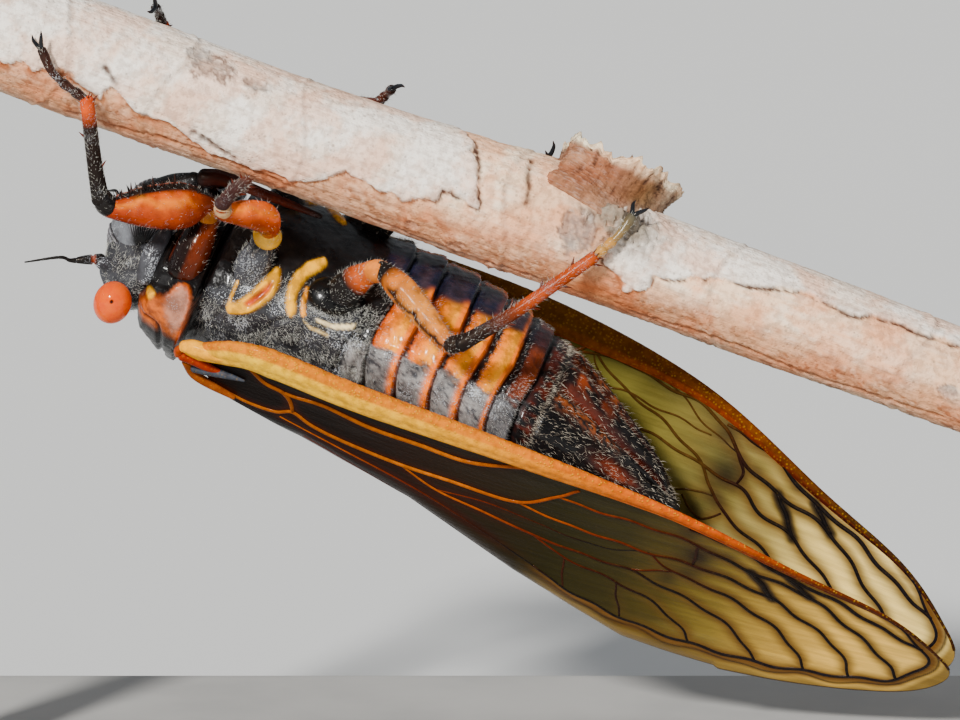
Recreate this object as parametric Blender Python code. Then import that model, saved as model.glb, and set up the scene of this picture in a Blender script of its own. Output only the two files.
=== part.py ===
"""Periodical cicada clinging under a cut length of twig, on a plain display stand.

Sizes are millimetres until a mesh is made. The insect is drawn in its own frame: x runs to the
head, y to its left side and z to its back. Twig and stand are drawn in the part's frame, +Z up,
with the origin at the middle of the base's underside.
"""

import math

import bmesh
import bpy
import numpy as np
from mathutils.geometry import delaunay_2d_cdt

MM = 0.001
GAP = 0.3

# Pose of the insect: where its wing station sits, and how its body is turned.
BODY_AT = (-11.09, 1.48, 23.83)
LEAN = math.radians(8.0)
SLOPE = math.radians(22.6)
ROLL = math.radians(34.9)
TURN = math.radians(0.7)

# Twig: two points on its axis 49.5 mm apart in X, its radius there, and the broken side stub.
TWIG_LEFT = (-24.73, -1.56, 36.45)
TWIG_RIGHT = (24.73, -4.07, 18.52)
TWIG_RADII = (2.66, 2.11)
TWIG_SIDES = 20
TWIG_RINGS = 34
STUB_AT = 0.583
STUB_LENGTH = 4.15
STUB_RADII = (2.25, 2.45, 2.45, 2.3)
STUB_LEAN = (0.2, 0.93, -0.34)
SHOULDER = 0.72
SHOULDER_SPAN = (0.33, 0.56, 0.64)

# Display stand.
BASE_SIZE = (55.0, 30.0, 4.0)
BASE_CORNER = 3.0
BASE_BEVEL = 0.6
ROD_RADIUS = 1.5
ROD_SIDES = 20
ROD_STATIONS = (0.042, 0.958)

# Forewing: length along the span, lines across it in share of the length, and its curvature.
WING_HINGE = (-0.19, 4.61, 0.59)
WING_LENGTH = 34.9
WING_SPLAY = math.radians(2.5)
WING_DROOP = math.radians(-5.0)
WING_ROOF = math.radians(73.6)
WING_CAMBER = -0.49
WING_BOW = 1.0
WING_CHORD = 12.0
WING_SKIN = 0.25
WING_ROOT = (1.0, 0.4)
FOLD_RADIUS_LENGTH = 2.4
FOLD_ANGLE = math.radians(60.0)
COSTA = ((0.0, 0.0), (0.08, -1.84), (0.2, -1.75), (0.4, -1.5), (0.6, -0.3), (0.78, 2.2), (0.9, 3.85),
         (0.97, 5.6), (1.0, 7.0))
HIND = ((0.97, 8.45), (0.9, 9.33), (0.78, 10.0), (0.6, 9.3), (0.45, 7.15), (0.3, 4.55), (0.15, 3.05),
        (0.04, 2.65))
FLAP = ((0.04, 0.0), (0.1, 0.4), (0.15, 1.1), (0.3, 2.4), (0.45, 2.1), (0.6, 0.9), (0.72, 0.0))

# Veins of the forewing: points (along span, across chord), half-width and height of the ridge.
VEINS = {
    "costal": ([(0.5, 0.45), (2.0, -0.85), (4.0, -1.1), (8.0, -1.15), (12.0, -1.0), (16.0, -0.7),
                (19.5, -0.1), (21.2, 0.35)], 0.62, 0.32),
    "radial": ([(2.4, -0.3), (3.2, 0.6), (5.0, 0.7), (8.6, 1.0), (12.6, 0.95), (14.8, 0.0)], 0.3, 0.14),
    "basal": ([(0.9, 0.9), (2.6, 1.3), (4.6, 1.6), (7.0, 2.5), (9.7, 2.95), (12.0, 2.9), (15.0, 2.8),
               (16.6, 1.4), (17.4, 0.4)], 0.32, 0.15),
    "radial_sector": ([(16.6, 1.4), (18.6, 1.6), (20.8, 1.65), (22.8, 2.0), (24.8, 2.8), (27.0, 3.4),
                       (28.1, 3.8), (29.2, 4.6), (30.2, 5.4), (31.3, 6.3), (32.3, 7.3), (32.8, 8.1)],
                      0.28, 0.12),
    "upper_apical": ([(22.3, 0.9), (24.1, 1.3), (25.6, 2.0), (27.0, 2.8), (28.3, 3.2), (29.8, 3.9),
                      (31.2, 4.7), (32.5, 5.3), (33.4, 5.7)], 0.28, 0.12),
    "medial": ([(15.0, 2.8), (16.6, 3.2), (18.6, 3.4), (21.0, 3.6), (22.9, 3.6), (24.8, 4.0), (26.6, 4.6),
                (28.0, 5.5), (29.2, 6.3), (30.2, 7.3), (30.8, 8.6)], 0.28, 0.12),
    "lower_medial": ([(21.0, 3.6), (22.2, 4.5), (23.8, 4.9), (25.3, 5.5), (27.0, 6.5), (28.2, 7.7),
                      (28.9, 8.9)], 0.28, 0.12),
    "cubital": ([(9.7, 2.95), (11.5, 3.9), (13.6, 4.3), (16.0, 4.8), (18.4, 5.1), (20.3, 5.2), (22.2, 5.8),
                 (24.0, 6.5), (25.6, 7.6), (26.8, 9.1)], 0.28, 0.12),
    "lower_cubital": ([(16.0, 4.8), (17.6, 5.7), (20.0, 6.3), (21.8, 7.0), (23.2, 8.1), (23.8, 9.0)],
                      0.28, 0.12),
    "ambient": ([(16.4, 6.9), (17.9, 7.7), (19.7, 8.3), (21.7, 8.75), (24.0, 9.0), (27.0, 9.1), (29.0, 8.9),
                 (31.0, 8.6), (32.5, 8.2), (33.4, 7.4), (33.8, 6.5), (33.4, 5.7), (32.6, 4.9)], 0.28, 0.12),
    "clavus": ([(3.4, 2.1), (7.0, 3.2), (10.5, 4.3), (13.5, 5.5), (16.4, 6.9)], 0.28, 0.12),
    "cross_link": ([(20.3, 5.2), (22.2, 4.5)], 0.25, 0.1),
    "nodal_link": ([(22.9, 2.0), (22.9, 3.6)], 0.25, 0.1),
    "first_link": ([(25.4, 3.0), (26.6, 4.6)], 0.28, 0.12),
    "second_link": ([(27.0, 2.8), (28.1, 3.8)], 0.28, 0.12),
}

# Hindwing: a shorter leaf of the same curved surface, one layer further in.
UNDERWING_DEPTH = 0.93
UNDERWING_OUTLINE = ((5.0, 1.9), (8.0, 2.2), (12.0, 2.7), (16.0, 3.1), (19.5, 3.6), (20.6, 5.2),
                     (20.2, 6.8), (18.6, 7.6), (15.7, 6.6), (11.0, 4.6), (7.0, 3.2), (5.2, 2.7))
UNDERWING_VEINS = {
    "front": ([(5.6, 2.4), (9.0, 2.7), (12.5, 3.1), (16.0, 3.7), (18.8, 4.6), (19.4, 6.0)], 0.26, 0.08),
    "middle": ([(5.6, 2.2), (9.5, 3.0), (13.5, 4.2), (17.0, 5.6), (18.9, 6.6)], 0.26, 0.08),
}

# Body cross-sections: station, half-width, level of the widest line, top, bottom, sideways shift.
HEAD_SECTIONS = ((2.85, 3.5, -0.1, 2.9, -3.0, 0.0), (3.3, 3.7, 0.1, 2.65, -2.9, 0.0),
                 (3.9, 3.5, 0.2, 2.1, -2.6, 0.0), (4.4, 2.9, 0.1, 1.6, -2.2, 0.0),
                 (4.75, 1.9, 0.0, 1.0, -1.6, 0.0))
PRONOTUM_SECTIONS = ((2.55, 3.8, -0.2, 3.1, -2.9, 0.0), (2.2, 4.25, -0.2, 3.5, -3.1, 0.0),
                     (1.5, 4.65, -0.3, 3.8, -3.2, 0.0), (0.95, 4.8, -0.3, 3.95, -3.2, 0.0),
                     (0.6, 4.95, -0.4, 4.05, -3.1, 0.0), (0.42, 4.8, -0.4, 3.95, -3.0, 0.0))
MESOTHORAX_SECTIONS = ((0.1, 3.8, -1.5, 3.75, -3.85, 0.0), (-0.6, 4.05, -1.6, 4.05, -4.05, 0.0),
                       (-2.0, 4.15, -1.7, 4.15, -4.15, 0.0), (-3.4, 4.15, -1.7, 4.05, -4.15, 0.0),
                       (-4.6, 4.1, -1.7, 3.7, -4.1, 0.0))
METATHORAX_SECTIONS = ((-4.9, 4.05, -1.7, 3.35, -4.1, 0.0), (-5.6, 4.05, -1.7, 3.25, -4.15, 0.0),
                       (-6.3, 4.0, -1.7, 3.2, -4.1, 0.0))
ABDOMEN_SECTIONS = ((-6.6, 4.0, -1.7, 3.15, -4.1, 0.0), (-8.4, 4.15, -1.6, 3.15, -4.15, 0.0),
                    (-10.5, 4.1, -1.4, 3.1, -4.0, -0.1), (-12.5, 3.95, -1.1, 3.1, -3.7, -0.25),
                    (-14.6, 3.6, -0.7, 3.0, -3.1, -0.4))
ABDOMEN_SEGMENTS = 7
TAIL_SECTIONS = ((-14.9, 3.35, -0.7, 2.95, -2.95, -0.42), (-16.0, 3.2, -0.5, 3.0, -2.5, -0.5),
                 (-17.3, 2.75, -0.1, 3.0, -1.8, -0.58), (-18.6, 2.2, 0.4, 2.9, -1.05, -0.66),
                 (-19.8, 1.6, 0.85, 2.75, -0.35, -0.72), (-20.8, 1.05, 1.25, 2.5, 0.35, -0.76),
                 (-21.6, 0.5, 1.55, 2.15, 1.0, -0.8))
ROOF_POWER = 1.55
BELLY_POWER = 2.0
BODY_SIDES = 28

EYE_AT = (3.62, 4.2, 0.35)
EYE_SIZE = (0.8, 0.85, 0.95)
SOCKET_RADII = (0.9, 0.75)
FACE_AT = (3.35, 0.0, -0.85)
FACE_SIZE = (1.85, 1.95, 2.45)
FACE_RIDGES = 8

# Legs of the right side: joints of coxa, femur, tibia and foot. Left legs state their own feet.
LEGS = {
    "fore_leg_right": {
        "coxa": ([(1.35, -3.1, -1.7), (1.3, -2.5, -2.9), (1.2, -1.95, -3.9)], [0.8, 0.75, 0.5]),
        "femur": ([(1.45, -2.2, -4.75), (2.3, -2.75, -4.65), (3.7, -3.55, -4.4), (5.0, -4.3, -4.2)],
                  [0.45, 0.95, 0.85, 0.45]),
        "tibia": ([(5.5, -4.5, -4.5), (6.3, -4.15, -5.9), (7.5, -3.55, -8.2), (9.1, -3.48, -8.7),
                   (10.0, -3.15, -9.4)], [0.38, 0.32, 0.3, 0.24, 0.2]),
        "claw_turn": (0.5, 0.5, -0.55),
    },
    "middle_leg_right": {
        "coxa": ([(-1.2, -3.1, -1.9), (-1.3, -2.7, -3.3), (-1.4, -2.4, -4.3)], [0.85, 0.75, 0.48]),
        "femur": ([(-1.45, -2.7, -5.1), (-1.1, -3.3, -6.0), (-0.3, -4.2, -6.45), (0.45, -5.0, -6.65)],
                  [0.4, 0.62, 0.55, 0.36]),
        "tibia": ([(0.62, -5.3, -7.2), (0.4, -4.3, -7.45), (0.15, -3.15, -7.2), (0.3, -2.5, -6.3),
                   (0.8, -1.5, -5.5)], [0.32, 0.28, 0.26, 0.22, 0.18]),
        "claw_turn": (0.4, 0.45, 0.2),
    },
    "hind_leg_right": {
        "coxa": ([(-5.1, -2.7, -3.2), (-5.5, -2.7, -4.3), (-6.0, -2.6, -5.1)], [0.8, 0.68, 0.45]),
        "femur": ([(-6.5, -2.95, -5.6), (-7.5, -3.5, -5.5), (-9.0, -4.4, -5.2), (-10.2, -5.15, -4.95)],
                  [0.4, 0.6, 0.52, 0.36]),
        "tibia": ([(-10.7, -5.35, -5.35), (-12.2, -4.2, -7.0), (-14.4, -2.35, -9.9), (-15.0, -1.6, -10.9),
                   (-15.2, -1.0, -11.6)], [0.34, 0.28, 0.26, 0.22, 0.2]),
        "claw_turn": (-0.2, 0.55, -0.2),
    },
    "fore_leg_left": {
        "coxa": ([(1.35, 3.13, -1.7), (1.31, 2.52, -2.9), (1.2, 1.96, -3.9)], [0.8, 0.75, 0.5]),
        "femur": ([(1.45, 2.2, -4.75), (2.3, 2.9, -4.8), (3.5, 3.8, -4.8), (4.6, 4.5, -4.75)],
                  [0.45, 0.95, 0.85, 0.45]),
        "tibia": ([(5.0, 4.7, -5.2), (5.6, 4.05, -6.9), (6.2, 2.75, -8.95), (6.5, 2.05, -10.0),
                   (6.6, 1.45, -10.5)], [0.38, 0.32, 0.3, 0.24, 0.2]),
        "claw_turn": (0.3, -0.5, -0.35),
    },
    "middle_leg_left": {
        "coxa": ([(-1.2, 3.1, -1.9), (-1.3, 2.7, -3.3), (-1.4, 2.4, -4.3)], [0.85, 0.75, 0.48]),
        "femur": ([(-1.5, 2.7, -5.1), (-1.4, 3.3, -5.8), (-1.2, 4.3, -6.3), (-1.1, 5.1, -6.6)],
                  [0.4, 0.62, 0.55, 0.36]),
        "tibia": ([(-1.4, 5.3, -7.1), (-2.3, 4.45, -7.95), (-3.4, 3.1, -9.2), (-3.7, 2.75, -10.1),
                   (-3.85, 2.25, -10.75)], [0.32, 0.28, 0.26, 0.22, 0.2]),
        "claw_turn": (-0.3, -0.5, -0.3),
    },
    "hind_leg_left": {
        "coxa": ([(-5.1, 2.7, -3.2), (-5.5, 2.7, -4.3), (-6.0, 2.6, -5.1)], [0.8, 0.68, 0.45]),
        "femur": ([(-6.5, 2.95, -5.6), (-7.5, 3.5, -5.6), (-8.8, 4.4, -5.4), (-9.9, 5.15, -5.3)],
                  [0.4, 0.6, 0.52, 0.36]),
        "tibia": ([(-10.4, 5.35, -5.8), (-10.5, 4.85, -7.0), (-10.8, 3.9, -8.45), (-10.95, 3.45, -9.4),
                   (-11.0, 3.25, -9.95)], [0.34, 0.28, 0.26, 0.22, 0.2]),
        "claw_turn": (0.2, -0.12, -0.5),
    },
}
TIBIA_SPINES = {"fore": 3, "middle": 4, "hind": 7}
SPINE_LENGTH = 0.75
FEMUR_SPINES = ((0.32, 0.55), (0.55, 0.5), (0.78, 0.4))
CLAW_LENGTH = 0.65

COLOURS = {
    "black": ((0.02, 0.019, 0.02), 0.35),
    "orange": ((0.75, 0.22, 0.03), 0.35),
    "eye": ((0.8, 0.1, 0.02), 0.08),
    "dark_leg": ((0.09, 0.04, 0.03), 0.35),
    "wing": ((0.5, 0.4, 0.16), 0.3),
    "bark": ((0.62, 0.48, 0.38), 0.8),
    "stand": ((0.72, 0.71, 0.68), 0.5),
}


def unit(vector):
    vector = np.asarray(vector, float)
    return vector / np.linalg.norm(vector)


def body_axes():
    """Rows are the insect's x, y and z axes in the part's frame."""
    right = np.array([1.0, 0.0, 0.0])
    rise = np.array([0.0, math.sin(LEAN), math.cos(LEAN)])
    away = np.array([0.0, math.cos(LEAN), -math.sin(LEAN)])
    ahead = -math.cos(SLOPE) * right + math.sin(SLOPE) * rise
    across = math.sin(SLOPE) * right + math.cos(SLOPE) * rise
    head_way = math.cos(TURN) * ahead + math.sin(TURN) * away
    side_way = math.cos(TURN) * away - math.sin(TURN) * ahead
    left = math.sin(ROLL) * across + math.cos(ROLL) * side_way
    back = -math.cos(ROLL) * across + math.sin(ROLL) * side_way
    return np.array([head_way, left, back])


BODY_AXES = body_axes()


def to_part(points):
    """Points of the insect's frame, in the part's frame."""
    return np.asarray(points, float) @ BODY_AXES + np.array(BODY_AT)


def material(name):
    found = bpy.data.materials.get(name)
    if found:
        return found
    colour, roughness = COLOURS[name]
    made = bpy.data.materials.new(name)
    made.use_nodes = True
    shader = made.node_tree.nodes["Principled BSDF"]
    shader.inputs["Base Color"].default_value = (*colour, 1.0)
    shader.inputs["Roughness"].default_value = roughness
    shader.inputs["Metallic"].default_value = 0.0
    return made


def signed_volume(points, faces):
    total = 0.0
    for face in faces:
        for second, third in zip(face[1:-1], face[2:]):
            total += np.dot(points[face[0]], np.cross(points[second], points[third]))
    return total / 6.0


def make(name, points, faces, finish, in_body=True):
    """A closed mesh object from points in millimetres, turned to face outwards."""
    points = to_part(points) if in_body else np.asarray(points, float)
    if signed_volume(points - points.mean(axis=0), faces) < 0:
        faces = [tuple(reversed(face)) for face in faces]
    mesh = bpy.data.meshes.new(name)
    mesh.from_pydata((points * MM).tolist(), [], [tuple(face) for face in faces])
    mesh.materials.append(material(finish))
    mesh.shade_smooth()
    mesh.set_sharp_from_angle(angle=math.radians(40.0))
    obj = bpy.data.objects.new(name, mesh)
    bpy.context.scene.collection.objects.link(obj)
    return obj


def largest_part(mesh):
    """Keeps the closed surface of the largest volume."""
    shape = bmesh.new()
    shape.from_mesh(mesh)
    left = set(shape.faces)
    parts = []
    while left:
        grown = {left.pop()}
        front = list(grown)
        while front:
            face = front.pop()
            for edge in face.edges:
                for other in edge.link_faces:
                    if other in left:
                        left.discard(other)
                        grown.add(other)
                        front.append(other)
        parts.append(grown)
    if len(parts) > 1:
        def volume(faces):
            total = 0.0
            for face in faces:
                corners = [loop.vert.co for loop in face.loops]
                for second, third in zip(corners[1:-1], corners[2:]):
                    total += corners[0].dot(second.cross(third))
            return abs(total)

        keep = max(parts, key=volume)
        loose = [face for part in parts if part is not keep for face in part]
        bmesh.ops.delete(shape, geom=loose, context="FACES")
    shape.to_mesh(mesh)
    shape.free()


def apply_boolean(obj, others, operation, solver="EXACT"):
    """Joins or cuts obj with the other objects in one Boolean, then removes them."""
    group = bpy.data.collections.new("tools")
    bpy.context.scene.collection.children.link(group)
    for other in others:
        bpy.context.scene.collection.objects.unlink(other)
        group.objects.link(other)
    boolean = obj.modifiers.new("boolean", "BOOLEAN")
    boolean.operation = operation
    boolean.operand_type = "COLLECTION"
    boolean.collection = group
    boolean.solver = solver
    graph = bpy.context.evaluated_depsgraph_get()
    graph.update()
    mesh = bpy.data.meshes.new_from_object(obj.evaluated_get(graph))
    obj.modifiers.clear()
    old = obj.data
    obj.data = mesh
    mesh.name = obj.name
    bpy.data.meshes.remove(old)
    for other in others:
        bpy.data.objects.remove(other)
    bpy.data.collections.remove(group)
    largest_part(obj.data)
    return obj


def strip_faces(rings, sides):
    """Quads between successive rings of equal count."""
    faces = []
    for row in range(rings - 1):
        for side in range(sides):
            after = (side + 1) % sides
            faces.append((row * sides + side, row * sides + after,
                          (row + 1) * sides + after, (row + 1) * sides + side))
    return faces


def loft(rings, domes=(0.0, 0.0)):
    """Points and faces of rings joined in order, closed by a fan at each end, domed outwards."""
    rings = [np.asarray(ring, float) for ring in rings]
    sides = len(rings[0])
    points = np.concatenate(rings)
    faces = strip_faces(len(rings), sides)
    first, last = rings[0].mean(axis=0), rings[-1].mean(axis=0)
    start = first + unit(first - rings[1].mean(axis=0)) * domes[0]
    end = last + unit(last - rings[-2].mean(axis=0)) * domes[1]
    points = np.vstack([points, start, end])
    tail = (len(rings) - 1) * sides
    for side in range(sides):
        after = (side + 1) % sides
        faces.append((after, side, len(points) - 2))
        faces.append((tail + side, tail + after, len(points) - 1))
    return points, faces


def section_ring(section, grow=0.0, sides=BODY_SIDES):
    """One cross-section: a steep superellipse above its widest line and a round one below."""
    station, half_width, level, top, bottom, shift = section
    angle = np.arange(sides) * 2.0 * math.pi / sides + math.pi / sides
    cosine, sine = np.cos(angle), np.sin(angle)
    power = np.where(sine > 0, ROOF_POWER, BELLY_POWER)
    height = np.where(sine > 0, top - level, level - bottom) + grow
    across = (half_width + grow) * np.sign(cosine) * np.abs(cosine) ** (2.0 / power)
    rise = height * np.sign(sine) * np.abs(sine) ** (2.0 / power)
    lean = shift * (1.0 - 0.8 * np.clip(rise / (top - level), 0.0, 1.0))
    return np.column_stack([np.full(sides, station), lean + across, level + rise])


def section_loft(sections, domes=(0.0, 0.0), grow=0.0):
    sections = [tuple(section) for section in sections]
    if grow:
        way = 1.0 if sections[0][0] > sections[-1][0] else -1.0
        sections[0] = (sections[0][0] + way * grow, *sections[0][1:])
        sections[-1] = (sections[-1][0] - way * grow, *sections[-1][1:])
    return loft([section_ring(section, grow) for section in sections], domes)


def cutter(sections, grow=GAP):
    """A grown copy of a lofted piece, which cuts its neighbours clear of it."""
    points, faces = section_loft(sections, grow=grow)
    return make("cutter", points, faces, "black")


def ball(name, centre, size, finish, rows=8, sides=14):
    """An ellipsoid from rings along x."""
    rings = []
    for row in range(1, rows):
        polar = math.pi * row / rows
        around = np.arange(sides) * 2.0 * math.pi / sides
        ring = np.column_stack([np.full(sides, math.cos(polar)), math.sin(polar) * np.cos(around),
                                math.sin(polar) * np.sin(around)])
        rings.append(ring * np.array(size))
    points, faces = loft(rings)
    points[-2] = (size[0], 0.0, 0.0)
    points[-1] = (-size[0], 0.0, 0.0)
    return make(name, points + np.array(centre), faces, finish)


def tube(path, radii, sides=8, ends=(0.6, 0.6)):
    """Points and faces of a round tube along a path, with rounded ends."""
    path = np.asarray(path, float)
    radii = np.asarray(radii, float)
    start, end = unit(path[0] - path[1]), unit(path[-1] - path[-2])
    path = np.vstack([path[0] + start * ends[0] * radii[0], path, path[-1] + end * ends[1] * radii[-1]])
    radii = np.concatenate([[radii[0] * 0.65], radii, [radii[-1] * 0.65]])
    along = np.gradient(path, axis=0)
    normal = np.cross(unit(along[0]), (0.31, 0.17, 0.93))
    rings = []
    angle = np.arange(sides) * 2.0 * math.pi / sides
    for point, radius, way in zip(path, radii, along):
        way = unit(way)
        normal = unit(normal - way * np.dot(normal, way))
        other = np.cross(way, normal)
        rings.append(point + radius * (np.outer(np.cos(angle), normal) + np.outer(np.sin(angle), other)))
    return loft(rings, (radii[1] * 0.25, radii[-2] * 0.25))


def spine(root, tip, radius, sides=5):
    root, tip = np.asarray(root, float), np.asarray(tip, float)
    way = unit(tip - root)
    normal = unit(np.cross(way, (0.3, 0.2, 0.93)))
    other = np.cross(way, normal)
    angle = np.arange(sides) * 2.0 * math.pi / sides
    ring = root + radius * (np.outer(np.cos(angle), normal) + np.outer(np.sin(angle), other))
    points = np.vstack([ring, root, tip])
    faces = []
    for side in range(sides):
        after = (side + 1) % sides
        faces.append((side, after, sides + 1))
        faces.append((after, side, sides))
    return make("spine", points, faces, "dark_leg")


def smooth_line(points, step, closed=False):
    """A Catmull-Rom curve through the points, sampled about every step."""
    points = np.asarray(points, float)
    count = len(points)
    if closed:
        before, after = points[-1:], points[:2]
    else:
        before, after = 2 * points[:1] - points[1:2], 2 * points[-1:] - points[-2:-1]
    padded = np.vstack([before, points, after])
    found = []
    for index in range(count if closed else count - 1):
        a, b, c, d = padded[index:index + 4]
        pieces = max(1, int(round(np.linalg.norm(c - b) / step)))
        share = (np.arange(pieces) / pieces)[:, None]
        found.append(0.5 * (2 * b + (c - a) * share + (2 * a - 5 * b + 4 * c - d) * share**2
                            + (3 * b - a - 3 * c + d) * share**3))
    if not closed:
        found.append(points[-1:])
    return np.vstack(found)


def fold_line(along):
    """Distance across the chord at which the wing turns over the back."""
    hind_u = np.array([u for u, _ in HIND][::-1]) * WING_LENGTH
    hind_v = np.array([v for _, v in HIND][::-1])
    beyond = np.clip((along / WING_LENGTH - 0.72) / 0.1, 0.0, 1.0)
    return np.interp(along, hind_u, hind_v) - 0.3 + 6.0 * beyond


def wing_surface(along, across, side):
    """The curved middle surface of a wing, in the insect's frame; side is 1 left, -1 right."""
    along, across = np.asarray(along, float), np.asarray(across, float)
    span = np.array([-math.cos(WING_SPLAY) * math.cos(WING_DROOP), math.sin(WING_SPLAY),
                     math.sin(WING_DROOP) * math.cos(WING_SPLAY)])
    chord = np.array([0.0, math.cos(WING_ROOF), math.sin(WING_ROOF)])
    chord = unit(chord - span * np.dot(chord, span))
    outward = np.cross(span, chord)
    if outward[1] > 0:
        outward = -outward
    inward = np.cross(outward, span)
    inward = inward if np.dot(inward, chord) > 0 else -inward
    folded = np.maximum(0.0, across - fold_line(along))
    flat = across - folded
    rate = FOLD_ANGLE / FOLD_RADIUS_LENGTH
    bent = np.minimum(folded, FOLD_RADIUS_LENGTH)
    beyond = folded - bent
    run = np.sin(rate * bent) / rate + beyond * math.cos(FOLD_ANGLE)
    turn = (1.0 - np.cos(rate * bent)) / rate + beyond * math.sin(FOLD_ANGLE)
    share = across / WING_CHORD
    share = np.minimum(share, flat / WING_CHORD + 0.02)
    height = WING_CAMBER * 4.0 * share * (1.0 - share)
    height = height + WING_BOW * np.sin(math.pi * np.clip(along / WING_LENGTH, 0.0, 1.0)) - turn
    hinge = np.array([WING_HINGE[0], -WING_HINGE[1], WING_HINGE[2]])
    points = (hinge + along[:, None] * span + (flat + run)[:, None] * inward + height[:, None] * outward)
    if side > 0:
        points = points * np.array([1.0, -1.0, 1.0])
    return points


def wing_normal(along, across, side):
    step = 0.02
    du = wing_surface(along + step, across, side) - wing_surface(along - step, across, side)
    dv = wing_surface(along, across + step, side) - wing_surface(along, across - step, side)
    normal = np.cross(du, dv)
    normal /= np.linalg.norm(normal, axis=1)[:, None]
    return normal * np.sign(normal[:, 1] * side + 1e-9)[:, None]


def line_distance(points, line):
    """Least distance from each point to a polyline."""
    starts, ends = line[:-1], line[1:]
    way = ends - starts
    rel = points[:, None, :] - starts[None]
    share = np.clip((rel * way).sum(axis=2) / (way**2).sum(axis=1), 0.0, 1.0)
    return np.linalg.norm(rel - share[..., None] * way, axis=2).min(axis=1)


def inside(points, outline):
    """Which points lie inside a closed outline, by crossings."""
    found = np.zeros(len(points), bool)
    for first, second in zip(outline, np.roll(outline, -1, axis=0)):
        crosses = (first[1] > points[:, 1]) != (second[1] > points[:, 1])
        rise = second[1] - first[1] if second[1] != first[1] else 1e-9
        at = (second[0] - first[0]) * (points[:, 1] - first[1]) / rise + first[0]
        found ^= crosses & (points[:, 0] < at)
    return found


def leaf(name, outline, veins, side, depth, step, finish):
    """A thin curved leaf with raised veins: one plane mesh carried to both faces alike."""
    lines = {key: (smooth_line(points, step), width, rise) for key, (points, width, rise) in veins.items()}
    flat = [tuple(point) for point in outline]
    edges = [(index, (index + 1) % len(outline)) for index in range(len(outline))]
    closed = np.vstack([outline, outline[:1]])
    for line, _, _ in lines.values():
        keep = (line_distance(line, closed) > 0.35) & inside(line, outline)
        first = len(flat)
        flat += [tuple(point) for point in line[keep]]
        run = np.flatnonzero(keep)
        edges += [(first + k, first + k + 1) for k in range(len(run) - 1) if run[k + 1] == run[k] + 1]
    centres = np.array(flat)
    sides_found = []
    for key, (line, width, _) in lines.items():
        way = np.gradient(line, axis=0)
        way /= np.linalg.norm(way, axis=1)[:, None]
        beside = np.column_stack([-way[:, 1], way[:, 0]])
        for hand in (1.0, -1.0):
            spots = line + hand * width * beside
            clear = (line_distance(spots, closed) > 0.3) & inside(spots, outline)
            for other_key, (other, other_width, _) in lines.items():
                if other_key != key:
                    clear &= line_distance(spots, other) > 0.9 * other_width
            sides_found += [tuple(spot) for spot in spots[clear]]
    low, high = outline.min(axis=0), outline.max(axis=0)
    grid_u, grid_v = np.meshgrid(np.arange(low[0], high[0], 2.2), np.arange(low[1], high[1], 1.7))
    fill = np.column_stack([grid_u.ravel(), grid_v.ravel()])
    taken = np.vstack([centres, np.array(sides_found)])
    spare = inside(fill, outline) & (line_distance(fill, closed) > 0.6)
    spare &= np.linalg.norm(fill[:, None] - taken[None], axis=2).min(axis=1) > 0.85
    flat += sides_found + [tuple(point) for point in fill[spare]]
    verts, _, faces = delaunay_2d_cdt(flat, edges, [], 1, 1e-4)[:3]
    verts = np.array([tuple(vert) for vert in verts])
    height = np.zeros(len(verts))
    for line, width, rise in lines.values():
        height = np.maximum(height, rise * np.clip(1.0 - line_distance(verts, line) / width, 0.0, 1.0))
    middle = wing_surface(verts[:, 0], verts[:, 1], side)
    normal = wing_normal(verts[:, 0], verts[:, 1], side)
    middle = middle - depth * normal
    outer = middle + (WING_SKIN + height)[:, None] * normal
    inner = middle - (WING_SKIN + 0.35 * height)[:, None] * normal
    count = len(verts)
    counts = {}
    for face in faces:
        for first, second in zip(face, face[1:] + face[:1]):
            counts[(first, second)] = True
    rim = [(first, second) for first, second in counts if (second, first) not in counts]
    solid = [tuple(face) for face in faces]
    solid += [tuple(count + index for index in reversed(face)) for face in faces]
    for first, second in rim:
        solid += [(second, first, count + first), (second, count + first, count + second)]
    return make(name, np.vstack([outer, inner]), solid, finish)


def forewing_outline():
    flap_u, flap_v = zip(*FLAP)
    hind = [(share * WING_LENGTH, width + float(np.interp(share, flap_u, flap_v))) for share, width in HIND]
    costa = [(share * WING_LENGTH, width) for share, width in COSTA]
    open_line = smooth_line(costa + hind, 1.5)
    return open_line


def build_wings():
    outline = forewing_outline()
    under = smooth_line(UNDERWING_OUTLINE, 1.6, closed=True)
    for side, word in ((1, "left"), (-1, "right")):
        leaf(f"forewing_{word}", outline, VEINS, side, 0.0, 1.35, "wing")
        leaf(f"hindwing_{word}", under, UNDERWING_VEINS, side, UNDERWING_DEPTH, 2.0, "wing")


def build_face():
    """The swollen face: an ellipsoid of rings up its height, each ring a cross-ridge or furrow."""
    rings = []
    rows = 2 * FACE_RIDGES + 2
    sides = 18
    around = np.arange(sides) * 2.0 * math.pi / sides
    for row in range(1, rows):
        polar = math.pi * row / rows
        swell = 1.0 + (0.035 if row % 2 else -0.01)
        reach = math.sin(polar) * swell
        height = np.full(sides, math.cos(polar))
        ring = np.column_stack([reach * np.cos(around), reach * np.sin(around), height])
        rings.append(ring * np.array(FACE_SIZE) + np.array(FACE_AT))
    points, faces = loft(rings, (0.1, 0.1))
    return make("face", points, faces, "black")


def eye_socket(side):
    """The short axis of the swelling that carries an eye."""
    return [(3.3, side * 2.8, 0.3), (3.6, side * 3.65, 0.35)]


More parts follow.
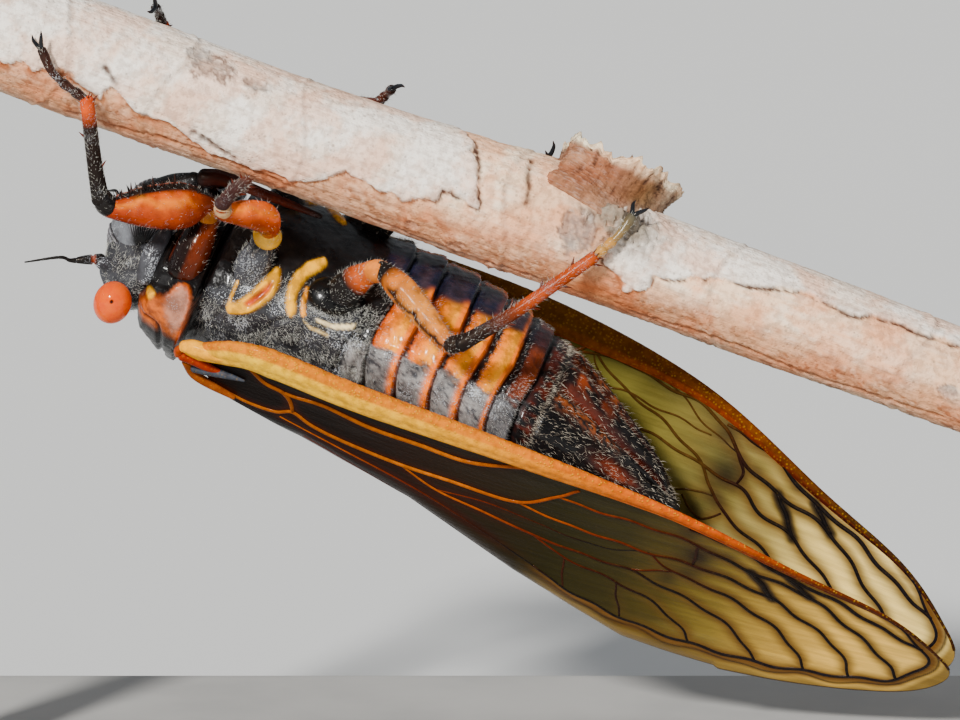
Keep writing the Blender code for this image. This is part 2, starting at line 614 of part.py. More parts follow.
def build_head():
    points, faces = section_loft(HEAD_SECTIONS, (0.0, 0.2))
    head = make("head", points, faces, "black")
    snout = tube([(3.4, 0.0, -2.4), (2.9, 0.0, -3.3), (2.45, 0.0, -3.95)], [1.2, 0.85, 0.5])
    pieces = [build_face(), make("snout", *snout, "black")]
    for side in (1.0, -1.0):
        cheek_line = [(3.6, side * 1.6, -0.6), (3.2, side * 1.75, -1.9), (2.8, side * 1.1, -3.1)]
        pieces.append(make("cheek", *tube(cheek_line, [0.55, 0.6, 0.35]), "black"))
        pieces.append(make("socket", *tube(eye_socket(side), SOCKET_RADII, 12), "black"))
        brow_line = [(4.1, side * 2.4, 0.0), (4.65, side * 2.55, -0.2)]
        pieces.append(make("brow", *tube(brow_line, [0.42, 0.3]), "black"))
    for across in (-0.45, 0.45):
        pieces.append(ball("ocellus", (3.85, across, 2.05), (0.25, 0.25, 0.25), "eye", 5, 8))
    apply_boolean(head, pieces, "UNION")
    apply_boolean(head, [cutter(PRONOTUM_SECTIONS)], "DIFFERENCE")


def build_eyes():
    for side, word in ((1.0, "left"), (-1.0, "right")):
        centre = (EYE_AT[0], side * EYE_AT[1], EYE_AT[2])
        eye = ball(f"eye_{word}", centre, EYE_SIZE, "eye", 10, 16)
        points, faces = tube(eye_socket(side), [radius + GAP for radius in SOCKET_RADII], 12)
        apply_boolean(eye, [cutter(HEAD_SECTIONS), make("cutter", points, faces, "black")], "DIFFERENCE")


def build_antennae():
    for side, word, tip in ((-1.0, "right", (7.72, -3.8, 0.45)), (1.0, "left", (6.5, 4.3, 1.3))):
        root = np.array([4.98, side * 2.62, -0.29])
        way = unit(np.array(tip) - root)
        root = root + way * 0.45
        tip = np.array(tip)
        path = [root, root + way * 0.45, root + way * 1.2, 0.55 * tip + 0.45 * root, tip]
        points, faces = tube(path, [0.25, 0.24, 0.14, 0.11, 0.07], 6)
        make(f"antenna_{word}", points, faces, "dark_leg")


def build_rostrum():
    points, faces = tube([(1.8, 0.0, -4.62), (1.1, 0.0, -4.82), (-0.8, 0.0, -4.88), (-3.0, 0.0, -4.92)],
                         [0.42, 0.36, 0.3, 0.16])
    rostrum = make("rostrum", points, faces, "dark_leg")
    apply_boolean(rostrum, [cutter(MESOTHORAX_SECTIONS)], "DIFFERENCE")


def wing_root(side):
    """The knob of the thorax that carries a forewing, ending just short of the wing's inner face."""
    along, across = np.array([WING_ROOT[0]]), np.array([WING_ROOT[1]])
    out = wing_normal(along, across, side)[0]
    end = wing_surface(along, across, side)[0] - out * (WING_SKIN + GAP + 0.3)
    start = np.array([end[0], side * 2.4, end[2] - 0.3])
    return make("root", *tube([start, end], [0.95, 0.6], 10, (0.1, 0.1)), "black")


def build_thorax():
    points, faces = section_loft(PRONOTUM_SECTIONS)
    make("pronotum", points, faces, "black")
    points, faces = section_loft(MESOTHORAX_SECTIONS)
    mesothorax = make("mesothorax", points, faces, "black")
    cross = []
    for side in (1.0, -1.0):
        for front, back in (((-2.5, side * 1.5, 3.6), (-3.6, side * 0.1, 4.0)),
                            ((-4.3, side * 1.5, 3.15), (-3.4, side * 0.1, 4.0))):
            cross.append(make("cross", *tube([front, back], [0.32, 0.38], 7), "orange"))
    apply_boolean(mesothorax, cross + [wing_root(1), wing_root(-1)], "UNION")
    points, faces = section_loft(METATHORAX_SECTIONS)
    make("metathorax", points, faces, "black")


def build_abdomen():
    """Seven rings that widen backwards, each ending in a small step."""
    table = np.array(ABDOMEN_SECTIONS)
    stations = np.linspace(table[0, 0], table[-1, 0], ABDOMEN_SEGMENTS + 1)
    rings = []
    for first, second in zip(stations[:-1], stations[1:]):
        for share, swell in ((0.02, -0.16), (0.45, -0.04), (0.93, 0.04)):
            station = first + (second - first) * share
            section = [np.interp(-station, -table[:, 0], table[:, column]) for column in range(6)]
            rings.append(section_ring((station, *section[1:]), swell))
    points, faces = loft(rings)
    make("abdomen", points, faces, "black")


def build_tail():
    """The last segments with the ovipositor's sheath along the groove of the underside."""
    points, faces = section_loft(TAIL_SECTIONS, (0.0, 0.45))
    tail = make("tail_segment", points, faces, "black")
    keel_line = [(-15.3, -0.5, -2.55), (-16.3, -0.55, -2.3), (-17.8, -0.6, -1.4), (-19.3, -0.7, -0.5),
                 (-20.6, -0.76, 0.35), (-21.2, -0.78, 0.8)]
    keel = make("keel", *tube(keel_line, [0.3, 0.42, 0.42, 0.36, 0.3, 0.18]), "orange")
    apply_boolean(tail, [keel], "UNION")


def build_legs():
    for name, leg in LEGS.items():
        kind = name.split("_")[0]
        points, faces = tube(*leg["coxa"], sides=10)
        coxa = make(f"{name}_coxa", points, faces, "black")
        near = {"fore": PRONOTUM_SECTIONS, "middle": MESOTHORAX_SECTIONS, "hind": METATHORAX_SECTIONS}[kind]
        cutters = [cutter(near)]
        if kind != "middle":
            cutters.append(cutter(MESOTHORAX_SECTIONS))
        if kind == "hind":
            cutters.append(cutter(ABDOMEN_SECTIONS))
        apply_boolean(coxa, cutters, "DIFFERENCE")
        femur = make(f"{name}_femur", *tube(*leg["femur"], sides=10), "orange")
        if kind == "fore":
            apply_boolean(femur, femur_spines(leg["femur"]), "UNION")
        apply_boolean(femur, [limb_cutter(*leg["coxa"])], "DIFFERENCE")
        build_shin(name, leg, TIBIA_SPINES[kind])


def limb_cutter(path, radii):
    """A leg segment grown by the gap, which cuts the next segment clear of it."""
    grown = [radius + GAP for radius in radii]
    ends = [(0.6 * radius + GAP) / (radius + GAP) for radius in (radii[0], radii[-1])]
    return make("cutter", *tube(path, grown, 10, ends), "black")


def femur_spines(femur):
    """The row of short spines along the fore femur, on the side that faces the twig."""
    path, radii = np.asarray(femur[0], float), femur[1]
    spines = []
    for share, reach in FEMUR_SPINES:
        place = path[0] + (path[-1] - path[0]) * share
        radius = float(np.interp(share, np.linspace(0.0, 1.0, len(radii)), radii))
        way = unit((0.35, 0.0, -1.0))
        spines.append(spine(place + way * 0.5 * radius, place + way * (radius + reach), 0.2))
    return spines


def build_shin(name, leg, spines):
    """Tibia and foot, with its row of spines and two hooked claws."""
    path, radii = leg["tibia"]
    shin = make(f"{name}_tibia", *tube(path, radii, sides=8), "dark_leg")
    path = np.asarray(path, float)
    turn = np.array(leg["claw_turn"])
    pieces = []
    way = unit(path[2] - path[0])
    for index in range(spines):
        share = 0.35 + 0.6 * index / max(1, spines - 1)
        if share < 0.5:
            place = path[0] + (path[1] - path[0]) * share * 2
        else:
            place = path[1] + (path[2] - path[1]) * (share - 0.5) * 2
        away = np.array([1.0, 0.0, 0.0]) * (1 if index % 2 else -1)
        away = unit(away - way * np.dot(away, way))
        pieces.append(spine(place, place + SPINE_LENGTH * (0.8 * away + 0.6 * way), 0.13))
    foot = path[-1]
    along = unit(path[-1] - path[-2])
    beside = unit(np.cross(along, turn))
    for hand in (1.0, -1.0):
        root = foot + 0.05 * hand * beside
        tip = foot + along * 0.35 + CLAW_LENGTH * (0.45 * hand * beside + 0.5 * unit(turn))
        pieces.append(spine(root, tip, 0.15))
    apply_boolean(shin, pieces, "UNION")
    apply_boolean(shin, [limb_cutter(*leg["femur"])], "DIFFERENCE")


def twig_axis(share):
    left, right = np.array(TWIG_LEFT), np.array(TWIG_RIGHT)
    return left + (right - left) * share


def twig_radius(share, angle):
    """Radius of the twig: a slow taper with shallow swellings that never stand proud of it."""
    plain = TWIG_RADII[0] + (TWIG_RADII[1] - TWIG_RADII[0]) * share
    wave = np.sin(9.0 * share + 1.3) * np.cos(angle + 0.7) + 0.6 * np.sin(23.0 * share) * np.cos(2 * angle)
    start, full, end = SHOULDER_SPAN
    swell = float(np.interp(share, (start, full, end), (0.0, 1.0, 0.0)))
    shoulder = SHOULDER * swell**1.5 * np.clip(np.cos(angle), 0.0, 1.0)
    return plain - 0.035 * (1.0 + wave / 1.6) + shoulder


def build_twig():
    way = unit(np.array(TWIG_RIGHT) - np.array(TWIG_LEFT))
    side = unit(np.cross(way, (0.0, 0.0, 1.0)))
    rise = np.cross(side, way)
    angle = np.arange(TWIG_SIDES) * 2.0 * math.pi / TWIG_SIDES
    rings = []
    for share in np.linspace(0.0, 1.0, TWIG_RINGS):
        radius = twig_radius(share, angle)
        rings.append(twig_axis(share) + radius[:, None] * (np.outer(np.cos(angle), rise)
                                                            + np.outer(np.sin(angle), side)))
    twig = make("twig", *loft(rings), "bark", in_body=False)
    lean = STUB_LEAN
    stub_way = unit(lean[0] * way + lean[1] * rise + lean[2] * side)
    across = unit(np.cross(stub_way, side))
    other = np.cross(across, stub_way)
    rings = []
    for index, radius in enumerate(STUB_RADII):
        share = index / (len(STUB_RADII) - 1)
        ragged = radius * (1.0 + 0.06 * np.sin(3 * angle + index) + 0.05 * np.cos(5 * angle))
        centre = twig_axis(STUB_AT) + stub_way * STUB_LENGTH * share
        tilt = 0.35 * share * np.cos(angle + 2.0)
        round_about = np.outer(np.cos(angle), across) + np.outer(np.sin(angle), other)
        rings.append(centre + ragged[:, None] * round_about + np.outer(tilt, stub_way))
    apply_boolean(twig, [make("stub", *loft(rings, (0.0, -0.3)), "bark", in_body=False)], "UNION")


def build_stand():
    length, width, height = BASE_SIZE
    outline = []
    corners = ((1, 1), (-1, 1), (-1, -1), (1, -1))
    for index, (sign_x, sign_y) in enumerate(corners):
        for step in range(6):
            angle = math.pi / 2.0 * (index + step / 5.0)
            outline.append((sign_x * (length / 2 - BASE_CORNER) + BASE_CORNER * math.cos(angle),
                            sign_y * (width / 2 - BASE_CORNER) + BASE_CORNER * math.sin(angle)))
    outline = np.array(outline)
    inner = outline * (1 - 2 * BASE_BEVEL / np.array([length, width]))
    rings = [np.column_stack([outline, np.zeros(len(outline))]),
             np.column_stack([outline, np.full(len(outline), height - BASE_BEVEL)]),
             np.column_stack([inner, np.full(len(outline), height)])]
    points, faces = loft(rings)
    make("stand_base", points, faces, "stand", in_body=False)
    for station, word in zip(ROD_STATIONS, ("left", "right")):
        top = twig_axis(station)
        low = height + GAP
        angle = np.arange(ROD_SIDES) * 2.0 * math.pi / ROD_SIDES
        ring = np.column_stack([top[0] + ROD_RADIUS * np.cos(angle), top[1] + ROD_RADIUS * np.sin(angle)])
        levels = (low, 0.5 * (low + top[2]), top[2] - 1.2)
        rings = [np.column_stack([ring, np.full(len(ring), level)]) for level in levels]
        rod = make(f"stand_rod_{word}", *loft(rings), "stand", in_body=False)
        radius = TWIG_RADII[0] + (TWIG_RADII[1] - TWIG_RADII[0]) * station + GAP
        way = unit(np.array(TWIG_RIGHT) - np.array(TWIG_LEFT))
        ends = [top - way * 5.0, top + way * 5.0]
        cut = make("cutter", *tube(ends, [radius, radius], 32, (0.1, 0.1)), "stand", in_body=False)
        apply_boolean(rod, [cut], "DIFFERENCE")


def main():
    for obj in list(bpy.data.objects):
        bpy.data.objects.remove(obj)
    build_head()
    build_eyes()
    build_antennae()
    build_rostrum()
    build_thorax()
    build_abdomen()
    build_tail()
    build_legs()
    build_wings()
    build_twig()
    build_stand()


main()
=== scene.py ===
"""Looks of a life-size periodical cicada that clings under a cut length of twig on a plain stand.

Lengths are millimetres until a mesh is made. The insect is drawn in its own frame: x runs to the
head, y to its left side and z to its back. Girth goes round the body in degrees, from 0 at the
belly over 90 at the side to 180 at the back, alike on both sides. Twig and stand are drawn in the
part's frame, +Z up.
"""

from __future__ import annotations

import logging
import math
from dataclasses import dataclass, field
from enum import Enum

import bpy
import numpy as np
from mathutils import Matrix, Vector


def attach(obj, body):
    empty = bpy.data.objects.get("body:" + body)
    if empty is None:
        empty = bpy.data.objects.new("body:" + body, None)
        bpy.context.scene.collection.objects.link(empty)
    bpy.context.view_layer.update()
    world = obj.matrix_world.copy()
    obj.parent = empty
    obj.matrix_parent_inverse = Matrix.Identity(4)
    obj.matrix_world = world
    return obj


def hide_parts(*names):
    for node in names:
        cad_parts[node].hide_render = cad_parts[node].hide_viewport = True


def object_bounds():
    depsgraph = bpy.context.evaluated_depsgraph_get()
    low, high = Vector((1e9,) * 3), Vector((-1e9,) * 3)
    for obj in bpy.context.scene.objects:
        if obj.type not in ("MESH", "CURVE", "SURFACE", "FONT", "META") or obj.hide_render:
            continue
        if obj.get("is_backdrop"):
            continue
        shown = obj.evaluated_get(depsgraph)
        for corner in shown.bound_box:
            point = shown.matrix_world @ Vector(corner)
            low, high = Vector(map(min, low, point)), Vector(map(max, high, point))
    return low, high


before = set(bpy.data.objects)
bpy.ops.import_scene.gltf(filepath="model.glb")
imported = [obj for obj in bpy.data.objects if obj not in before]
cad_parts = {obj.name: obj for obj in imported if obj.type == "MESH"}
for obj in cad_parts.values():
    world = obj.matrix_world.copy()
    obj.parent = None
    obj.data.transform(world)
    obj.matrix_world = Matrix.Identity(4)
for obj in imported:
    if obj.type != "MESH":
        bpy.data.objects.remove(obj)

LOG = logging.getLogger("cicada")
Array = np.ndarray
Colour = tuple[float, float, float]
Points = tuple[tuple[float, ...], ...]
Ramp = tuple[tuple[float, Colour], ...]
Values = dict[str, "Array | float | Colour"]
Node = bpy.types.Node
Socket = bpy.types.NodeSocket
MM = 0.001
ARC_PER_DEGREE = 0.072

BLACK: Colour = (0.006, 0.0055, 0.006)
SLATE: Colour = (0.052, 0.054, 0.062)
NAVY: Colour = (0.01, 0.012, 0.032)
ORANGE: Colour = (0.88, 0.135, 0.0)
DEEP_ORANGE: Colour = (0.56, 0.05, 0.002)
RUST: Colour = (0.36, 0.055, 0.012)
RED_BROWN: Colour = (0.095, 0.012, 0.004)
ORANGE_RING = ((0.1, (0.56, 0.07, 0.002)), (0.4, (0.95, 0.22, 0.0)),
               (0.75, (1.0, 0.36, 0.0)), (1.0, (1.0, 0.4, 0.0)))
LAST_RING = ((0.1, (0.03, 0.008, 0.005)), (0.5, (0.13, 0.026, 0.012)), (1.0, (0.16, 0.03, 0.006)))
YELLOW: Colour = (1.0, 0.46, 0.0)
CREAM: Colour = (0.85, 0.6, 0.22)
PINK_SHEEN: Colour = (0.4, 0.17, 0.105)
SILVER: Colour = (0.45, 0.47, 0.5)


class Slot(Enum):
    """The material slots of the record."""

    BLACK = "cuticle_black"
    ORANGE = "cuticle_orange"
    SHANK = "shank_brown"
    EYE = "eye_red"
    WING = "wing_membrane"
    BARK = "bark"
    RESIN = "stand_resin"
    STEEL = "stand_steel"


class Side(Enum):
    """The two sides of the insect."""

    LEFT = 1
    RIGHT = -1

    @property
    def word(self) -> str:
        """The side's name as nodes spell it."""
        return self.name.lower()


# --------------------------------------------------------------------------------------- shapes


def circle(sides: int) -> Array:
    """Angles of the points of a ring, from 0 up to a whole turn."""
    return np.arange(sides) * 2.0 * math.pi / sides


def unit(vectors: Array) -> Array:
    """Vectors over their own length, along the last axis."""
    vectors = np.asarray(vectors, float)
    return vectors / np.maximum(np.linalg.norm(vectors, axis=-1, keepdims=True), 1e-12)


def ease(values: Array, low: float, high: float) -> Array:
    """Smooth step: 0 at low, 1 at high, with level ends; low may be the larger."""
    share = np.clip((np.asarray(values, float) - low) / (high - low), 0.0, 1.0)
    return share * share * (3.0 - 2.0 * share)


def bell(values: Array, centre: float, width: float) -> Array:
    """Gauss bell of height 1."""
    return np.exp(-(((np.asarray(values, float) - centre) / width) ** 2))


def stops(values: Array, table: Ramp) -> Array:
    """Colours read off a ramp, linear between its rows, with a last axis of three."""
    at = [row[0] for row in table]
    return np.stack([np.interp(values, at, [row[1][k] for row in table]) for k in range(3)], axis=-1)


def layered(tint: Array, *coats: tuple[Colour | Array, Array]) -> Array:
    """Lays coats of colour: each moves the tint towards its colour by a mask held to 0..1.

    Args:
        tint: The ground's colours.
        coats: Pairs of colour and mask, in the order of laying.

    Returns:
        The colours that show.
    """
    for colour, mask in coats:
        tint = tint + (np.asarray(colour, float) - tint) * np.clip(mask, 0.0, 1.0)[..., None]
    return tint


def smooth_line(points: Array, step: float, closed: bool = False) -> Array:
    """A Catmull-Rom curve: each span is the cubic whose end slopes are half the neighbours' chord.

    Args:
        points: Rows of any width; all columns are smoothed alike.
        step: Rough distance between samples.
        closed: Whether the last point joins the first.

    Returns:
        The samples, as rows.
    """
    points = np.asarray(points, float)
    if closed:
        padded = np.vstack([points[-1:], points, points[:2]])
    else:
        padded = np.vstack([2 * points[:1] - points[1:2], points, 2 * points[-1:] - points[-2:-1]])
    found = []
    for a, b, c, d in zip(padded[:-3], padded[1:-2], padded[2:-1], padded[3:]):
        pieces = max(1, int(round(np.linalg.norm((c - b)[:3]) / step)))
        share = (np.arange(pieces) / pieces)[:, None]
        found.append(0.5 * (2 * b + (c - a) * share + (2 * a - 5 * b + 4 * c - d) * share**2
                            + (3 * b - a - 3 * c + d) * share**3))
    if not closed:
        found.append(points[-1:])
    return np.vstack(found)


def line_distance(points: Array, line: Array) -> Array:
    """Least distance of each point to a polyline, in the plane or in space.

    Args:
        points: Places, one a row.
        line: Corners of the polyline.

    Returns:
        Distance of each point.
    """
    starts, ways = line[:-1], np.diff(line, axis=0)
    flat = points.reshape(-1, points.shape[-1])
    least = np.full(len(flat), 1e9)
    for start, way in zip(starts, ways):
        rel = flat - start
        share = np.clip(rel @ way / max(way @ way, 1e-12), 0.0, 1.0)
        least = np.minimum(least, np.linalg.norm(rel - share[:, None] * way, axis=1))
    return least.reshape(points.shape[:-1])


def depth_inside(points: Array, outline: Array) -> Array:
    """Signed distance to a closed outline in the plane: above 0 inside, by crossings of a ray.

    Args:
        points: Places in the plane.
        outline: Corners of the closed outline.

    Returns:
        Signed distance of each point.
    """
    closed = np.vstack([outline, outline[:1]])
    x, y = points[..., 0], points[..., 1]
    within = np.zeros(x.shape, bool)
    for first, second in zip(closed[:-1], closed[1:]):
        rise = second[1] - first[1] if second[1] != first[1] else 1e-9
        at = (second[0] - first[0]) * (y - first[1]) / rise + first[0]
        within ^= ((first[1] > y) != (second[1] > y)) & (x < at)
    return np.where(within, 1.0, -1.0) * line_distance(points, closed)


def lattice_noise(u: Array, v: Array, cells: tuple[int, int], seed: int) -> Array:
    """Smooth noise of 0 to 1 from a seeded lattice of random heights that repeats both ways.

    Args:
        u, v: Places, where 1 is the whole lattice.
        cells: Lattice points along u and v.
        seed: Seed of the heights.

    Returns:
        Heights blended by smooth steps between the four lattice points round each place.
    """
    table = np.random.default_rng(seed).random(cells)
    at_u, at_v = u * cells[0], v * cells[1]
    low_u, low_v = np.floor(at_u).astype(int), np.floor(at_v).astype(int)
    share_u, share_v = at_u - low_u, at_v - low_v
    share_u = share_u * share_u * (3 - 2 * share_u)
    share_v = share_v * share_v * (3 - 2 * share_v)
    i, j = low_u % cells[0], low_v % cells[1]
    k, m = (i + 1) % cells[0], (j + 1) % cells[1]
    near = table[i, j] * (1 - share_v) + table[i, m] * share_v
    far = table[k, j] * (1 - share_v) + table[k, m] * share_v
    return near * (1 - share_u) + far * share_u


def swells(u: Array, v: Array, cells: tuple[int, int], seed: int) -> Array:
    """The same noise about 0."""
    return lattice_noise(u, v, cells, seed) - 0.5


@dataclass(frozen=True)
class InsectFrame:
    """Where the insect's own frame lies in the part's frame."""

    at: Colour = (-11.09, 1.48, 23.83)
    lean: float = math.radians(8.0)
    slope: float = math.radians(22.6)
    roll: float = math.radians(34.9)
    turn: float = math.radians(0.7)

    @property
    def axes(self) -> Array:
        """Rows are the insect's x, y and z axes in the part's frame.

        Returns:
            Rotation from the part to the insect, three rows.
        """
        right = np.array([1.0, 0.0, 0.0])
        rise = np.array([0.0, math.sin(self.lean), math.cos(self.lean)])
        away = np.array([0.0, math.cos(self.lean), -math.sin(self.lean)])
        ahead = -math.cos(self.slope) * right + math.sin(self.slope) * rise
        across = math.sin(self.slope) * right + math.cos(self.slope) * rise
        head_way = math.cos(self.turn) * ahead + math.sin(self.turn) * away
        side_way = math.cos(self.turn) * away - math.sin(self.turn) * ahead
        left = math.sin(self.roll) * across + math.cos(self.roll) * side_way
        back = -math.cos(self.roll) * across + math.sin(self.roll) * side_way
        return np.array([head_way, left, back])

    def to_part(self, points: Array) -> Array:
        """Points of the insect's frame, in the part's frame."""
        return points @ self.axes + np.array(self.at)


INSECT = InsectFrame()


def sweep(path: Array, radii: Array, sides: int, up: Colour, flat: float | Array = 1.0) -> Array:
    """Rings along a path: point + radius (cos a normal + flat sin a binormal).

    Args:
        path: Rows of points.
        radii: One radius a row, or one a row and side.
        sides: Points a ring; a is 0 towards up.
        up: Direction that normals lean to; nowhere along the path.
        flat: Share of the radius across the normal.

    Returns:
        Grid of shape (rows, sides, 3).
    """
    way = unit(np.gradient(path, axis=0))
    lift = np.asarray(up, float)
    normal = unit(lift - way * (way @ lift)[:, None])
    beside = np.cross(way, normal)
    angle = circle(sides)
    radii = np.asarray(radii, float)
    radii = radii[:, None] if radii.ndim == 1 else radii
    flat = np.asarray(flat, float)
    flat = flat[:, None] if flat.ndim == 1 else flat
    out = (radii * np.cos(angle))[..., None] * normal[:, None]
    return path[:, None] + out + (radii * flat * np.sin(angle))[..., None] * beside[:, None]


def limb_line(points: Array, radii: Array, step: float, ends: tuple[float, float]) -> tuple[Array, Array]:
    """A smooth line and its radii, with both ends rounded: radius r sin p at r cos p past the end.

    Args:
        points: Points that the line passes.
        radii: The radius at each.
        step: Distance between rings.
        ends: How far each end bulges, in radii.

    Returns:
        Points and radii of the rings.
    """
    line = smooth_line(np.column_stack([points, radii]), step)
    polar = np.radians([8.0, 24.0, 42.0, 60.0, 76.0])
    head, tail = line[0], line[-1]
    head_way, tail_way = unit(line[0, :3] - line[1, :3]), unit(line[-1, :3] - line[-2, :3])
    front = np.column_stack([head[:3] + np.outer(np.cos(polar) * head[3] * ends[0], head_way),
                             np.sin(polar) * head[3]])
    back = np.column_stack([tail[:3] + np.outer(np.cos(polar) * tail[3] * ends[1], tail_way),
                            np.sin(polar) * tail[3]])
    whole = np.vstack([front, line, back[::-1]])
    return whole[:, :3], whole[:, 3]


class Shell:
    """Collects closed patches of one piece and turns them into one mesh object."""

    def __init__(self) -> None:
        """Starts empty."""
        self.points: list[Array] = []
        self.faces: list[Array] = []
        self.values: list[Values] = []
        self.count = 0

    def add(self, grid: Array, values: Values, caps: bool = True) -> "Shell":
        """Adds a grid of rings as quads, with a fan of triangles closing each end.

        Args:
            grid: Points of shape (rows, sides, 3); the last side joins the first.
            values: Attributes: numbers, colours, or arrays over the grid.
            caps: Whether the ends are closed.

        Returns:
            The shell itself.
        """
        rows, sides = grid.shape[:2]
        index = np.arange(rows * sides).reshape(rows, sides)
        after = np.roll(index, -1, axis=1)
        quads = np.stack([index[:-1], after[:-1], after[1:], index[1:]], axis=-1).reshape(-1, 4)
        points = grid.reshape(-1, 3)
        kept = {name: self._spread(value, rows, sides) for name, value in values.items()}
        if caps:
            points = np.vstack([points, grid[0].mean(axis=0), grid[-1].mean(axis=0)])
            start = np.full(sides, rows * sides)
            blank = np.full(sides, -1)
            front = np.stack([after[0], index[0], start, blank], axis=-1)
            back = np.stack([index[-1], after[-1], start + 1, blank], axis=-1)
            quads = np.vstack([quads, front, back])
            kept = {name: np.concatenate([value, value[:sides].mean(axis=0, keepdims=True),
                                          value[-sides:].mean(axis=0, keepdims=True)])
                    for name, value in kept.items()}
        self.add_faces(points, quads, kept)
        return self

    @staticmethod
    def _spread(value: Array | float | Colour, rows: int, sides: int) -> Array:
        """One value a point, from a number, a colour or an array over rows and maybe sides.

        Args:
            value: A number, a colour or an array.
            rows: Number of rings.
            sides: Points in a ring.

        Returns:
            One value for each point.
        """
        value = np.asarray(value, float)
        if value.ndim == 0:
            return np.full(rows * sides, float(value))
        if value.shape == (3,):
            return np.tile(value, (rows * sides, 1))
        if value.ndim == 1 or (value.ndim == 2 and value.shape[1] == 3 and sides != 3):
            value = np.broadcast_to(value[:, None], (rows, sides, *value.shape[1:]))
        return value.reshape(rows * sides, *value.shape[2:])

    def add_faces(self, points: Array, faces: Array, values: Values) -> None:
        """Adds loose faces of four corners, where -1 as the last marks a triangle, facing outwards.

        Args:
            points: Corners, one a row.
            faces: Corner numbers of each face.
            values: What the mesh keeps for each point.
        """
        first, second, third = (points[faces[:, k]] for k in range(3))
        fourth = np.where(faces[:, 3:] >= 0, points[faces[:, 3]], first)
        middle = points.mean(axis=0)
        volume = np.einsum("ij,ij->", first - middle, np.cross(second - middle, third - middle))
        volume += np.einsum("ij,ij->", first - middle, np.cross(third - middle, fourth - middle))
        if volume < 0:
            quad = faces[:, 3] >= 0
            flipped = faces[:, ::-1].copy()
            flipped[~quad] = np.column_stack([faces[~quad][:, 2::-1], faces[~quad][:, 3]])
            faces = flipped
        self.points.append(points)
        self.faces.append(np.where(faces >= 0, faces + self.count, -1))
        self.values.append(values)
        self.count += len(points)

    def build(self, name: str, finish: "Finish", slot: Slot, nodes: tuple[str, ...] = (),
              in_body: bool = True) -> bpy.types.Object:
        """Makes the mesh object and ties it to the frame.

        Args:
            name: Name of the piece.
            finish: What it is made of.
            slot: The record's material slot; not used.
            nodes: CAD nodes that it stands for.
            in_body: Whether its points are in the insect's frame.

        Returns:
            The object, riding on the part.
        """
        points = np.vstack(self.points)
        points = (INSECT.to_part(points) if in_body else points) * MM
        faces = np.vstack(self.faces)
        corners = faces.ravel()
        sizes = np.where(faces[:, 3] >= 0, 4, 3)
        mesh = bpy.data.meshes.new(name)
        mesh.vertices.add(len(points))
        mesh.vertices.foreach_set("co", points.astype(np.float32).ravel())
        corners = corners[corners >= 0]
        mesh.loops.add(len(corners))
        mesh.loops.foreach_set("vertex_index", corners.astype(np.int32))
        mesh.polygons.add(len(faces))
        mesh.polygons.foreach_set("loop_start", (np.cumsum(sizes) - sizes).astype(np.int32))
        mesh.update(calc_edges=True)
        mesh.shade_smooth()
        for key in self.values[0]:
            data = np.concatenate([np.asarray(values[key], float) for values in self.values])
            if data.ndim == 2:
                layer = mesh.attributes.new(key, "FLOAT_COLOR", "POINT")
                rgba = np.column_stack([data, np.ones(len(data))])
                layer.data.foreach_set("color", rgba.astype(np.float32).ravel())
            else:
                layer = mesh.attributes.new(key, "FLOAT", "POINT")
                layer.data.foreach_set("value", data.astype(np.float32))
        obj = placed(name, mesh)
        mesh.materials.append(finish.material())
        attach(obj, "root")
        if nodes:
            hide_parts(*nodes)
        LOG.info("%s: %d faces", name, len(faces))
        return obj


def placed(name: str, data: bpy.types.ID) -> bpy.types.Object:
    """A new object in the scene."""
    obj = bpy.data.objects.new(name, data)
    bpy.context.scene.collection.objects.link(obj)
    return obj


def set_map(obj: bpy.types.Object, places: Array, name: str = "Lie") -> None:
    """Gives a piece a UV map: for Lie, each point's place on the flat surface, in millimetres."""
    mesh = obj.data
    corners = np.empty(len(mesh.loops), np.int32)
    mesh.loops.foreach_get("vertex_index", corners)
    mesh.uv_layers.new(name=name).data.foreach_set("uv", places[corners].astype(np.float32).ravel())


def grid_normals(grid: Array) -> Array:
    """Unit normals of rings, the cross product of the two directions, facing away from their middle."""
    normal = unit(np.cross(np.gradient(grid, axis=0), np.roll(grid, -1, axis=1) - np.roll(grid, 1, axis=1)))
    out = grid - grid.mean(axis=1, keepdims=True)
    return normal * np.sign(np.mean(np.einsum("ijk,ijk->ij", normal, out)))


# ------------------------------------------------------------------------------------- finishes


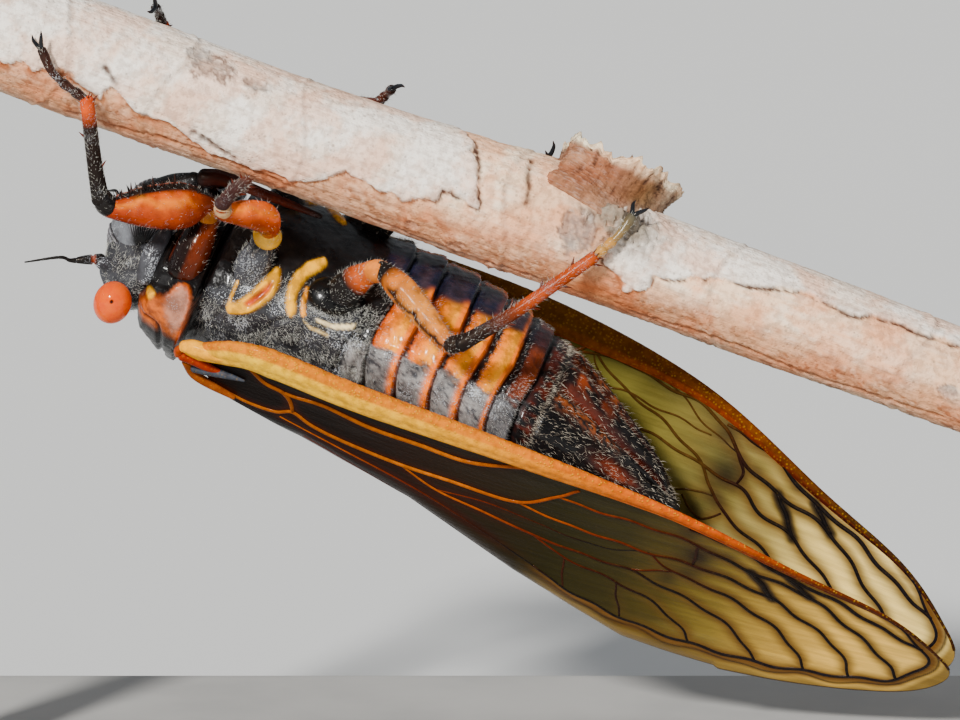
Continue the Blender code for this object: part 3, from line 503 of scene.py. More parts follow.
class Recipe:
    """A node tree written as chained calls; sockets and plain numbers mix freely."""

    def __init__(self, tree: bpy.types.NodeTree) -> None:
        """Works on a material's tree or a group's."""
        self.tree = tree

    def node(self, kind: str, **settings: object) -> Node:
        """A new node with some of its settings made."""
        made = self.tree.nodes.new(kind)
        for name, value in settings.items():
            setattr(made, name, value)
        return made

    def feed(self, socket: Socket, value: object) -> None:
        """Links a socket, or sets a number or colour on it.

        Args:
            socket: Input to fill.
            value: An output, a number or a colour.
        """
        if isinstance(value, Socket):
            self.tree.links.new(value, socket)
        elif isinstance(value, tuple) and len(socket.default_value) == 4:
            socket.default_value = (*value, 1.0)
        else:
            socket.default_value = value

    def attribute(self, name: str, colour: bool = False) -> Socket:
        """A mesh attribute, as a number or a colour."""
        made = self.node("ShaderNodeAttribute", attribute_name=name)
        return made.outputs["Color" if colour else "Fac"]

    def place(self) -> Socket:
        """Object coordinates."""
        return self.node("ShaderNodeTexCoord").outputs["Object"]

    def lie(self) -> Socket:
        """The piece's own map of its unrolled surface."""
        return self.node("ShaderNodeUVMap", uv_map="Lie").outputs["UV"]

    def tint(self) -> Socket:
        """The colours that the mesh carries."""
        return self.attribute("tint", colour=True)

    def math(self, operation: str, first: object, second: object = 0.0) -> Socket:
        """One sum, product or other operation of two values."""
        made = self.node("ShaderNodeMath", operation=operation)
        self.feed(made.inputs[0], first)
        self.feed(made.inputs[1], second)
        return made.outputs[0]

    def span(self, value: object, low: float, high: float, start: float = 0.0,
             end: float = 1.0) -> Socket:
        """A value eased from low..high to start..end."""
        made = self.node("ShaderNodeMapRange", interpolation_type="SMOOTHSTEP")
        for name, number in (("Value", value), ("From Min", low), ("From Max", high),
                             ("To Min", start), ("To Max", end)):
            self.feed(made.inputs[name], number)
        return made.outputs["Result"]

    def blend(self, mask: object, first: object, second: object,
              way: str = "MIX") -> Socket:
        """Two colours mixed by a mask.

        Args:
            mask: Share of the second colour.
            first: First colour.
            second: Second colour.
            way: How they are mixed.

        Returns:
            The mixed colour.
        """
        made = self.node("ShaderNodeMix", data_type="RGBA", blend_type=way)
        sockets = {socket.identifier: socket for socket in made.inputs}
        self.feed(sockets["Factor_Float"], mask)
        self.feed(sockets["A_Color"], first)
        self.feed(sockets["B_Color"], second)
        return next(out for out in made.outputs if out.identifier == "Result_Color")

    def noise(self, vector: object, scale: object, detail: float = 3.0,
              roughness: float = 0.55) -> Socket:
        """Fractal noise.

        Args:
            vector: Place on the surface.
            scale: Waves a unit.
            detail: Number of octaves.
            roughness: Strength of the finer octaves.

        Returns:
            Value of the noise.
        """
        made = self.node("ShaderNodeTexNoise")
        self.feed(made.inputs["Vector"], vector)
        self.feed(made.inputs["Scale"], scale)
        self.feed(made.inputs["Detail"], detail)
        self.feed(made.inputs["Roughness"], roughness)
        return made.outputs["Fac"]

    def cells(self, vector: object, scale: object) -> Socket:
        """Distance to the nearest of scattered points."""
        made = self.node("ShaderNodeTexVoronoi")
        self.feed(made.inputs["Vector"], vector)
        self.feed(made.inputs["Scale"], scale)
        return made.outputs["Distance"]

    def effect(self, effect: "Effect", vector: Socket, scale: float, contrast: float) -> Socket:
        """One of the shared effects, with its own values."""
        made = self.node("ShaderNodeGroup", node_tree=effect.tree())
        for name, value in (("Vector", vector), ("Scale", scale), ("Contrast", contrast)):
            self.feed(made.inputs[name], value)
        return made.outputs[0]

    def shade(self, mask: object, low: float, high: float, dark: Colour, pale: Colour) -> Socket:
        """Dark where the mask is low, pale where it is high."""
        return self.blend(self.span(mask, low, high), dark, pale)

    def times(self, first: object, second: object, share: float = 1.0) -> Socket:
        """Two colours multiplied, by a share."""
        return self.blend(share, first, second, "MULTIPLY")


class Effect(Enum):
    """Effects that several materials share, each built once as a node group."""

    GRAIN = "grain_and_pits"
    MOTTLE = "mottle"
    DUST = "bloom_of_dust"
    FIBRE = "fibre_streaks"

    def tree(self) -> bpy.types.NodeTree:
        """The effect's group, made at the first call.

        Returns:
            The group with its nodes.
        """
        found = bpy.data.node_groups.get(self.value)
        if found:
            return found
        tree = bpy.data.node_groups.new(self.value, "ShaderNodeTree")
        for name, kind, start in (("Vector", "NodeSocketVector", None), ("Scale", "NodeSocketFloat", 4000.0),
                                  ("Contrast", "NodeSocketFloat", 0.5)):
            socket = tree.interface.new_socket(name=name, in_out="INPUT", socket_type=kind)
            if start is not None:
                socket.default_value = start
        tree.interface.new_socket(name="Value", in_out="OUTPUT", socket_type="NodeSocketFloat")
        recipe = Recipe(tree)
        given = recipe.node("NodeGroupInput").outputs
        result = getattr(self, f"_{self.name.lower()}")(recipe, given)
        recipe.feed(recipe.node("NodeGroupOutput").inputs["Value"], result)
        return tree

    @staticmethod
    def _grain(recipe: Recipe, given: bpy.types.NodeOutputs) -> Socket:
        """Fine swells of noise with round pits: noise minus a narrow dip at each scattered point."""
        swell = recipe.noise(given["Vector"], given["Scale"], 4.0)
        pits = recipe.cells(given["Vector"], recipe.math("MULTIPLY", given["Scale"], 1.7))
        dip = recipe.span(pits, 0.08, 0.34)
        return recipe.math("ADD", swell, recipe.math("MULTIPLY", dip, given["Contrast"]))

    @staticmethod
    def _mottle(recipe: Recipe, given: bpy.types.NodeOutputs) -> Socket:
        """Soft patches: noise widened about its middle by the contrast."""
        noise = recipe.noise(given["Vector"], given["Scale"], 5.0, 0.6)
        off = recipe.math("SUBTRACT", noise, 0.5)
        wide = recipe.math("MULTIPLY", off, recipe.math("MULTIPLY", given["Contrast"], 4.0))
        return recipe.math("ADD", wide, 0.5)

    @staticmethod
    def _dust(recipe: Recipe, given: bpy.types.NodeOutputs) -> Socket:
        """Specks: scattered points thinned by a broad noise."""
        specks = recipe.cells(given["Vector"], given["Scale"])
        broad = recipe.noise(given["Vector"], 900.0, 3.0)
        size = recipe.math("MULTIPLY", recipe.span(broad, 0.35, 0.7), given["Contrast"])
        return recipe.span(recipe.math("SUBTRACT", specks, size), 0.0, -0.12)

    @staticmethod
    def _fibre(recipe: Recipe, given: bpy.types.NodeOutputs) -> Socket:
        """Long streaks: noise on a place squeezed along its first direction."""
        squeeze = recipe.node("ShaderNodeVectorMath", operation="MULTIPLY")
        recipe.feed(squeeze.inputs[0], given["Vector"])
        squeeze.inputs[1].default_value = (0.06, 1.0, 1.0)
        noise = recipe.noise(squeeze.outputs[0], given["Scale"], 5.0, 0.65)
        return recipe.math("MULTIPLY", noise, given["Contrast"])


@dataclass(frozen=True)
class Finish:
    """A material: the settings that all finishes share. Subclasses say what feeds them."""

    name: str
    roughness: float = 0.4
    coat: float = 0.0
    coat_roughness: float = 0.1
    bump: float = 0.3
    bump_distance: float = 0.00005
    specular: float = 0.35
    specular_tint: Colour = (1.0, 1.0, 1.0)

    def material(self) -> bpy.types.Material:
        """The material, made at the first call.

        Returns:
            The material with its nodes.
        """
        found = bpy.data.materials.get(self.name)
        if found:
            return found
        made = bpy.data.materials.new(self.name)
        made.use_nodes = True
        recipe = Recipe(made.node_tree)
        shader = made.node_tree.nodes["Principled BSDF"]
        for socket, value in (("Roughness", self.roughness), ("Coat Weight", self.coat),
                              ("Coat Roughness", self.coat_roughness),
                              ("Specular IOR Level", self.specular), ("Specular Tint", self.specular_tint)):
            recipe.feed(shader.inputs[socket], value)
        height = self.dress(recipe, shader)
        if height is not None:
            bump = recipe.node("ShaderNodeBump")
            bump.inputs["Strength"].default_value = self.bump
            bump.inputs["Distance"].default_value = self.bump_distance
            recipe.feed(bump.inputs["Height"], height)
            recipe.feed(shader.inputs["Normal"], bump.outputs["Normal"])
        return made

    def dress(self, recipe: Recipe, shader: Node) -> Socket | None:
        """Feeds the shader and returns the height of the bump, if any."""
        raise NotImplementedError


@dataclass(frozen=True)
class CuticleFinish(Finish):
    """Insect shell: tint from the mesh, darker and lighter patches, silvery bloom, fine pits."""

    grain_scale: float = 9000.0
    patch_scale: float = 1500.0
    patch_dark: Colour = (0.58, 0.54, 0.53)
    wet: float = 0.35

    def dress(self, recipe: Recipe, shader: Node) -> Socket:
        """Tint times mottle, with bloom where the mesh says, glossier where the mesh says.

        Args:
            recipe: Nodes of the material.
            shader: The shader that takes the looks.

        Returns:
            Colour of the surface.
        """
        place = recipe.place()
        tint = recipe.tint()
        mottle = recipe.effect(Effect.MOTTLE, place, self.patch_scale, 0.6)
        shade = recipe.shade(mottle, 0.2, 0.8, self.patch_dark, (1.2, 1.18, 1.15))
        colour = recipe.times(tint, shade)
        dust = recipe.effect(Effect.DUST, place, 14000.0, 0.55)
        amount = recipe.math("MULTIPLY", dust, recipe.attribute("bloom"))
        recipe.feed(shader.inputs["Base Color"], recipe.blend(amount, colour, SILVER))
        gloss = recipe.attribute("gloss")
        rough = recipe.span(gloss, 0.0, 1.0, 0.5, 0.13)
        recipe.feed(shader.inputs["Roughness"], recipe.math("ADD", rough, recipe.span(mottle, 0, 1, 0, 0.1)))
        recipe.feed(shader.inputs["Coat Weight"], recipe.math("MULTIPLY", gloss, self.wet))
        return recipe.effect(Effect.GRAIN, place, self.grain_scale, 0.35)


@dataclass(frozen=True)
class EyeFinish(Finish):
    """Faceted eye: orange red, darkened at its rim with painted shade, with a small dark spot and a wet
    gloss.
    """

    def dress(self, recipe: Recipe, shader: Node) -> Socket:
        """Colour from rim and spot masks of the mesh; facets are close-set scattered cells.

        Args:
            recipe: Nodes of the material.
            shader: The shader that takes the looks.

        Returns:
            Colour of the surface.
        """
        place = recipe.place()
        mottle = recipe.effect(Effect.MOTTLE, place, 2300.0, 0.5)
        colour = recipe.shade(mottle, 0.25, 0.9, (0.8, 0.1, 0.0), (0.72, 0.062, 0.0))
        # Painted shade: the rim mask darkens the eye where it enters the head.
        colour = recipe.blend(recipe.attribute("rim"), colour, (0.1, 0.01, 0.003))
        colour = recipe.blend(recipe.attribute("spot"), colour, (0.02, 0.003, 0.002))
        recipe.feed(shader.inputs["Base Color"], colour)
        shader.inputs["Subsurface Weight"].default_value = 0.15
        shader.inputs["Subsurface Radius"].default_value = (0.0006, 0.0002, 0.0001)
        shader.inputs["Subsurface Scale"].default_value = 1.0
        return recipe.cells(place, 16000.0)


@dataclass(frozen=True)
class MembraneFinish(Finish):
    """Wing membrane: tint and clearness from the mesh, fine wrinkles that glint."""

    def dress(self, recipe: Recipe, shader: Node) -> Socket:
        """Tint times a shade from the streaks; wrinkles are streaks along the wing over a fine grain.

        Args:
            recipe: Nodes of the material.
            shader: The shader that takes the looks.

        Returns:
            Colour of the surface.
        """
        lie = recipe.lie()
        tint = recipe.tint()
        streak = recipe.effect(Effect.FIBRE, lie, 3.2, 1.0)
        shade = recipe.shade(streak, 0.3, 0.7, (0.82, 0.8, 0.76), (1.12, 1.12, 1.12))
        recipe.feed(shader.inputs["Base Color"], recipe.times(tint, shade))
        recipe.feed(shader.inputs["Alpha"], recipe.attribute("cover"))
        fine = recipe.noise(lie, 5.0, 4.0)
        return recipe.math("ADD", recipe.math("MULTIPLY", streak, 0.7), recipe.math("MULTIPLY", fine, 0.5))


@dataclass(frozen=True)
class VeinFinish(Finish):
    """Wing veins: tint from the mesh, granular where the mesh says."""

    def dress(self, recipe: Recipe, shader: Node) -> Socket:
        """Grains are raised cells whose tops are painted paler, as painted glints.

        Args:
            recipe: Nodes of the material.
            shader: The shader that takes the looks.

        Returns:
            Colour of the surface.
        """
        place = recipe.place()
        tint = recipe.tint()
        grain = recipe.attribute("grain")
        cells = recipe.cells(place, 6500.0)
        # The grains are real relief; their tops are also painted paler and orange, as painted glints.
        tops = recipe.math("MULTIPLY", recipe.span(cells, 0.42, 0.12), grain)
        mottle = recipe.effect(Effect.MOTTLE, place, 2600.0, 0.4)
        shade = recipe.shade(mottle, 0.2, 0.8, (0.72, 0.66, 0.62), (1.15, 1.15, 1.15))
        colour = recipe.times(tint, shade)
        recipe.feed(shader.inputs["Base Color"],
                    recipe.blend(recipe.math("MULTIPLY", tops, 0.4), colour, (1.0, 0.55, 0.01)))
        fine = recipe.effect(Effect.GRAIN, place, 9000.0, 0.2)
        return recipe.math("ADD", recipe.math("MULTIPLY", fine, 0.35), tops)


@dataclass(frozen=True)
class HairFinish(Finish):
    """Bristles and down: tint from the mesh."""

    def dress(self, recipe: Recipe, shader: Node) -> None:
        """Tint with a slight mottle from hair to hair."""
        tint = recipe.tint()
        mottle = recipe.effect(Effect.MOTTLE, recipe.place(), 5000.0, 0.5)
        shade = recipe.shade(mottle, 0.2, 0.8, (0.7, 0.7, 0.7), (1.15, 1.15, 1.15))
        recipe.feed(shader.inputs["Base Color"], recipe.times(tint, shade))


@dataclass(frozen=True)
class BarkFinish(Finish):
    """Twig: tint from the mesh, streaks along the wood, warm and grey patches, dark specks."""

    def dress(self, recipe: Recipe, shader: Node) -> Socket:
        """Mottle in two scales over the tint, specks on top, darker in the cracks.

        Args:
            recipe: Nodes of the material.
            shader: The shader that takes the looks.

        Returns:
            Colour of the surface.
        """
        lie = recipe.lie()
        place = recipe.place()
        tint = recipe.tint()
        broad = recipe.effect(Effect.MOTTLE, place, 420.0, 0.7)
        fine = recipe.effect(Effect.MOTTLE, place, 3200.0, 0.7)
        streak = recipe.effect(Effect.FIBRE, lie, 2.6, 1.0)
        warm = recipe.shade(broad, 0.3, 0.75, (1.04, 1.03, 1.02), (1.0, 0.78, 0.68))
        colour = recipe.times(tint, warm)
        shade = recipe.shade(fine, 0.15, 0.75, (0.72, 0.68, 0.66), (1.08, 1.08, 1.08))
        colour = recipe.times(colour, shade, 0.8)
        line = recipe.shade(streak, 0.32, 0.5, (0.7, 0.6, 0.55), (1.0, 1.0, 1.0))
        colour = recipe.times(colour, line, 0.55)
        speck = recipe.effect(Effect.DUST, place, 3400.0, 0.3)
        colour = recipe.blend(recipe.math("MULTIPLY", speck, 0.4), colour, (0.16, 0.1, 0.07))
        recipe.feed(shader.inputs["Base Color"], colour)
        rough = recipe.effect(Effect.GRAIN, place, 2600.0, 0.3)
        return recipe.math("ADD", recipe.math("MULTIPLY", streak, 1.1), rough)


@dataclass(frozen=True)
class ResinFinish(Finish):
    """Cast resin base: a warm pale grey with faint clouds and a fine satin grain."""

    colour: Colour = (0.56, 0.545, 0.52)

    def dress(self, recipe: Recipe, shader: Node) -> Socket:
        """Clouds of noise in the colour, and in the roughness."""
        place = recipe.place()
        clouds = recipe.effect(Effect.MOTTLE, place, 90.0, 0.5)
        dark = tuple(0.84 * part for part in self.colour)
        recipe.feed(shader.inputs["Base Color"], recipe.shade(clouds, 0.1, 0.9, dark, self.colour))
        recipe.feed(shader.inputs["Roughness"], recipe.span(clouds, 0.1, 0.9, 0.42, 0.58))
        return recipe.effect(Effect.GRAIN, place, 5200.0, 0.25)


@dataclass(frozen=True)
class SteelFinish(Finish):
    """Painted rod: satin warm grey with fine lines round it."""

    def dress(self, recipe: Recipe, shader: Node) -> Socket:
        """Lines are noise squeezed along the rod's height.

        Args:
            recipe: Nodes of the material.
            shader: The shader that takes the looks.

        Returns:
            Colour of the surface.
        """
        place = recipe.place()
        turn = recipe.node("ShaderNodeMapping")
        recipe.feed(turn.inputs["Vector"], place)
        turn.inputs["Scale"].default_value = (0.12, 0.12, 1.0)
        lines = recipe.noise(turn.outputs["Vector"], 9000.0, 3.0)
        recipe.feed(shader.inputs["Base Color"],
                    recipe.shade(lines, 0.3, 0.7, (0.4, 0.39, 0.375), (0.6, 0.59, 0.57)))
        return lines


CUTICLE = CuticleFinish("insect_shell", bump=0.35, bump_distance=0.00006, specular=0.14)
LIMB = CuticleFinish("leg_shell", bump=0.15, bump_distance=0.00003, grain_scale=11000.0, patch_scale=1400.0,
                     patch_dark=(0.8, 0.74, 0.7), wet=0.3, specular=0.14, specular_tint=(1.0, 0.8, 0.6))
EYE = EyeFinish("eye_gloss", roughness=0.14, coat=0.5, coat_roughness=0.07, bump=0.12,
                bump_distance=0.00002, specular=0.08, specular_tint=(1.0, 0.5, 0.2))
MEMBRANE = MembraneFinish("wing_membrane_amber", roughness=0.3, coat=0.03, coat_roughness=0.1,
                          bump=0.35, bump_distance=0.00012, specular=0.07)
VEIN = VeinFinish("wing_vein", roughness=0.38, coat=0.04, coat_roughness=0.12, bump=0.6,
                  bump_distance=0.00008, specular=0.1, specular_tint=(1.0, 0.5, 0.1))
HAIR = HairFinish("bristle", roughness=0.4, specular=0.25)
BARK = BarkFinish("peeling_bark", roughness=0.78, bump=0.6, bump_distance=0.00014, specular=0.15)
RESIN = ResinFinish("cast_resin", roughness=0.5, coat=0.15, coat_roughness=0.3, bump=0.15,
                    bump_distance=0.00003)
STEEL = SteelFinish("painted_steel", roughness=0.35, coat=0.3, coat_roughness=0.15, bump=0.12,
                    bump_distance=0.00003)


# ----------------------------------------------------------------------------------------- body


@dataclass(frozen=True)
class Mark:
    """A patch of the shell, given by an outline of (station, girth) alike on both sides."""

    outline: Points
    colour: Colour
    lift: float = 0.0
    soft: float = 0.07
    gloss: float = 0.6
    bloom: float = 0.0
    down: float = 0.0
    ragged: float = 0.02


@dataclass(frozen=True)
class Seam:
    """A groove or ridge of the shell along a line of (station, girth), alike on both sides."""

    line: tuple[tuple[float, float], ...]
    lift: float
    width: float
    colour: Colour | None = None


LOBE = Mark(((0.43, 150), (0.42, 120), (0.42, 96), (0.44, 76), (0.62, 64), (0.95, 59), (1.35, 63),
             (1.6, 72), (2.0, 76), (2.45, 80), (2.66, 92), (2.7, 106), (2.35, 117), (1.7, 127),
             (1.1, 140), (0.7, 150)), (0.5, 0.1, 0.01), lift=0.24, gloss=0.6, ragged=0.03)

MARKS = (
    # Painted shade over black shell: this near-black patch without bloom or hairs between the fore and middle
    # hips stands in for the shade there.
    Mark(((2.5, 18), (1.2, 14), (-0.6, 16), (-0.85, 40), (-0.75, 62), (-0.35, 74), (0.1, 76), (0.42, 66),
          (1.2, 52), (2.4, 48)), (0.004, 0.003, 0.003), gloss=0.95, soft=0.16),
    Mark(((1.5, 57), (2.3, 60), (2.35, 70), (1.55, 67)), BLACK, lift=-0.2, gloss=0.1, down=0.3),
    Mark(((2.05, 76), (2.35, 75), (2.45, 80), (2.2, 82)), YELLOW, lift=0.05),
    Mark(((0.46, 92), (0.5, 72), (0.95, 62), (1.3, 66), (1.5, 78), (1.1, 92), (0.8, 100)), PINK_SHEEN,
         soft=0.22, gloss=0.4, bloom=0.24, ragged=0.09),
    Mark(((-1.02, 94), (-0.98, 84), (-1.3, 80), (-1.72, 66), (-2.1, 46), (-2.35, 40), (-2.62, 50),
          (-2.6, 62), (-2.3, 76), (-1.85, 88), (-1.4, 94)), YELLOW, lift=0.2, gloss=0.8, soft=0.1),
    Mark(((-1.6, 78), (-1.95, 66), (-2.3, 54), (-2.42, 60), (-2.2, 70), (-1.85, 80)), DEEP_ORANGE,
         lift=-0.16, soft=0.14),
    Mark(((-3.6, 75), (-3.22, 66), (-3.02, 48), (-3.3, 31), (-3.9, 20), (-4.1, 26), (-3.62, 40),
          (-3.5, 55), (-3.72, 68)), YELLOW, lift=0.16, gloss=0.8, soft=0.08),
    Mark(((-4.02, 70), (-3.8, 60), (-3.72, 46), (-3.9, 46), (-3.96, 58), (-4.18, 68)), (1.0, 0.36, 0.0),
         lift=0.1, gloss=0.8, soft=0.05),
    Mark(((-4.7, 66.5), (-5.3, 67.0), (-6.1, 61), (-6.95, 50), (-7.0, 53.5), (-6.2, 65), (-5.3, 71),
          (-4.7, 69.5)), (1.0, 0.8, 0.42), lift=0.14, soft=0.04, gloss=0.6),
    Mark(((-4.15, 73), (-4.6, 76), (-5.4, 77), (-5.4, 79.5), (-4.6, 78.5)),
         CREAM, lift=0.07, soft=0.05, gloss=0.5),
)

SEAMS = (
    Seam(((2.66, 100), (2.0, 98), (1.4, 102), (1.14, 124), (1.0, 140)), -0.11, 0.09, (0.09, 0.016, 0.005)),
    Seam(((0.25, 118), (-0.5, 108), (-0.85, 96), (-0.9, 84)), -0.14, 0.12),
    Seam(((-2.75, 116), (-2.9, 98), (-3.1, 86), (-3.5, 78)), -0.16, 0.13),
    Seam(((-4.3, 104), (-4.25, 92), (-4.15, 82)), -0.12, 0.12),
    Seam(((-6.05, 110), (-6.1, 92), (-6.2, 78), (-6.45, 66)), -0.2, 0.12, BLACK),
    Seam(((-6.45, 108), (-6.5, 92), (-6.6, 80), (-6.8, 70)), 0.1, 0.12),
    Seam(((-6.75, 106), (-6.8, 92), (-6.9, 82)), -0.14, 0.09, BLACK),
    Seam(((-0.95, 40), (-1.0, 62), (-0.98, 92)), 0.1, 0.07, YELLOW),
    Seam(((2.4, 176), (1.9, 160), (1.25, 148), (0.95, 132)), -0.16, 0.13),
    Seam(((2.2, 128), (1.75, 138), (1.15, 152), (1.0, 164)), -0.14, 0.12),
    Seam(((-0.2, 172), (-1.4, 166), (-2.2, 158)), -0.07, 0.1),
    Seam(((-0.15, 150), (-1.4, 146), (-2.8, 150)), -0.07, 0.1),
    Seam(((-2.5, 155), (-3.0, 166), (-3.5, 178)), 0.16, 0.22, ORANGE),
    Seam(((-4.35, 154), (-3.9, 166), (-3.5, 178)), 0.16, 0.22, ORANGE),
    Seam(((-4.3, 130), (-4.75, 150), (-4.85, 178)), -0.2, 0.14, BLACK),
)


@dataclass
class BodySkin:
    """One skin over head, thorax, abdomen and tail.

    A cross-section is a superellipse: across = half-width |sin t|^(2/p), rise = height |cos t|^(2/p),
    with p 1.55 above the widest line and 2 below. Rows follow a profile of (station, swell) that
    turns back under itself at the rear edge of each ring of the abdomen. Marks and seams then move
    the skin along its normal and give it its colours.
    """

    rows: int = 452
    sides: int = 212
    roof_power: float = 1.55
    belly_power: float = 2.0
    ring_ends: tuple[float, ...] = (-7.05, -8.5, -10.1, -11.45, -12.75, -13.85)
    belly_twist: float = 24.0
    lobe_edge: float = 0.42
    dome_at: tuple[float, float] = (-4.9, 46.0)
    dome_radius: float = 1.08
    # Station, half-width, level of the widest line, top, bottom, sideways shift.
    sections: tuple[tuple[float, ...], ...] = (
        (5.0, 0.3, -0.1, 0.1, -0.3, 0.0), (4.9, 1.25, -0.05, 0.7, -0.6, 0.0),
        (4.75, 1.9, 0.0, 1.0, -0.8, 0.0), (4.4, 2.9, 0.1, 1.6, -1.05, 0.0),
        (3.9, 3.45, 0.2, 2.1, -1.3, 0.0), (3.3, 3.65, 0.1, 2.65, -1.75, 0.0),
        (2.85, 3.5, -0.1, 2.9, -2.5, 0.0), (2.55, 3.75, -0.2, 3.1, -2.9, 0.0),
        (2.2, 4.2, -0.2, 3.5, -3.1, 0.0), (1.5, 4.5, -0.3, 3.8, -3.2, 0.0),
        (0.95, 4.6, -0.3, 3.95, -3.2, 0.0), (0.42, 4.6, -0.4, 4.0, -3.1, 0.0),
        (0.1, 3.85, -1.5, 3.75, -3.85, 0.0), (-0.6, 4.05, -1.6, 4.05, -4.05, 0.0),
        (-2.0, 4.15, -1.7, 4.15, -4.15, 0.0), (-3.4, 4.15, -1.7, 4.05, -4.15, 0.0),
        (-4.6, 4.1, -1.7, 3.7, -4.1, 0.0), (-4.9, 4.05, -1.7, 3.35, -4.1, 0.0),
        (-5.6, 4.05, -1.7, 3.25, -4.15, 0.0), (-6.6, 4.0, -1.7, 3.15, -4.1, 0.0),
        (-8.4, 4.15, -1.6, 3.15, -4.15, 0.0), (-10.5, 4.1, -1.4, 3.1, -4.0, -0.1),
        (-12.5, 3.95, -1.1, 3.1, -3.7, -0.25), (-14.6, 3.5, -0.7, 3.0, -3.05, -0.4),
        (-16.0, 3.2, -0.5, 3.0, -2.5, -0.5), (-17.3, 2.75, -0.1, 3.0, -1.8, -0.58),
        (-18.6, 2.2, 0.4, 2.9, -1.05, -0.66), (-19.8, 1.6, 0.85, 2.75, -0.35, -0.72),
        (-20.8, 1.05, 1.25, 2.5, 0.35, -0.76), (-21.6, 0.5, 1.55, 2.15, 1.0, -0.8),
        (-21.95, 0.12, 1.62, 1.8, 1.45, -0.8))
    grid: Array = field(init=False, repr=False)
    station: Array = field(init=False, repr=False)
    girth: Array = field(init=False, repr=False)
    tint: Array = field(init=False, repr=False)
    relief: Array = field(init=False, repr=False)
    gloss: Array = field(init=False, repr=False)
    bloom: Array = field(init=False, repr=False)
    down: Array = field(init=False, repr=False)

    def __post_init__(self) -> None:
        """Works out the shape and the colours."""
        station, swell = self._profile()
        turn = circle(self.sides)
        self.girth = np.degrees(np.arccos(np.clip(np.cos(turn), -1, 1)))[None, :] * np.ones((self.rows, 1))
        lean = -0.25 * np.clip((self.girth - 68.0) / 38.0, -1.0, 1.0) ** 2
        lean = lean * ease(station, -5.5, -7.0)[:, None] * ease(station, -16.0, -13.5)[:, None]
        self.station = np.broadcast_to(station[:, None], self.girth.shape) * 1.0
        base, out = self.base(self.station + lean, turn)
        move = swell[:, None] * ease(self.girth, 179.9, 150.0)
        self._paint()
        self.grid = base + out * (move + self.relief)[..., None]

    def base(self, station: Array, turn: Array) -> tuple[Array, Array]:
        """Points of the plain cross-sections and their outward directions in the section's plane.

        Args:
            station: Places along the body.
            turn: Angles about it.

        Returns:
            Points, and directions out of the skin.
        """
        table = np.array(self.sections)
        read = [np.interp(-station, -table[:, 0], table[:, column]) for column in range(1, 6)]
        half_width, level, top, bottom, shift = read
        side, up = np.sin(turn)[None, :], -np.cos(turn)[None, :]
        power = np.where(up > 0, self.roof_power, self.belly_power)
        height = np.where(up > 0, top - level, level - bottom)
        across = half_width * np.sign(side) * np.abs(side) ** (2.0 / power)
        rise = height * np.sign(up) * np.abs(up) ** (2.0 / power)
        lean = shift * (1.0 - 0.8 * np.clip(rise / (top - level), 0.0, 1.0))
        points = np.stack([station, lean + across, level + rise], axis=-1)
        out = np.stack([np.zeros_like(across),
                        np.sign(across) * (np.abs(across) / half_width) ** (power - 1) / half_width,
                        np.sign(rise) * (np.abs(rise) / height) ** (power - 1) / height], axis=-1)
        return points, unit(out)

    def _profile(self) -> tuple[Array, Array]:
        """Stations and swells of the rows: a plain run with a tucked lip at each ring's rear edge.

        Returns:
            Stations of the rows, and how far each row swells.
        """
        knots = [(5.0, 0.0), (4.9, 0.0), (3.1, 0.0), (2.85, -0.12), (2.72, -0.3), (2.6, -0.12), (2.45, 0.0),
                 (self.lobe_edge + 0.5, 0.0), (self.lobe_edge + 0.12, 0.05), (self.lobe_edge, 0.03),
                 (self.lobe_edge + 0.02, -0.3), (self.lobe_edge - 0.12, -0.4), (0.1, 0.0), (-0.2, 0.0)]
        for end in self.ring_ends:
            knots += [(end + 0.75, 0.0), (end + 0.15, 0.1), (end + 0.02, 0.09), (end, 0.03),
                      (end + 0.07, -0.1), (end - 0.02, -0.22), (end - 0.16, -0.14), (end - 0.35, -0.03)]
        knots += [(-14.75, 0.02), (-14.9, -0.12), (-15.05, -0.02), (-15.4, 0.0), (-21.6, 0.0), (-21.95, 0.0)]
        knots = np.array(knots)
        run = np.concatenate([[0.0], np.cumsum(np.hypot(*np.diff(knots, axis=0).T))])
        at = np.linspace(0.0, run[-1], self.rows)
        return np.interp(at, run, knots[:, 0]), np.interp(at, run, knots[:, 1])

    def _paint(self) -> None:
        """Paints chest, head, marks, seams, dome and collar, then the rings and the tail."""
        x, g = self.station, self.girth
        flat = np.stack([x, g * ARC_PER_DEGREE], axis=-1)
        wobble, fine = (swells(x / 30.0 + 0.5, g / 180.0, cells, seed)
                        for cells, seed in (((90, 60), 3), ((230, 150), 4)))
        chest = ease(x, 0.3, -0.2) * ease(x, -7.2, -6.4) * ease(g, 35, 62) * ease(g, 130, 112)
        head = ease(x, 2.6, 2.9) * ease(g, 175, 130)
        cavity = sum(bell(np.hypot(x - at_x, (g - at_g) * ARC_PER_DEGREE), 0.0, wide)
                     for at_x, at_g, wide in ((1.2, 38, 1.0), (-1.35, 40, 0.95)))
        self.tint = layered(np.tile(BLACK, (*x.shape, 1)), (SLATE, 0.7 * chest), (SLATE, 0.8 * head))
        self.relief = 0.03 * wobble + 0.03 * fine - 0.35 * cavity
        self.gloss = np.full(x.shape, 0.6)
        self.bloom = chest + 0.6 * head
        self.down = (chest + 0.8 * head) * (1.0 - np.clip(cavity, 0, 1))
        for mark in (LOBE, *MARKS):
            self._mark(mark, flat, fine, wobble)
        for seam in SEAMS:
            distance = line_distance(flat, smooth_line(np.array(seam.line) * (1.0, ARC_PER_DEGREE), 0.1))
            mask = bell(distance, 0.0, seam.width)
            self.relief += seam.lift * mask
            self.down *= 1.0 - 0.8 * mask
            if seam.colour:
                self.tint = layered(self.tint, (seam.colour, ease(mask, 0.35, 0.7)))
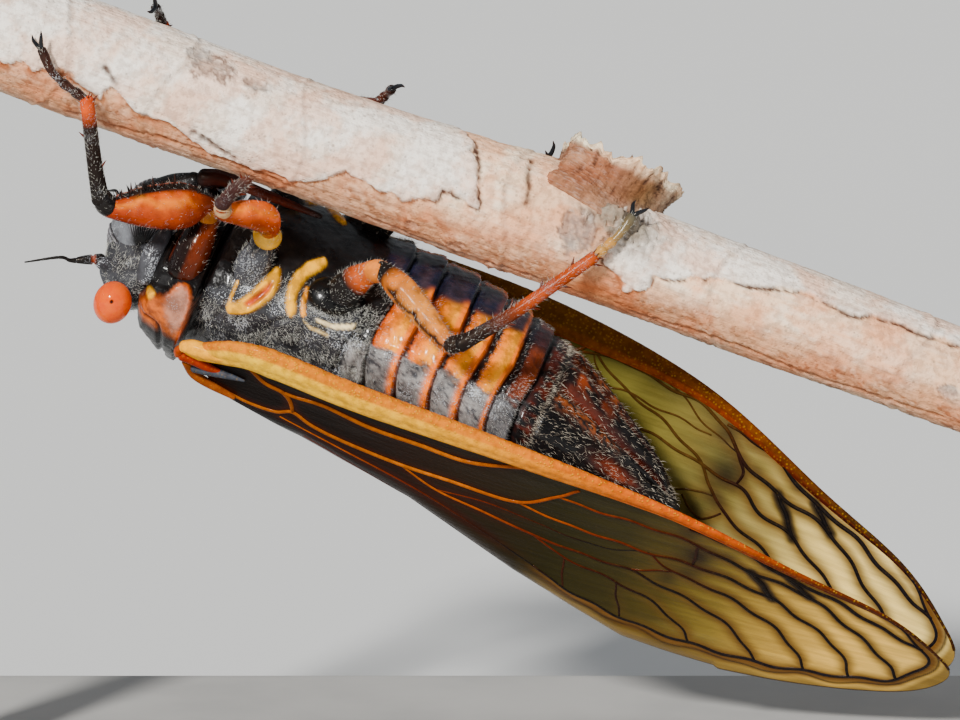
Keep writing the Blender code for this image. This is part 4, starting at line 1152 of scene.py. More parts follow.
        reach = np.hypot(x - self.dome_at[0], (g - self.dome_at[1]) * ARC_PER_DEGREE) / self.dome_radius
        self.relief += 0.5 * np.sqrt(np.clip(1.0 - reach**2, 0.0, 1.0)) - 0.12 * bell(reach, 1.08, 0.1)
        collar = ease(g, 98, 110) * ease(x, 3.8, 3.3) * ease(x, 0.3, 0.6)
        for mask, colour, bare in ((ease(reach, 1.04, 0.96), (0.002, 0.002, 0.002), 0.9),
                                   (collar, (0.003, 0.003, 0.004), 0.8)):
            self.tint = layered(self.tint, (colour, mask))
            self.gloss += (0.6 - self.gloss) * mask
            self.bloom *= 1.0 - mask
            self.down *= 1.0 - bare * mask
        right = np.sin(circle(self.sides))[None, :] < 0
        self._paint_rings(np.where(right, g, np.maximum(g - self.belly_twist, 0.0)), fine, wobble)
        self._paint_tail(np.where(right, g, -g), fine, wobble)

    def _mark(self, mark: Mark, flat: Array, fine: Array, wobble: Array) -> None:
        """Lays one patch; the collar's side lobe also gets a rim, a dark seam and warm shades.

        Args:
            mark: The patch.
            flat: Station and arc round the body, in millimetres, of each point.
            fine, wobble: Fine and coarse noise about 0.
        """
        x, g = self.station, self.girth
        outline = smooth_line(np.array(mark.outline) * (1.0, ARC_PER_DEGREE), 0.12, closed=True)
        depth = depth_inside(flat, outline) + mark.ragged * 2.0 * fine
        mask = ease(depth, -mark.soft, mark.soft)
        self.relief += mark.lift * ease(depth, -0.08, 0.14)
        self.tint = layered(self.tint, (mark.colour, mask))
        for values, goal in ((self.gloss, mark.gloss), (self.bloom, mark.bloom), (self.down, mark.down)):
            values += (goal - values) * mask
        if mark is LOBE:
            rim = bell(depth, 0.07, 0.07) * ease(g, 130, 100)
            self.relief += 0.07 * rim
            self.tint = layered(
                self.tint, ((0.62, 0.13, 0.01), 0.7 * mask * bell(g, 104, 16) * ease(x, 2.4, 1.6)),
                (RED_BROWN, 0.5 * mask * ease(fine + wobble, 0.1, 0.5)),
                ((0.1, 0.012, 0.003), 0.9 * mask * bell(depth, 0.0, 0.1) * ease(x, 1.0, 1.9)),
                (ORANGE, 0.95 * rim * ease(x, 1.6, 0.8)),
                ((0.003, 0.003, 0.003), ease(g, 110, 120) * mask))
            self.gloss += (0.25 - self.gloss) * ease(g, 108, 116) * mask

    def _paint_rings(self, turned: Array, fine: Array, wobble: Array) -> None:
        """Colours each ring of the abdomen: side plate, orange belly plate, bright rear rim.

        Args:
            turned: Girth, with the belly's pattern twisted to the left.
            fine, wobble: Fine and coarse noise about 0.
        """
        x, g = self.station, self.girth
        ends = (-6.2, *self.ring_ends)
        for index, (front, end) in enumerate(zip(ends[:-1], ends[1:])):
            last = index == len(self.ring_ends) - 1
            share = (front - x) / (front - end)
            within = ease(share, -0.02, 0.1) * ease(share, 1.05, 1.0)
            edge = 73.0 + 9.0 * wobble - 3.5 * index
            plate = within * ease(g, edge - 3, edge + 3)
            low = 18.0 - 3.5 * index
            belly = within * ease(turned, low - 6, low + 8) * (1.0 - ease(g, edge - 3, edge + 3))
            start = (9.0, 0.0, 0.08, 0.16, 0.24, 0.3)[index] + 0.08 * fine + 0.08 * wobble
            orange = belly * ease(share, start, start + 0.12)
            deep = within * ease(turned, low + 4, low - 8)
            violet = deep * bell(share, 0.55, 0.3) * ease(wobble, -0.5, 0.3)
            rim = (bell(share, 0.96, 0.13 if index < 4 else 0.08) * ease(turned, low - 10, low + 5)
                   * ease(g, 122, 108) * (index > 0 and not last))
            self.tint = layered(
                self.tint, (BLACK, within), (stops(share, LAST_RING if last else ORANGE_RING), orange),
                (NAVY, 0.9 * deep), ((0.045, 0.026, 0.034), 0.8 * violet),
                (SLATE, 0.95 * plate * ease(g, 128, 112)),
                ((0.3, 0.29, 0.28), (0.25 if last else 0.8) * plate * ease(g, 122, 104)
                 * ease(wobble + fine, -0.6, 0.1)),
                ((0.98, 0.19, 0.0), 1.3 * rim))
            self.relief += 0.07 * plate * ease(g, 112, 104) - 0.16 * within * bell(g, edge - 1, 2.5)
            self.relief += 0.02 * np.sin(40.0 * share + 9.0 * wobble) * orange
            self.gloss += (0.75 - self.gloss) * np.maximum(orange, deep)
            self.bloom += plate * ease(g, 120, 108) * (0.4 if last else 1.0)
            for hairs in ((0.55 + 0.5 * (index == 0)) * plate * ease(g, 120, 108),
                          last * 0.9 * within * ease(g, 24, 44),
                          0.7 * belly * (ease(share, 0.4, 0.1) if index else 1.0),
                          0.35 * orange * ease(g, 40, 60)):
                self.down += hairs

    def _paint_tail(self, signed: Array, fine: Array, wobble: Array) -> None:
        """Tail: bristly black with the red-brown keel of the egg-laying sheath along its underside.

        Args:
            signed: Girth, below 0 on the left side.
            fine, wobble: Fine and coarse noise about 0.
        """
        x, g = self.station, self.girth
        tail = ease(x, -13.9, -14.3)
        along = ease(x, -14.9, -15.5) * ease(x, -21.4, -20.4)
        keel = along * bell(signed, 0.0, 9.0)
        groove = along * (bell(signed, 18.0, 5.0) + bell(signed, -18.0, 5.0))
        ridge = along * (bell(signed, 31.0, 7.0) + bell(signed, -31.0, 7.0))
        self.relief += 0.34 * keel - 0.3 * groove + 0.2 * ridge
        patch = tail * bell(np.hypot((x + 18.7) / 0.8, (g - 58) / 9.0), 0.0, 1.0)
        self.tint = layered(
            self.tint, (BLACK, tail), (RED_BROWN, 0.8 * tail * ease(x, -15.0, -14.6)
                                       * ease(wobble, -0.2, 0.3)),
            (RED_BROWN, 1.2 * groove),
            ((0.24, 0.058, 0.012), ridge * ease(x, -19.0, -17.2) * 1.1 * ease(fine, -0.2, 0.3)),
            ((0.3, 0.045, 0.005), 0.7 * keel * ease(x, -18.5, -16.5) * ease(wobble, -0.3, 0.2)),
            ((0.2, 0.026, 0.004), 1.5 * patch))
        self.gloss += 0.1 * np.clip(groove + ridge, 0, 1) - 0.3 * np.clip(keel, 0, 1)
        bare = np.clip(0.9 * groove + 0.5 * ridge + 0.7 * keel, 0, 1)
        self.down = self.down * (1.0 - tail) + tail * (1.0 - bare) * ease(x, -21.9, -21.2)
        self.down = np.clip(self.down, 0.0, 1.0)
        self.bloom *= 1.0 - tail

    def build(self) -> None:
        """The skin as one piece that stands for the body's nodes."""
        Shell().add(self.grid, {"tint": self.tint, "gloss": np.clip(self.gloss, 0, 1),
                                "bloom": np.clip(self.bloom, 0, 1)}).build(
            "body_skin", CUTICLE, Slot.BLACK,
            ("head", "pronotum", "mesothorax", "metathorax", "abdomen", "tail_segment"))


CHEEK_PLATES = (
    (((3.3, 2.2, -1.5), (2.75, 2.15, -1.95), (2.5, 1.6, -2.7), (2.3, 0.9, -3.4)), (0.2, 0.3, 0.32, 0.2),
     (0.1, 0.11, 0.13), 0.8, 0.8),
    (((3.9, 2.0, 0.0), (4.35, 2.45, -0.1), (4.75, 2.62, -0.22)), (0.4, 0.42, 0.33), SLATE, 0.5, 0.9),
    (((4.72, 1.75, 0.15), (4.55, 2.4, 0.28), (4.2, 3.0, 0.35)), (0.2, 0.22, 0.2), SLATE, 0.5, 0.8),
    (((2.75, 3.55, -0.95), (2.85, 3.0, -1.8), (2.7, 2.1, -2.6)), (0.34, 0.42, 0.32), SLATE, 0.5, 0.7))


@dataclass
class HeadParts:
    """Face shield, cheeks, brows, simple eyes, compound eyes, antennae and beak."""

    face_at: Colour = (3.35, 0.0, -0.85)
    face_size: Colour = (1.85, 1.95, 2.45)
    face_bars: int = 30
    eye_at: Colour = (3.62, 4.2, 0.35)
    eye_size: Colour = (0.8, 0.85, 0.95)
    eye_spot: Colour = (-0.02, 0.83, -0.55)
    antenna_root: Colour = (4.98, 2.62, -0.29)

    def face(self) -> Array:
        """Face shield: an ellipsoid with cross-bars, radius x (1 + a sin^2 of the bar's phase) off
        a smooth strip down its middle.

        Returns:
            Grid of points.
        """
        rows, sides = 130, 340
        polar = np.linspace(0.02, math.pi - 0.02, rows)[:, None]
        around = circle(sides)[None, :]
        ball = np.stack([np.sin(polar) * np.cos(around), np.cos(polar) * np.ones_like(around),
                         -np.sin(polar) * np.sin(around)], axis=-1)
        aside = np.abs(ball[..., 1])
        grain = swells(polar / math.pi * np.ones_like(around), around / (2 * math.pi) * np.ones_like(polar),
                       (30, 60), 9)
        phase = around * self.face_bars + 1.6 * aside + 0.8 * grain
        front = ease(around, 0.75, 0.45) * ease(around, -0.2, 0.0) * np.ones_like(aside)
        bars = np.sin(phase) ** 2 * ease(aside, 0.1, 0.25) * ease(aside, 0.97, 0.8) * (1.0 - front)
        furrow = bell(aside, 0.16, 0.04) * (1.0 - front)
        swell = 1.0 + 0.05 * bars - 0.03 * furrow + 0.012 * grain
        points = ball * np.array(self.face_size) * swell[..., None] + np.array(self.face_at)
        # The strip is partly real and partly painted light: the smooth middle is paler shell with silver
        # bloom, and the band along the front edge is a painted sheen.
        strip = np.clip(front + ease(aside, 0.18, 0.1) * ease(ball[..., 0], 0.1, 0.5), 0.0, 1.0)
        rim = ease(around, 1.9, 2.1) * ease(around, 2.5, 2.3) * ease(aside, 0.2, 0.5)
        tint = layered(
            np.tile(np.array(BLACK), (rows, sides, 1)), ((0.3, 0.3, 0.33), bars**2),
            ((0.15, 0.16, 0.18), 0.9 * strip),
            ((0.62, 0.52, 0.3), 0.9 * rim))
        shell = Shell().add(points, {"tint": tint, "gloss": 0.55 + 0.2 * strip,
                                     "bloom": 0.45 * bars + 0.75 * strip})
        for side in Side:
            for line, radii, colour, gloss, bloom in CHEEK_PLATES:
                self._plate(shell, np.array(line) * (1, side.value, 1), radii, colour, gloss, bloom,
                            side.value)
        self._plate(shell, np.array([(3.4, 0.0, -2.4), (2.95, 0.0, -3.3), (2.4, 0.0, -4.05)]),
                    (1.2, 0.85, 0.5), BLACK, 0.7, 0.3, 1)
        shell.build("face_shield", CUTICLE, Slot.BLACK, ("head",))
        return points

    @staticmethod
    def _plate(shell: Shell, points: Array, radii: tuple[float, ...], tint: Colour, gloss: float,
               bloom: float, hand: int) -> None:
        """A rounded bar of shell along a line."""
        path, reach = limb_line(points, np.array(radii), 0.12, (0.8, 0.8))
        shell.add(sweep(path, reach, 24, (0.9, 0.1 * hand, 0.35), 0.8),
                  {"tint": tint, "gloss": gloss, "bloom": bloom})

    def eyes(self) -> None:
        """Compound eyes: ellipsoids whose rim is darkened with painted shade where they enter the head; three
        simple eyes.
        """
        rows, sides = 90, 96
        polar = np.linspace(0.02, math.pi - 0.02, rows)[:, None]
        around = circle(sides)[None, :]
        for side in Side:
            s = side.value
            ball = np.stack([np.sin(polar) * np.cos(around), s * np.cos(polar) * np.ones_like(around),
                             np.sin(polar) * np.sin(around)], axis=-1)
            points = ball * np.array(self.eye_size) + np.array(self.eye_at) * (1, s, 1)
            outward = ball[..., 1] * s
            spot = unit(np.array(self.eye_spot) * (1, s, 1))
            near = np.linalg.norm(ball - spot, axis=-1)
            # Painted shade on the side of the eye that faces into the head.
            rim = ease(outward, -0.28, -0.55)
            Shell().add(points, {"rim": rim, "spot": ease(near, 0.125, 0.07)}).build(
                f"eye_{side.word}_gloss", EYE, Slot.EYE, (f"eye_{side.word}",))
        shell = Shell()
        for at in ((3.85, -0.42, 2.08), (3.85, 0.42, 2.08), (4.2, 0.0, 1.75)):
            ball = np.stack([np.sin(polar) * np.cos(around), np.sin(polar) * np.sin(around),
                             np.cos(polar) * np.ones_like(around)], axis=-1)
            shell.add((ball * 0.23 + np.array(at))[::4, ::4], {"rim": 0.0, "spot": 0.0})
        shell.build("simple_eyes", EYE, Slot.EYE, ("head",))

    def antennae(self) -> None:
        """Antennae: two stout joints, then a bristle of five joints, each thinner at its foot."""
        for side, tip in ((Side.RIGHT, (7.72, -3.8, 0.45)), (Side.LEFT, (6.5, 4.3, 1.3))):
            root = np.array(self.antenna_root) * (1, side.value, 1)
            way = unit(np.array(tip) - root)
            bend = np.array([0.12, 0.05 * side.value, -0.16])
            path = [root - way * 0.15, root + way * 0.28, root + way * 0.62, root + way * 1.15,
                    0.5 * (np.array(tip) + root) + bend, np.array(tip)]
            line, reach = limb_line(np.array(path), np.array([0.25, 0.22, 0.18, 0.09, 0.07, 0.035]),
                                    0.035, (0.8, 0.8))
            run = np.linspace(0.0, 1.0, len(line))
            joint = np.where(run < 0.3, bell(run, 0.135, 0.012), 0.5 * bell(np.mod(run * 9, 1.0), 0.0, 0.12))
            reach = reach * (1.0 - 0.35 * joint)
            tint = stops(run, ((0.0, BLACK), (0.1, BLACK), (0.14, RUST), (0.17, BLACK), (1.0, BLACK)))
            Shell().add(sweep(line, reach, 16, (0, 0, 1)), {"tint": tint, "gloss": 0.6, "bloom": 0.2}).build(
                f"antenna_{side.word}_bristle", LIMB, Slot.SHANK, (f"antenna_{side.word}",))

    def beak(self) -> None:
        """Beak: a jointed tube that lies back along the chest, grooved along its middle."""
        path, reach = limb_line(np.array([(2.1, 0.0, -4.45), (1.5, 0.0, -4.75), (0.6, 0.0, -4.85),
                                          (-0.8, 0.0, -4.88), (-3.0, 0.0, -4.92)]),
                                np.array([0.42, 0.36, 0.27, 0.22, 0.12]), 0.05, (0.8, 1.4))
        angle = circle(28)
        run = np.linspace(0, 1, len(path))
        reach = reach * (1.0 - 0.18 * (bell(run, 0.36, 0.015) + bell(run, 0.66, 0.015)))
        grooved = reach[:, None] * (1.0 - 0.16 * bell(np.abs(angle - math.pi), 0.0, 0.3))[None, :]
        tint = stops(run, ((0.0, BLACK), (0.35, RED_BROWN), (0.4, (0.1, 0.02, 0.01)), (0.6, RED_BROWN),
                           (1.0, BLACK)))
        Shell().add(sweep(path, grooved, 28, (0, 0, 1)), {"tint": tint, "gloss": 0.3, "bloom": 0.1}).build(
            "beak", LIMB, Slot.SHANK, ("rostrum",))


# ----------------------------------------------------------------------------------------- legs


@dataclass(frozen=True)
class LegLook:
    """A leg's thickness along hip, thigh and shin, its spines, and its colours from hip to foot."""

    hip_radii: tuple[float, ...]
    thigh_radii: tuple[float, ...]
    shin_radii: tuple[float, ...]
    shin_spines: int
    coxa: Ramp
    knob: Colour
    femur: Ramp
    knee: Colour
    shin: Ramp
    foot: Colour


class LegKind(Enum):
    """The three pairs of legs and how they look."""

    FORE = LegLook(
        (0.8, 0.75, 0.5), (0.45, 0.95, 0.85, 0.45), (0.38, 0.32, 0.3), 3,
        ((0.0, (0.03, 0.004, 0.001)), (0.4, (0.1, 0.012, 0.001)), (1.0, (0.14, 0.018, 0.001))),
        (0.42, 0.13, 0.01),
        ((0.0, (0.05, 0.005, 0.001)), (0.2, (0.22, 0.026, 0.0)), (0.5, (0.52, 0.07, 0.0)),
         (0.85, (0.36, 0.035, 0.0)), (0.95, (0.2, 0.025, 0.002)), (1.0, (0.6, 0.38, 0.16))), BLACK,
        ((0.0, BLACK), (0.72, (0.012, 0.006, 0.005)), (0.86, (0.62, 0.075, 0.004)),
         (1.0, (0.5, 0.05, 0.004))), (0.012, 0.006, 0.005))
    MIDDLE = LegLook(
        (0.85, 0.75, 0.48), (0.4, 0.62, 0.55, 0.36), (0.32, 0.28, 0.26), 4,
        ((0.0, (0.045, 0.047, 0.055)), (1.0, (0.045, 0.047, 0.055))), (0.95, 0.5, 0.03),
        ((0.0, (0.25, 0.03, 0.002)), (0.3, (0.8, 0.105, 0.0)), (0.85, (0.84, 0.14, 0.001)),
         (1.0, (0.85, 0.4, 0.12))), (0.85, 0.5, 0.22),
        ((0.0, (0.03, 0.012, 0.012)), (0.6, (0.06, 0.022, 0.02)), (1.0, (0.1, 0.02, 0.008))), BLACK)
    HIND = LegLook(
        (0.8, 0.68, 0.45), (0.4, 0.6, 0.52, 0.36), (0.34, 0.28, 0.26), 7,
        ((0.0, BLACK), (0.55, BLACK), (0.7, (0.42, 0.06, 0.003)), (1.0, (0.62, 0.13, 0.006))),
        (0.7, 0.2, 0.02),
        ((0.0, BLACK), (0.17, BLACK), (0.25, (0.56, 0.14, 0.008)), (0.5, (0.72, 0.26, 0.035)),
         (0.75, (0.66, 0.2, 0.02)), (1.0, (0.4, 0.07, 0.004))), (0.02, 0.008, 0.005),
        ((0.0, BLACK), (0.22, (0.02, 0.008, 0.006)), (0.36, (0.11, 0.02, 0.006)),
         (0.5, (0.3, 0.036, 0.002)), (1.0, (0.4, 0.052, 0.001))), (0.46, 0.26, 0.07))


@dataclass
class Leg:
    """One leg as a single piece: hip, knob, thigh, shin with spines, jointed foot and claws."""

    kind: LegKind
    side: Side
    coxa: Points
    femur: Points
    tibia: Points
    claw_turn: Colour
    spine_length: float = 0.62
    claw_length: float = 0.72
    stripe_turn: float = 1.45
    crest_bristles: int = 70
    hairs: list[tuple[Array, Array, Array]] = field(default_factory=list, repr=False)

    @property
    def name(self) -> str:
        """Name as the nodes spell it."""
        return f"{self.kind.name.lower()}_leg_{self.side.word}"

    def build(self) -> bpy.types.Object:
        """Makes the leg and keeps where its hairs root.

        Returns:
            The leg as an object.
        """
        shell = Shell()
        look = self.kind.value
        self._segment(shell, self.coxa, look.hip_radii, look.coxa, (0.6, 1.0),
                      stripe=self.kind is LegKind.FORE)
        hip_end, thigh_start = np.array(self.coxa[-1]), np.array(self.femur[0])
        knob = np.array([hip_end * 1.1 - 0.1 * thigh_start, 0.5 * (hip_end + thigh_start), thigh_start])
        reach = 0.62 if self.kind is LegKind.MIDDLE else 0.5
        self._segment(shell, knob, (0.42, reach, 0.42), ((0.0, look.knob), (1.0, look.knob)), (0.8, 0.8))
        thigh = np.array(self.femur)
        shin = np.array(self.tibia)
        thigh_line = np.vstack([0.6 * thigh[0] + 0.4 * hip_end, thigh, 0.45 * thigh[-1] + 0.55 * shin[0]])
        radii = (0.34, *look.thigh_radii, look.thigh_radii[-1] * 0.86)
        self._segment(shell, thigh_line, radii, look.femur, (0.6, 0.9), keel=True)
        knee = 0.5 * (thigh[-1] + shin[0])
        reach = look.thigh_radii[-1] * 1.06
        self._segment(shell, np.array([knee * 2 - shin[0], knee, shin[0] * 0.8 + shin[1] * 0.2]),
                      (reach * 0.9, reach, reach * 0.72), ((0.0, look.knee), (1.0, look.shin[0][1])),
                      (0.6, 0.6))
        self._segment(shell, shin[:3], look.shin_radii, look.shin, (0.8, 0.7), furry=True)
        self._foot(shell, shin, look)
        self._spines(shell, shin[:3], look)
        return shell.build(self.name, LIMB, Slot.ORANGE, tuple(f"{self.name}_{part}" for part in
                                                               ("coxa", "femur", "tibia")))

    def _segment(self, shell: Shell, points: Array, radii: tuple[float, ...],
                 table: Ramp, ends: tuple[float, float], keel: bool = False,
                 stripe: bool = False, furry: bool = False) -> None:
        """One segment: rings of radius r (1 + keel), darker along its edges.

        Args:
            shell: Where it is added.
            points, radii: Its middle line and thickness.
            table: Colours along it.
            ends: How far its ends bulge.
            keel: Whether two blunt ridges run along it, as on a thigh.
            stripe: Whether dark bands run along it.
            furry: Whether it is dusted with silver.
        """
        line, reach = limb_line(np.array(points), np.array(radii), 0.06, ends)
        sides = 32
        angle = circle(sides)
        run = np.linspace(0, 1, len(line))
        form = np.ones((len(line), sides))
        tint = np.repeat(stops(run, table)[:, None], sides, axis=1)
        rough = lattice_noise(run[:, None] * np.ones(sides), angle[None, :] / (2 * math.pi)
                              * np.ones_like(form),
                              (18, 8), 11)
        if keel:
            edge = bell(np.abs(angle - math.pi), 0.0, 0.95)[None, :] * ease(run, 0.1, 0.3)[:, None]
            upper = bell(np.minimum(angle, 2 * math.pi - angle), 0.0, 0.5)[None, :] * np.ones_like(form)
            form += 0.05 * edge + 0.05 * upper * (0.6 + 0.8 * rough)
            dark = (ease(upper + 0.5 * (rough - 0.5), 0.42, 0.7) if self.kind is LegKind.FORE
                    else 0.5 * ease(upper, 0.75, 1.0) * ease(rough, 0.5, 0.7))
            tint = layered(tint, ((0.09, 0.006, 0.001), 0.9 * edge),
                           (BLACK, dark * ease(run, 0.03, 0.15)[:, None]))
            folded = np.minimum(angle, 2 * math.pi - angle)[None] + 0.5 * (rough - 0.5)
            if self.kind is LegKind.HIND:
                stripe_at = bell(folded, self.stripe_turn, 0.26) * ease(run, 0.2, 0.3)[:, None]
                tint = layered(tint, ((0.022, 0.006, 0.004), stripe_at * (0.95 + 0.6 * rough)))
                form += 0.05 * stripe_at
            else:
                # Fore and middle thighs: darker red more than 1 rad from angle 0, and a pale orange band at
                # 0.72 rad that is a painted highlight.
                tint = layered(
                    tint, ((0.28, 0.022, 0.0), 0.75 * ease(folded, 1.0, 1.7)),
                    ((0.95, 0.26, 0.0), 0.55 * bell(folded, 0.72, 0.2) * ease(run, 0.2, 0.4)[:, None]))
        if stripe:
            bands = ease(np.cos(2.0 * angle + 0.6), 0.1, 0.6)[None, :] * np.ones_like(form)
            tint = layered(tint, (BLACK, 0.95 * bands))
            form -= 0.06 * bands
        form += 0.025 * (rough - 0.5)
        grid = sweep(line, reach[:, None] * form, sides, (0.15, 0.0, -1.0) if not furry else (1.0, 0.2, 0.1))
        bloom = 0.12 if furry else 0.04 + 0.3 * (self.kind is LegKind.MIDDLE and not keel)
        gloss = 0.15 if furry else 0.2 if self.kind is LegKind.HIND else 0.7
        shell.add(grid, {"tint": tint, "gloss": gloss, "bloom": bloom})
        self.hairs.append((grid, grid_normals(grid), tint))

    def _foot(self, shell: Shell, shin: Array, look: LegLook) -> None:
        """Three foot joints, each flared at its end, and two hooked claws.

        Args:
            shell: Mesh that takes the joints.
            shin: Line of the shin.
            look: Tints and sizes of the leg.
        """
        path = smooth_line(shin[2:], 0.05)
        run = np.linspace(0, 1, len(path))
        cuts = (0.0, 0.22, 0.42, 1.0)
        for start, end in zip(cuts[:-1], cuts[1:]):
            part = path[(run >= start - 0.02) & (run <= end + 0.02)]
            share = np.linspace(0, 1, len(part))
            radius = np.interp(share, (0.0, 0.8, 1.0), (0.16, 0.24, 0.22)) * (1.0 - 0.25 * start)
            line, reach = limb_line(part[::2], radius[::2], 0.06, (0.5, 0.6))
            tip = (0.055, 0.06, 0.05) if start > 0.4 and self.kind is LegKind.HIND else look.foot
            middle = {LegKind.FORE: (0.04, 0.014, 0.01), LegKind.MIDDLE: look.shin[-1][1],
                      LegKind.HIND: (0.62, 0.3, 0.06) if start < 0.4 else (0.2, 0.15, 0.07)}[self.kind]
            tint = stops(np.linspace(0, 1, len(line)), ((0.0, look.foot), (0.5, middle), (1.0, tip)))
            grid = sweep(line, reach, 20, (1.0, 0.2, 0.1))
            shell.add(grid, {"tint": tint, "gloss": 0.5, "bloom": 0.5})
            self.hairs.append((grid, grid_normals(grid), np.repeat(tint[:, None], 20, axis=1)))
        foot, way = path[-1], unit(path[-1] - path[-3])
        turn = unit(np.array(self.claw_turn))
        beside = unit(np.cross(way, turn))
        for hand in (1.0, -1.0):
            reach = self.claw_length
            hook = np.array([foot, foot + way * 0.35 * reach + beside * hand * 0.2 * reach,
                             foot + way * 0.5 * reach + beside * hand * 0.4 * reach + turn * 0.2 * reach,
                             foot + way * 0.4 * reach + beside * hand * 0.46 * reach + turn * 0.62 * reach])
            line, radius = limb_line(hook, np.array([0.11, 0.1, 0.075, 0.02]), 0.04, (0.5, 1.0))
            shell.add(sweep(line, radius, 12, tuple(beside)),
                      {"tint": stops(np.linspace(0, 1, len(line)), ((0, (0.01, 0.013, 0.016)),
                                                                  (0.7, (0.012, 0.014, 0.018)),
                                                                  (1, (0.06, 0.012, 0.006)))),
                       "gloss": 0.9, "bloom": 0.0})

    def _spines(self, shell: Shell, shin: Array, look: LegLook) -> None:
        """Tapered spines in two rows along the shin, a crown at its end, and a fringe under a fore thigh.

        Args:
            shell: Mesh that takes the spines.
            shin: Line of the shin.
            look: Tints and sizes of the leg.
        """
        way = unit(shin[2] - shin[0])
        roots = []
        for index in range(look.shin_spines):
            share = 0.38 + 0.58 * index / max(1, look.shin_spines - 1)
            joint = int(share >= 0.5)
            low, high, part = shin[joint], shin[joint + 1], share * 2 - joint
            away = np.array([1.0, 0.0, 0.0]) * (1 if index % 2 else -1)
            away = unit(away - way * (way @ away))
            roots.append((low + (high - low) * part, 0.8 * away + 0.6 * way, self.spine_length, 1.0,
                          RED_BROWN))
        across = unit(np.cross(way, (0.2, 1.0, 0.1)))
        other = np.cross(way, across)
        for turn in range(6):
            angle = turn * math.pi / 3
            out = math.cos(angle) * across + math.sin(angle) * other
            roots.append((shin[2] - way * 0.12, 0.62 * out + 0.8 * way, 0.42, 1.0, RED_BROWN))
        if self.kind is LegKind.FORE:
            thigh, radii = np.array(self.femur), look.thigh_radii
            below = np.array([0.35, 0.0, -1.0])
            rng = np.random.default_rng(17)
            spines = ((0.32, 0.55), (0.45, 0.22), (0.55, 0.5), (0.66, 0.24), (0.78, 0.4), (0.88, 0.2))
            bristles = [(share, None) for share in np.sort(rng.uniform(0.12, 0.98, self.crest_bristles))]
            for share, reach in (*spines, *bristles):
                place = thigh[0] + (thigh[-1] - thigh[0]) * share
                radius = float(np.interp(share, np.linspace(0, 1, len(radii)), radii))
                if reach is not None:
                    out = unit(below)
                    roots.append((place + out * 0.5 * radius, out, 0.5 * radius + reach, 1.0,
                                  (0.03, 0.008, 0.005)))
                    continue
                out = unit(below + rng.normal(0.0, 1.0, 3) * (0.35, 0.12, 0.2))
                roots.append((place + out * 0.75 * radius, out, 0.28 * radius + rng.uniform(0.08, 0.34), 0.55,
                              (0.01, 0.007, 0.007)))
        for root, out, reach, thick, colour in roots:
            out = unit(out)
            line, radius = limb_line(np.array([root, root + out * 0.55 * reach, root + out * reach
                                               + way * 0.06]), np.array([0.085, 0.06, 0.012]) * thick, 0.07,
                                     (0.4, 1.0))
            shell.add(sweep(line, radius, 10, tuple(np.cross(out, (0.31, 0.2, 0.93)))),
                      {"tint": colour, "gloss": 0.5, "bloom": 0.1 if thick == 1.0 else 0.5})


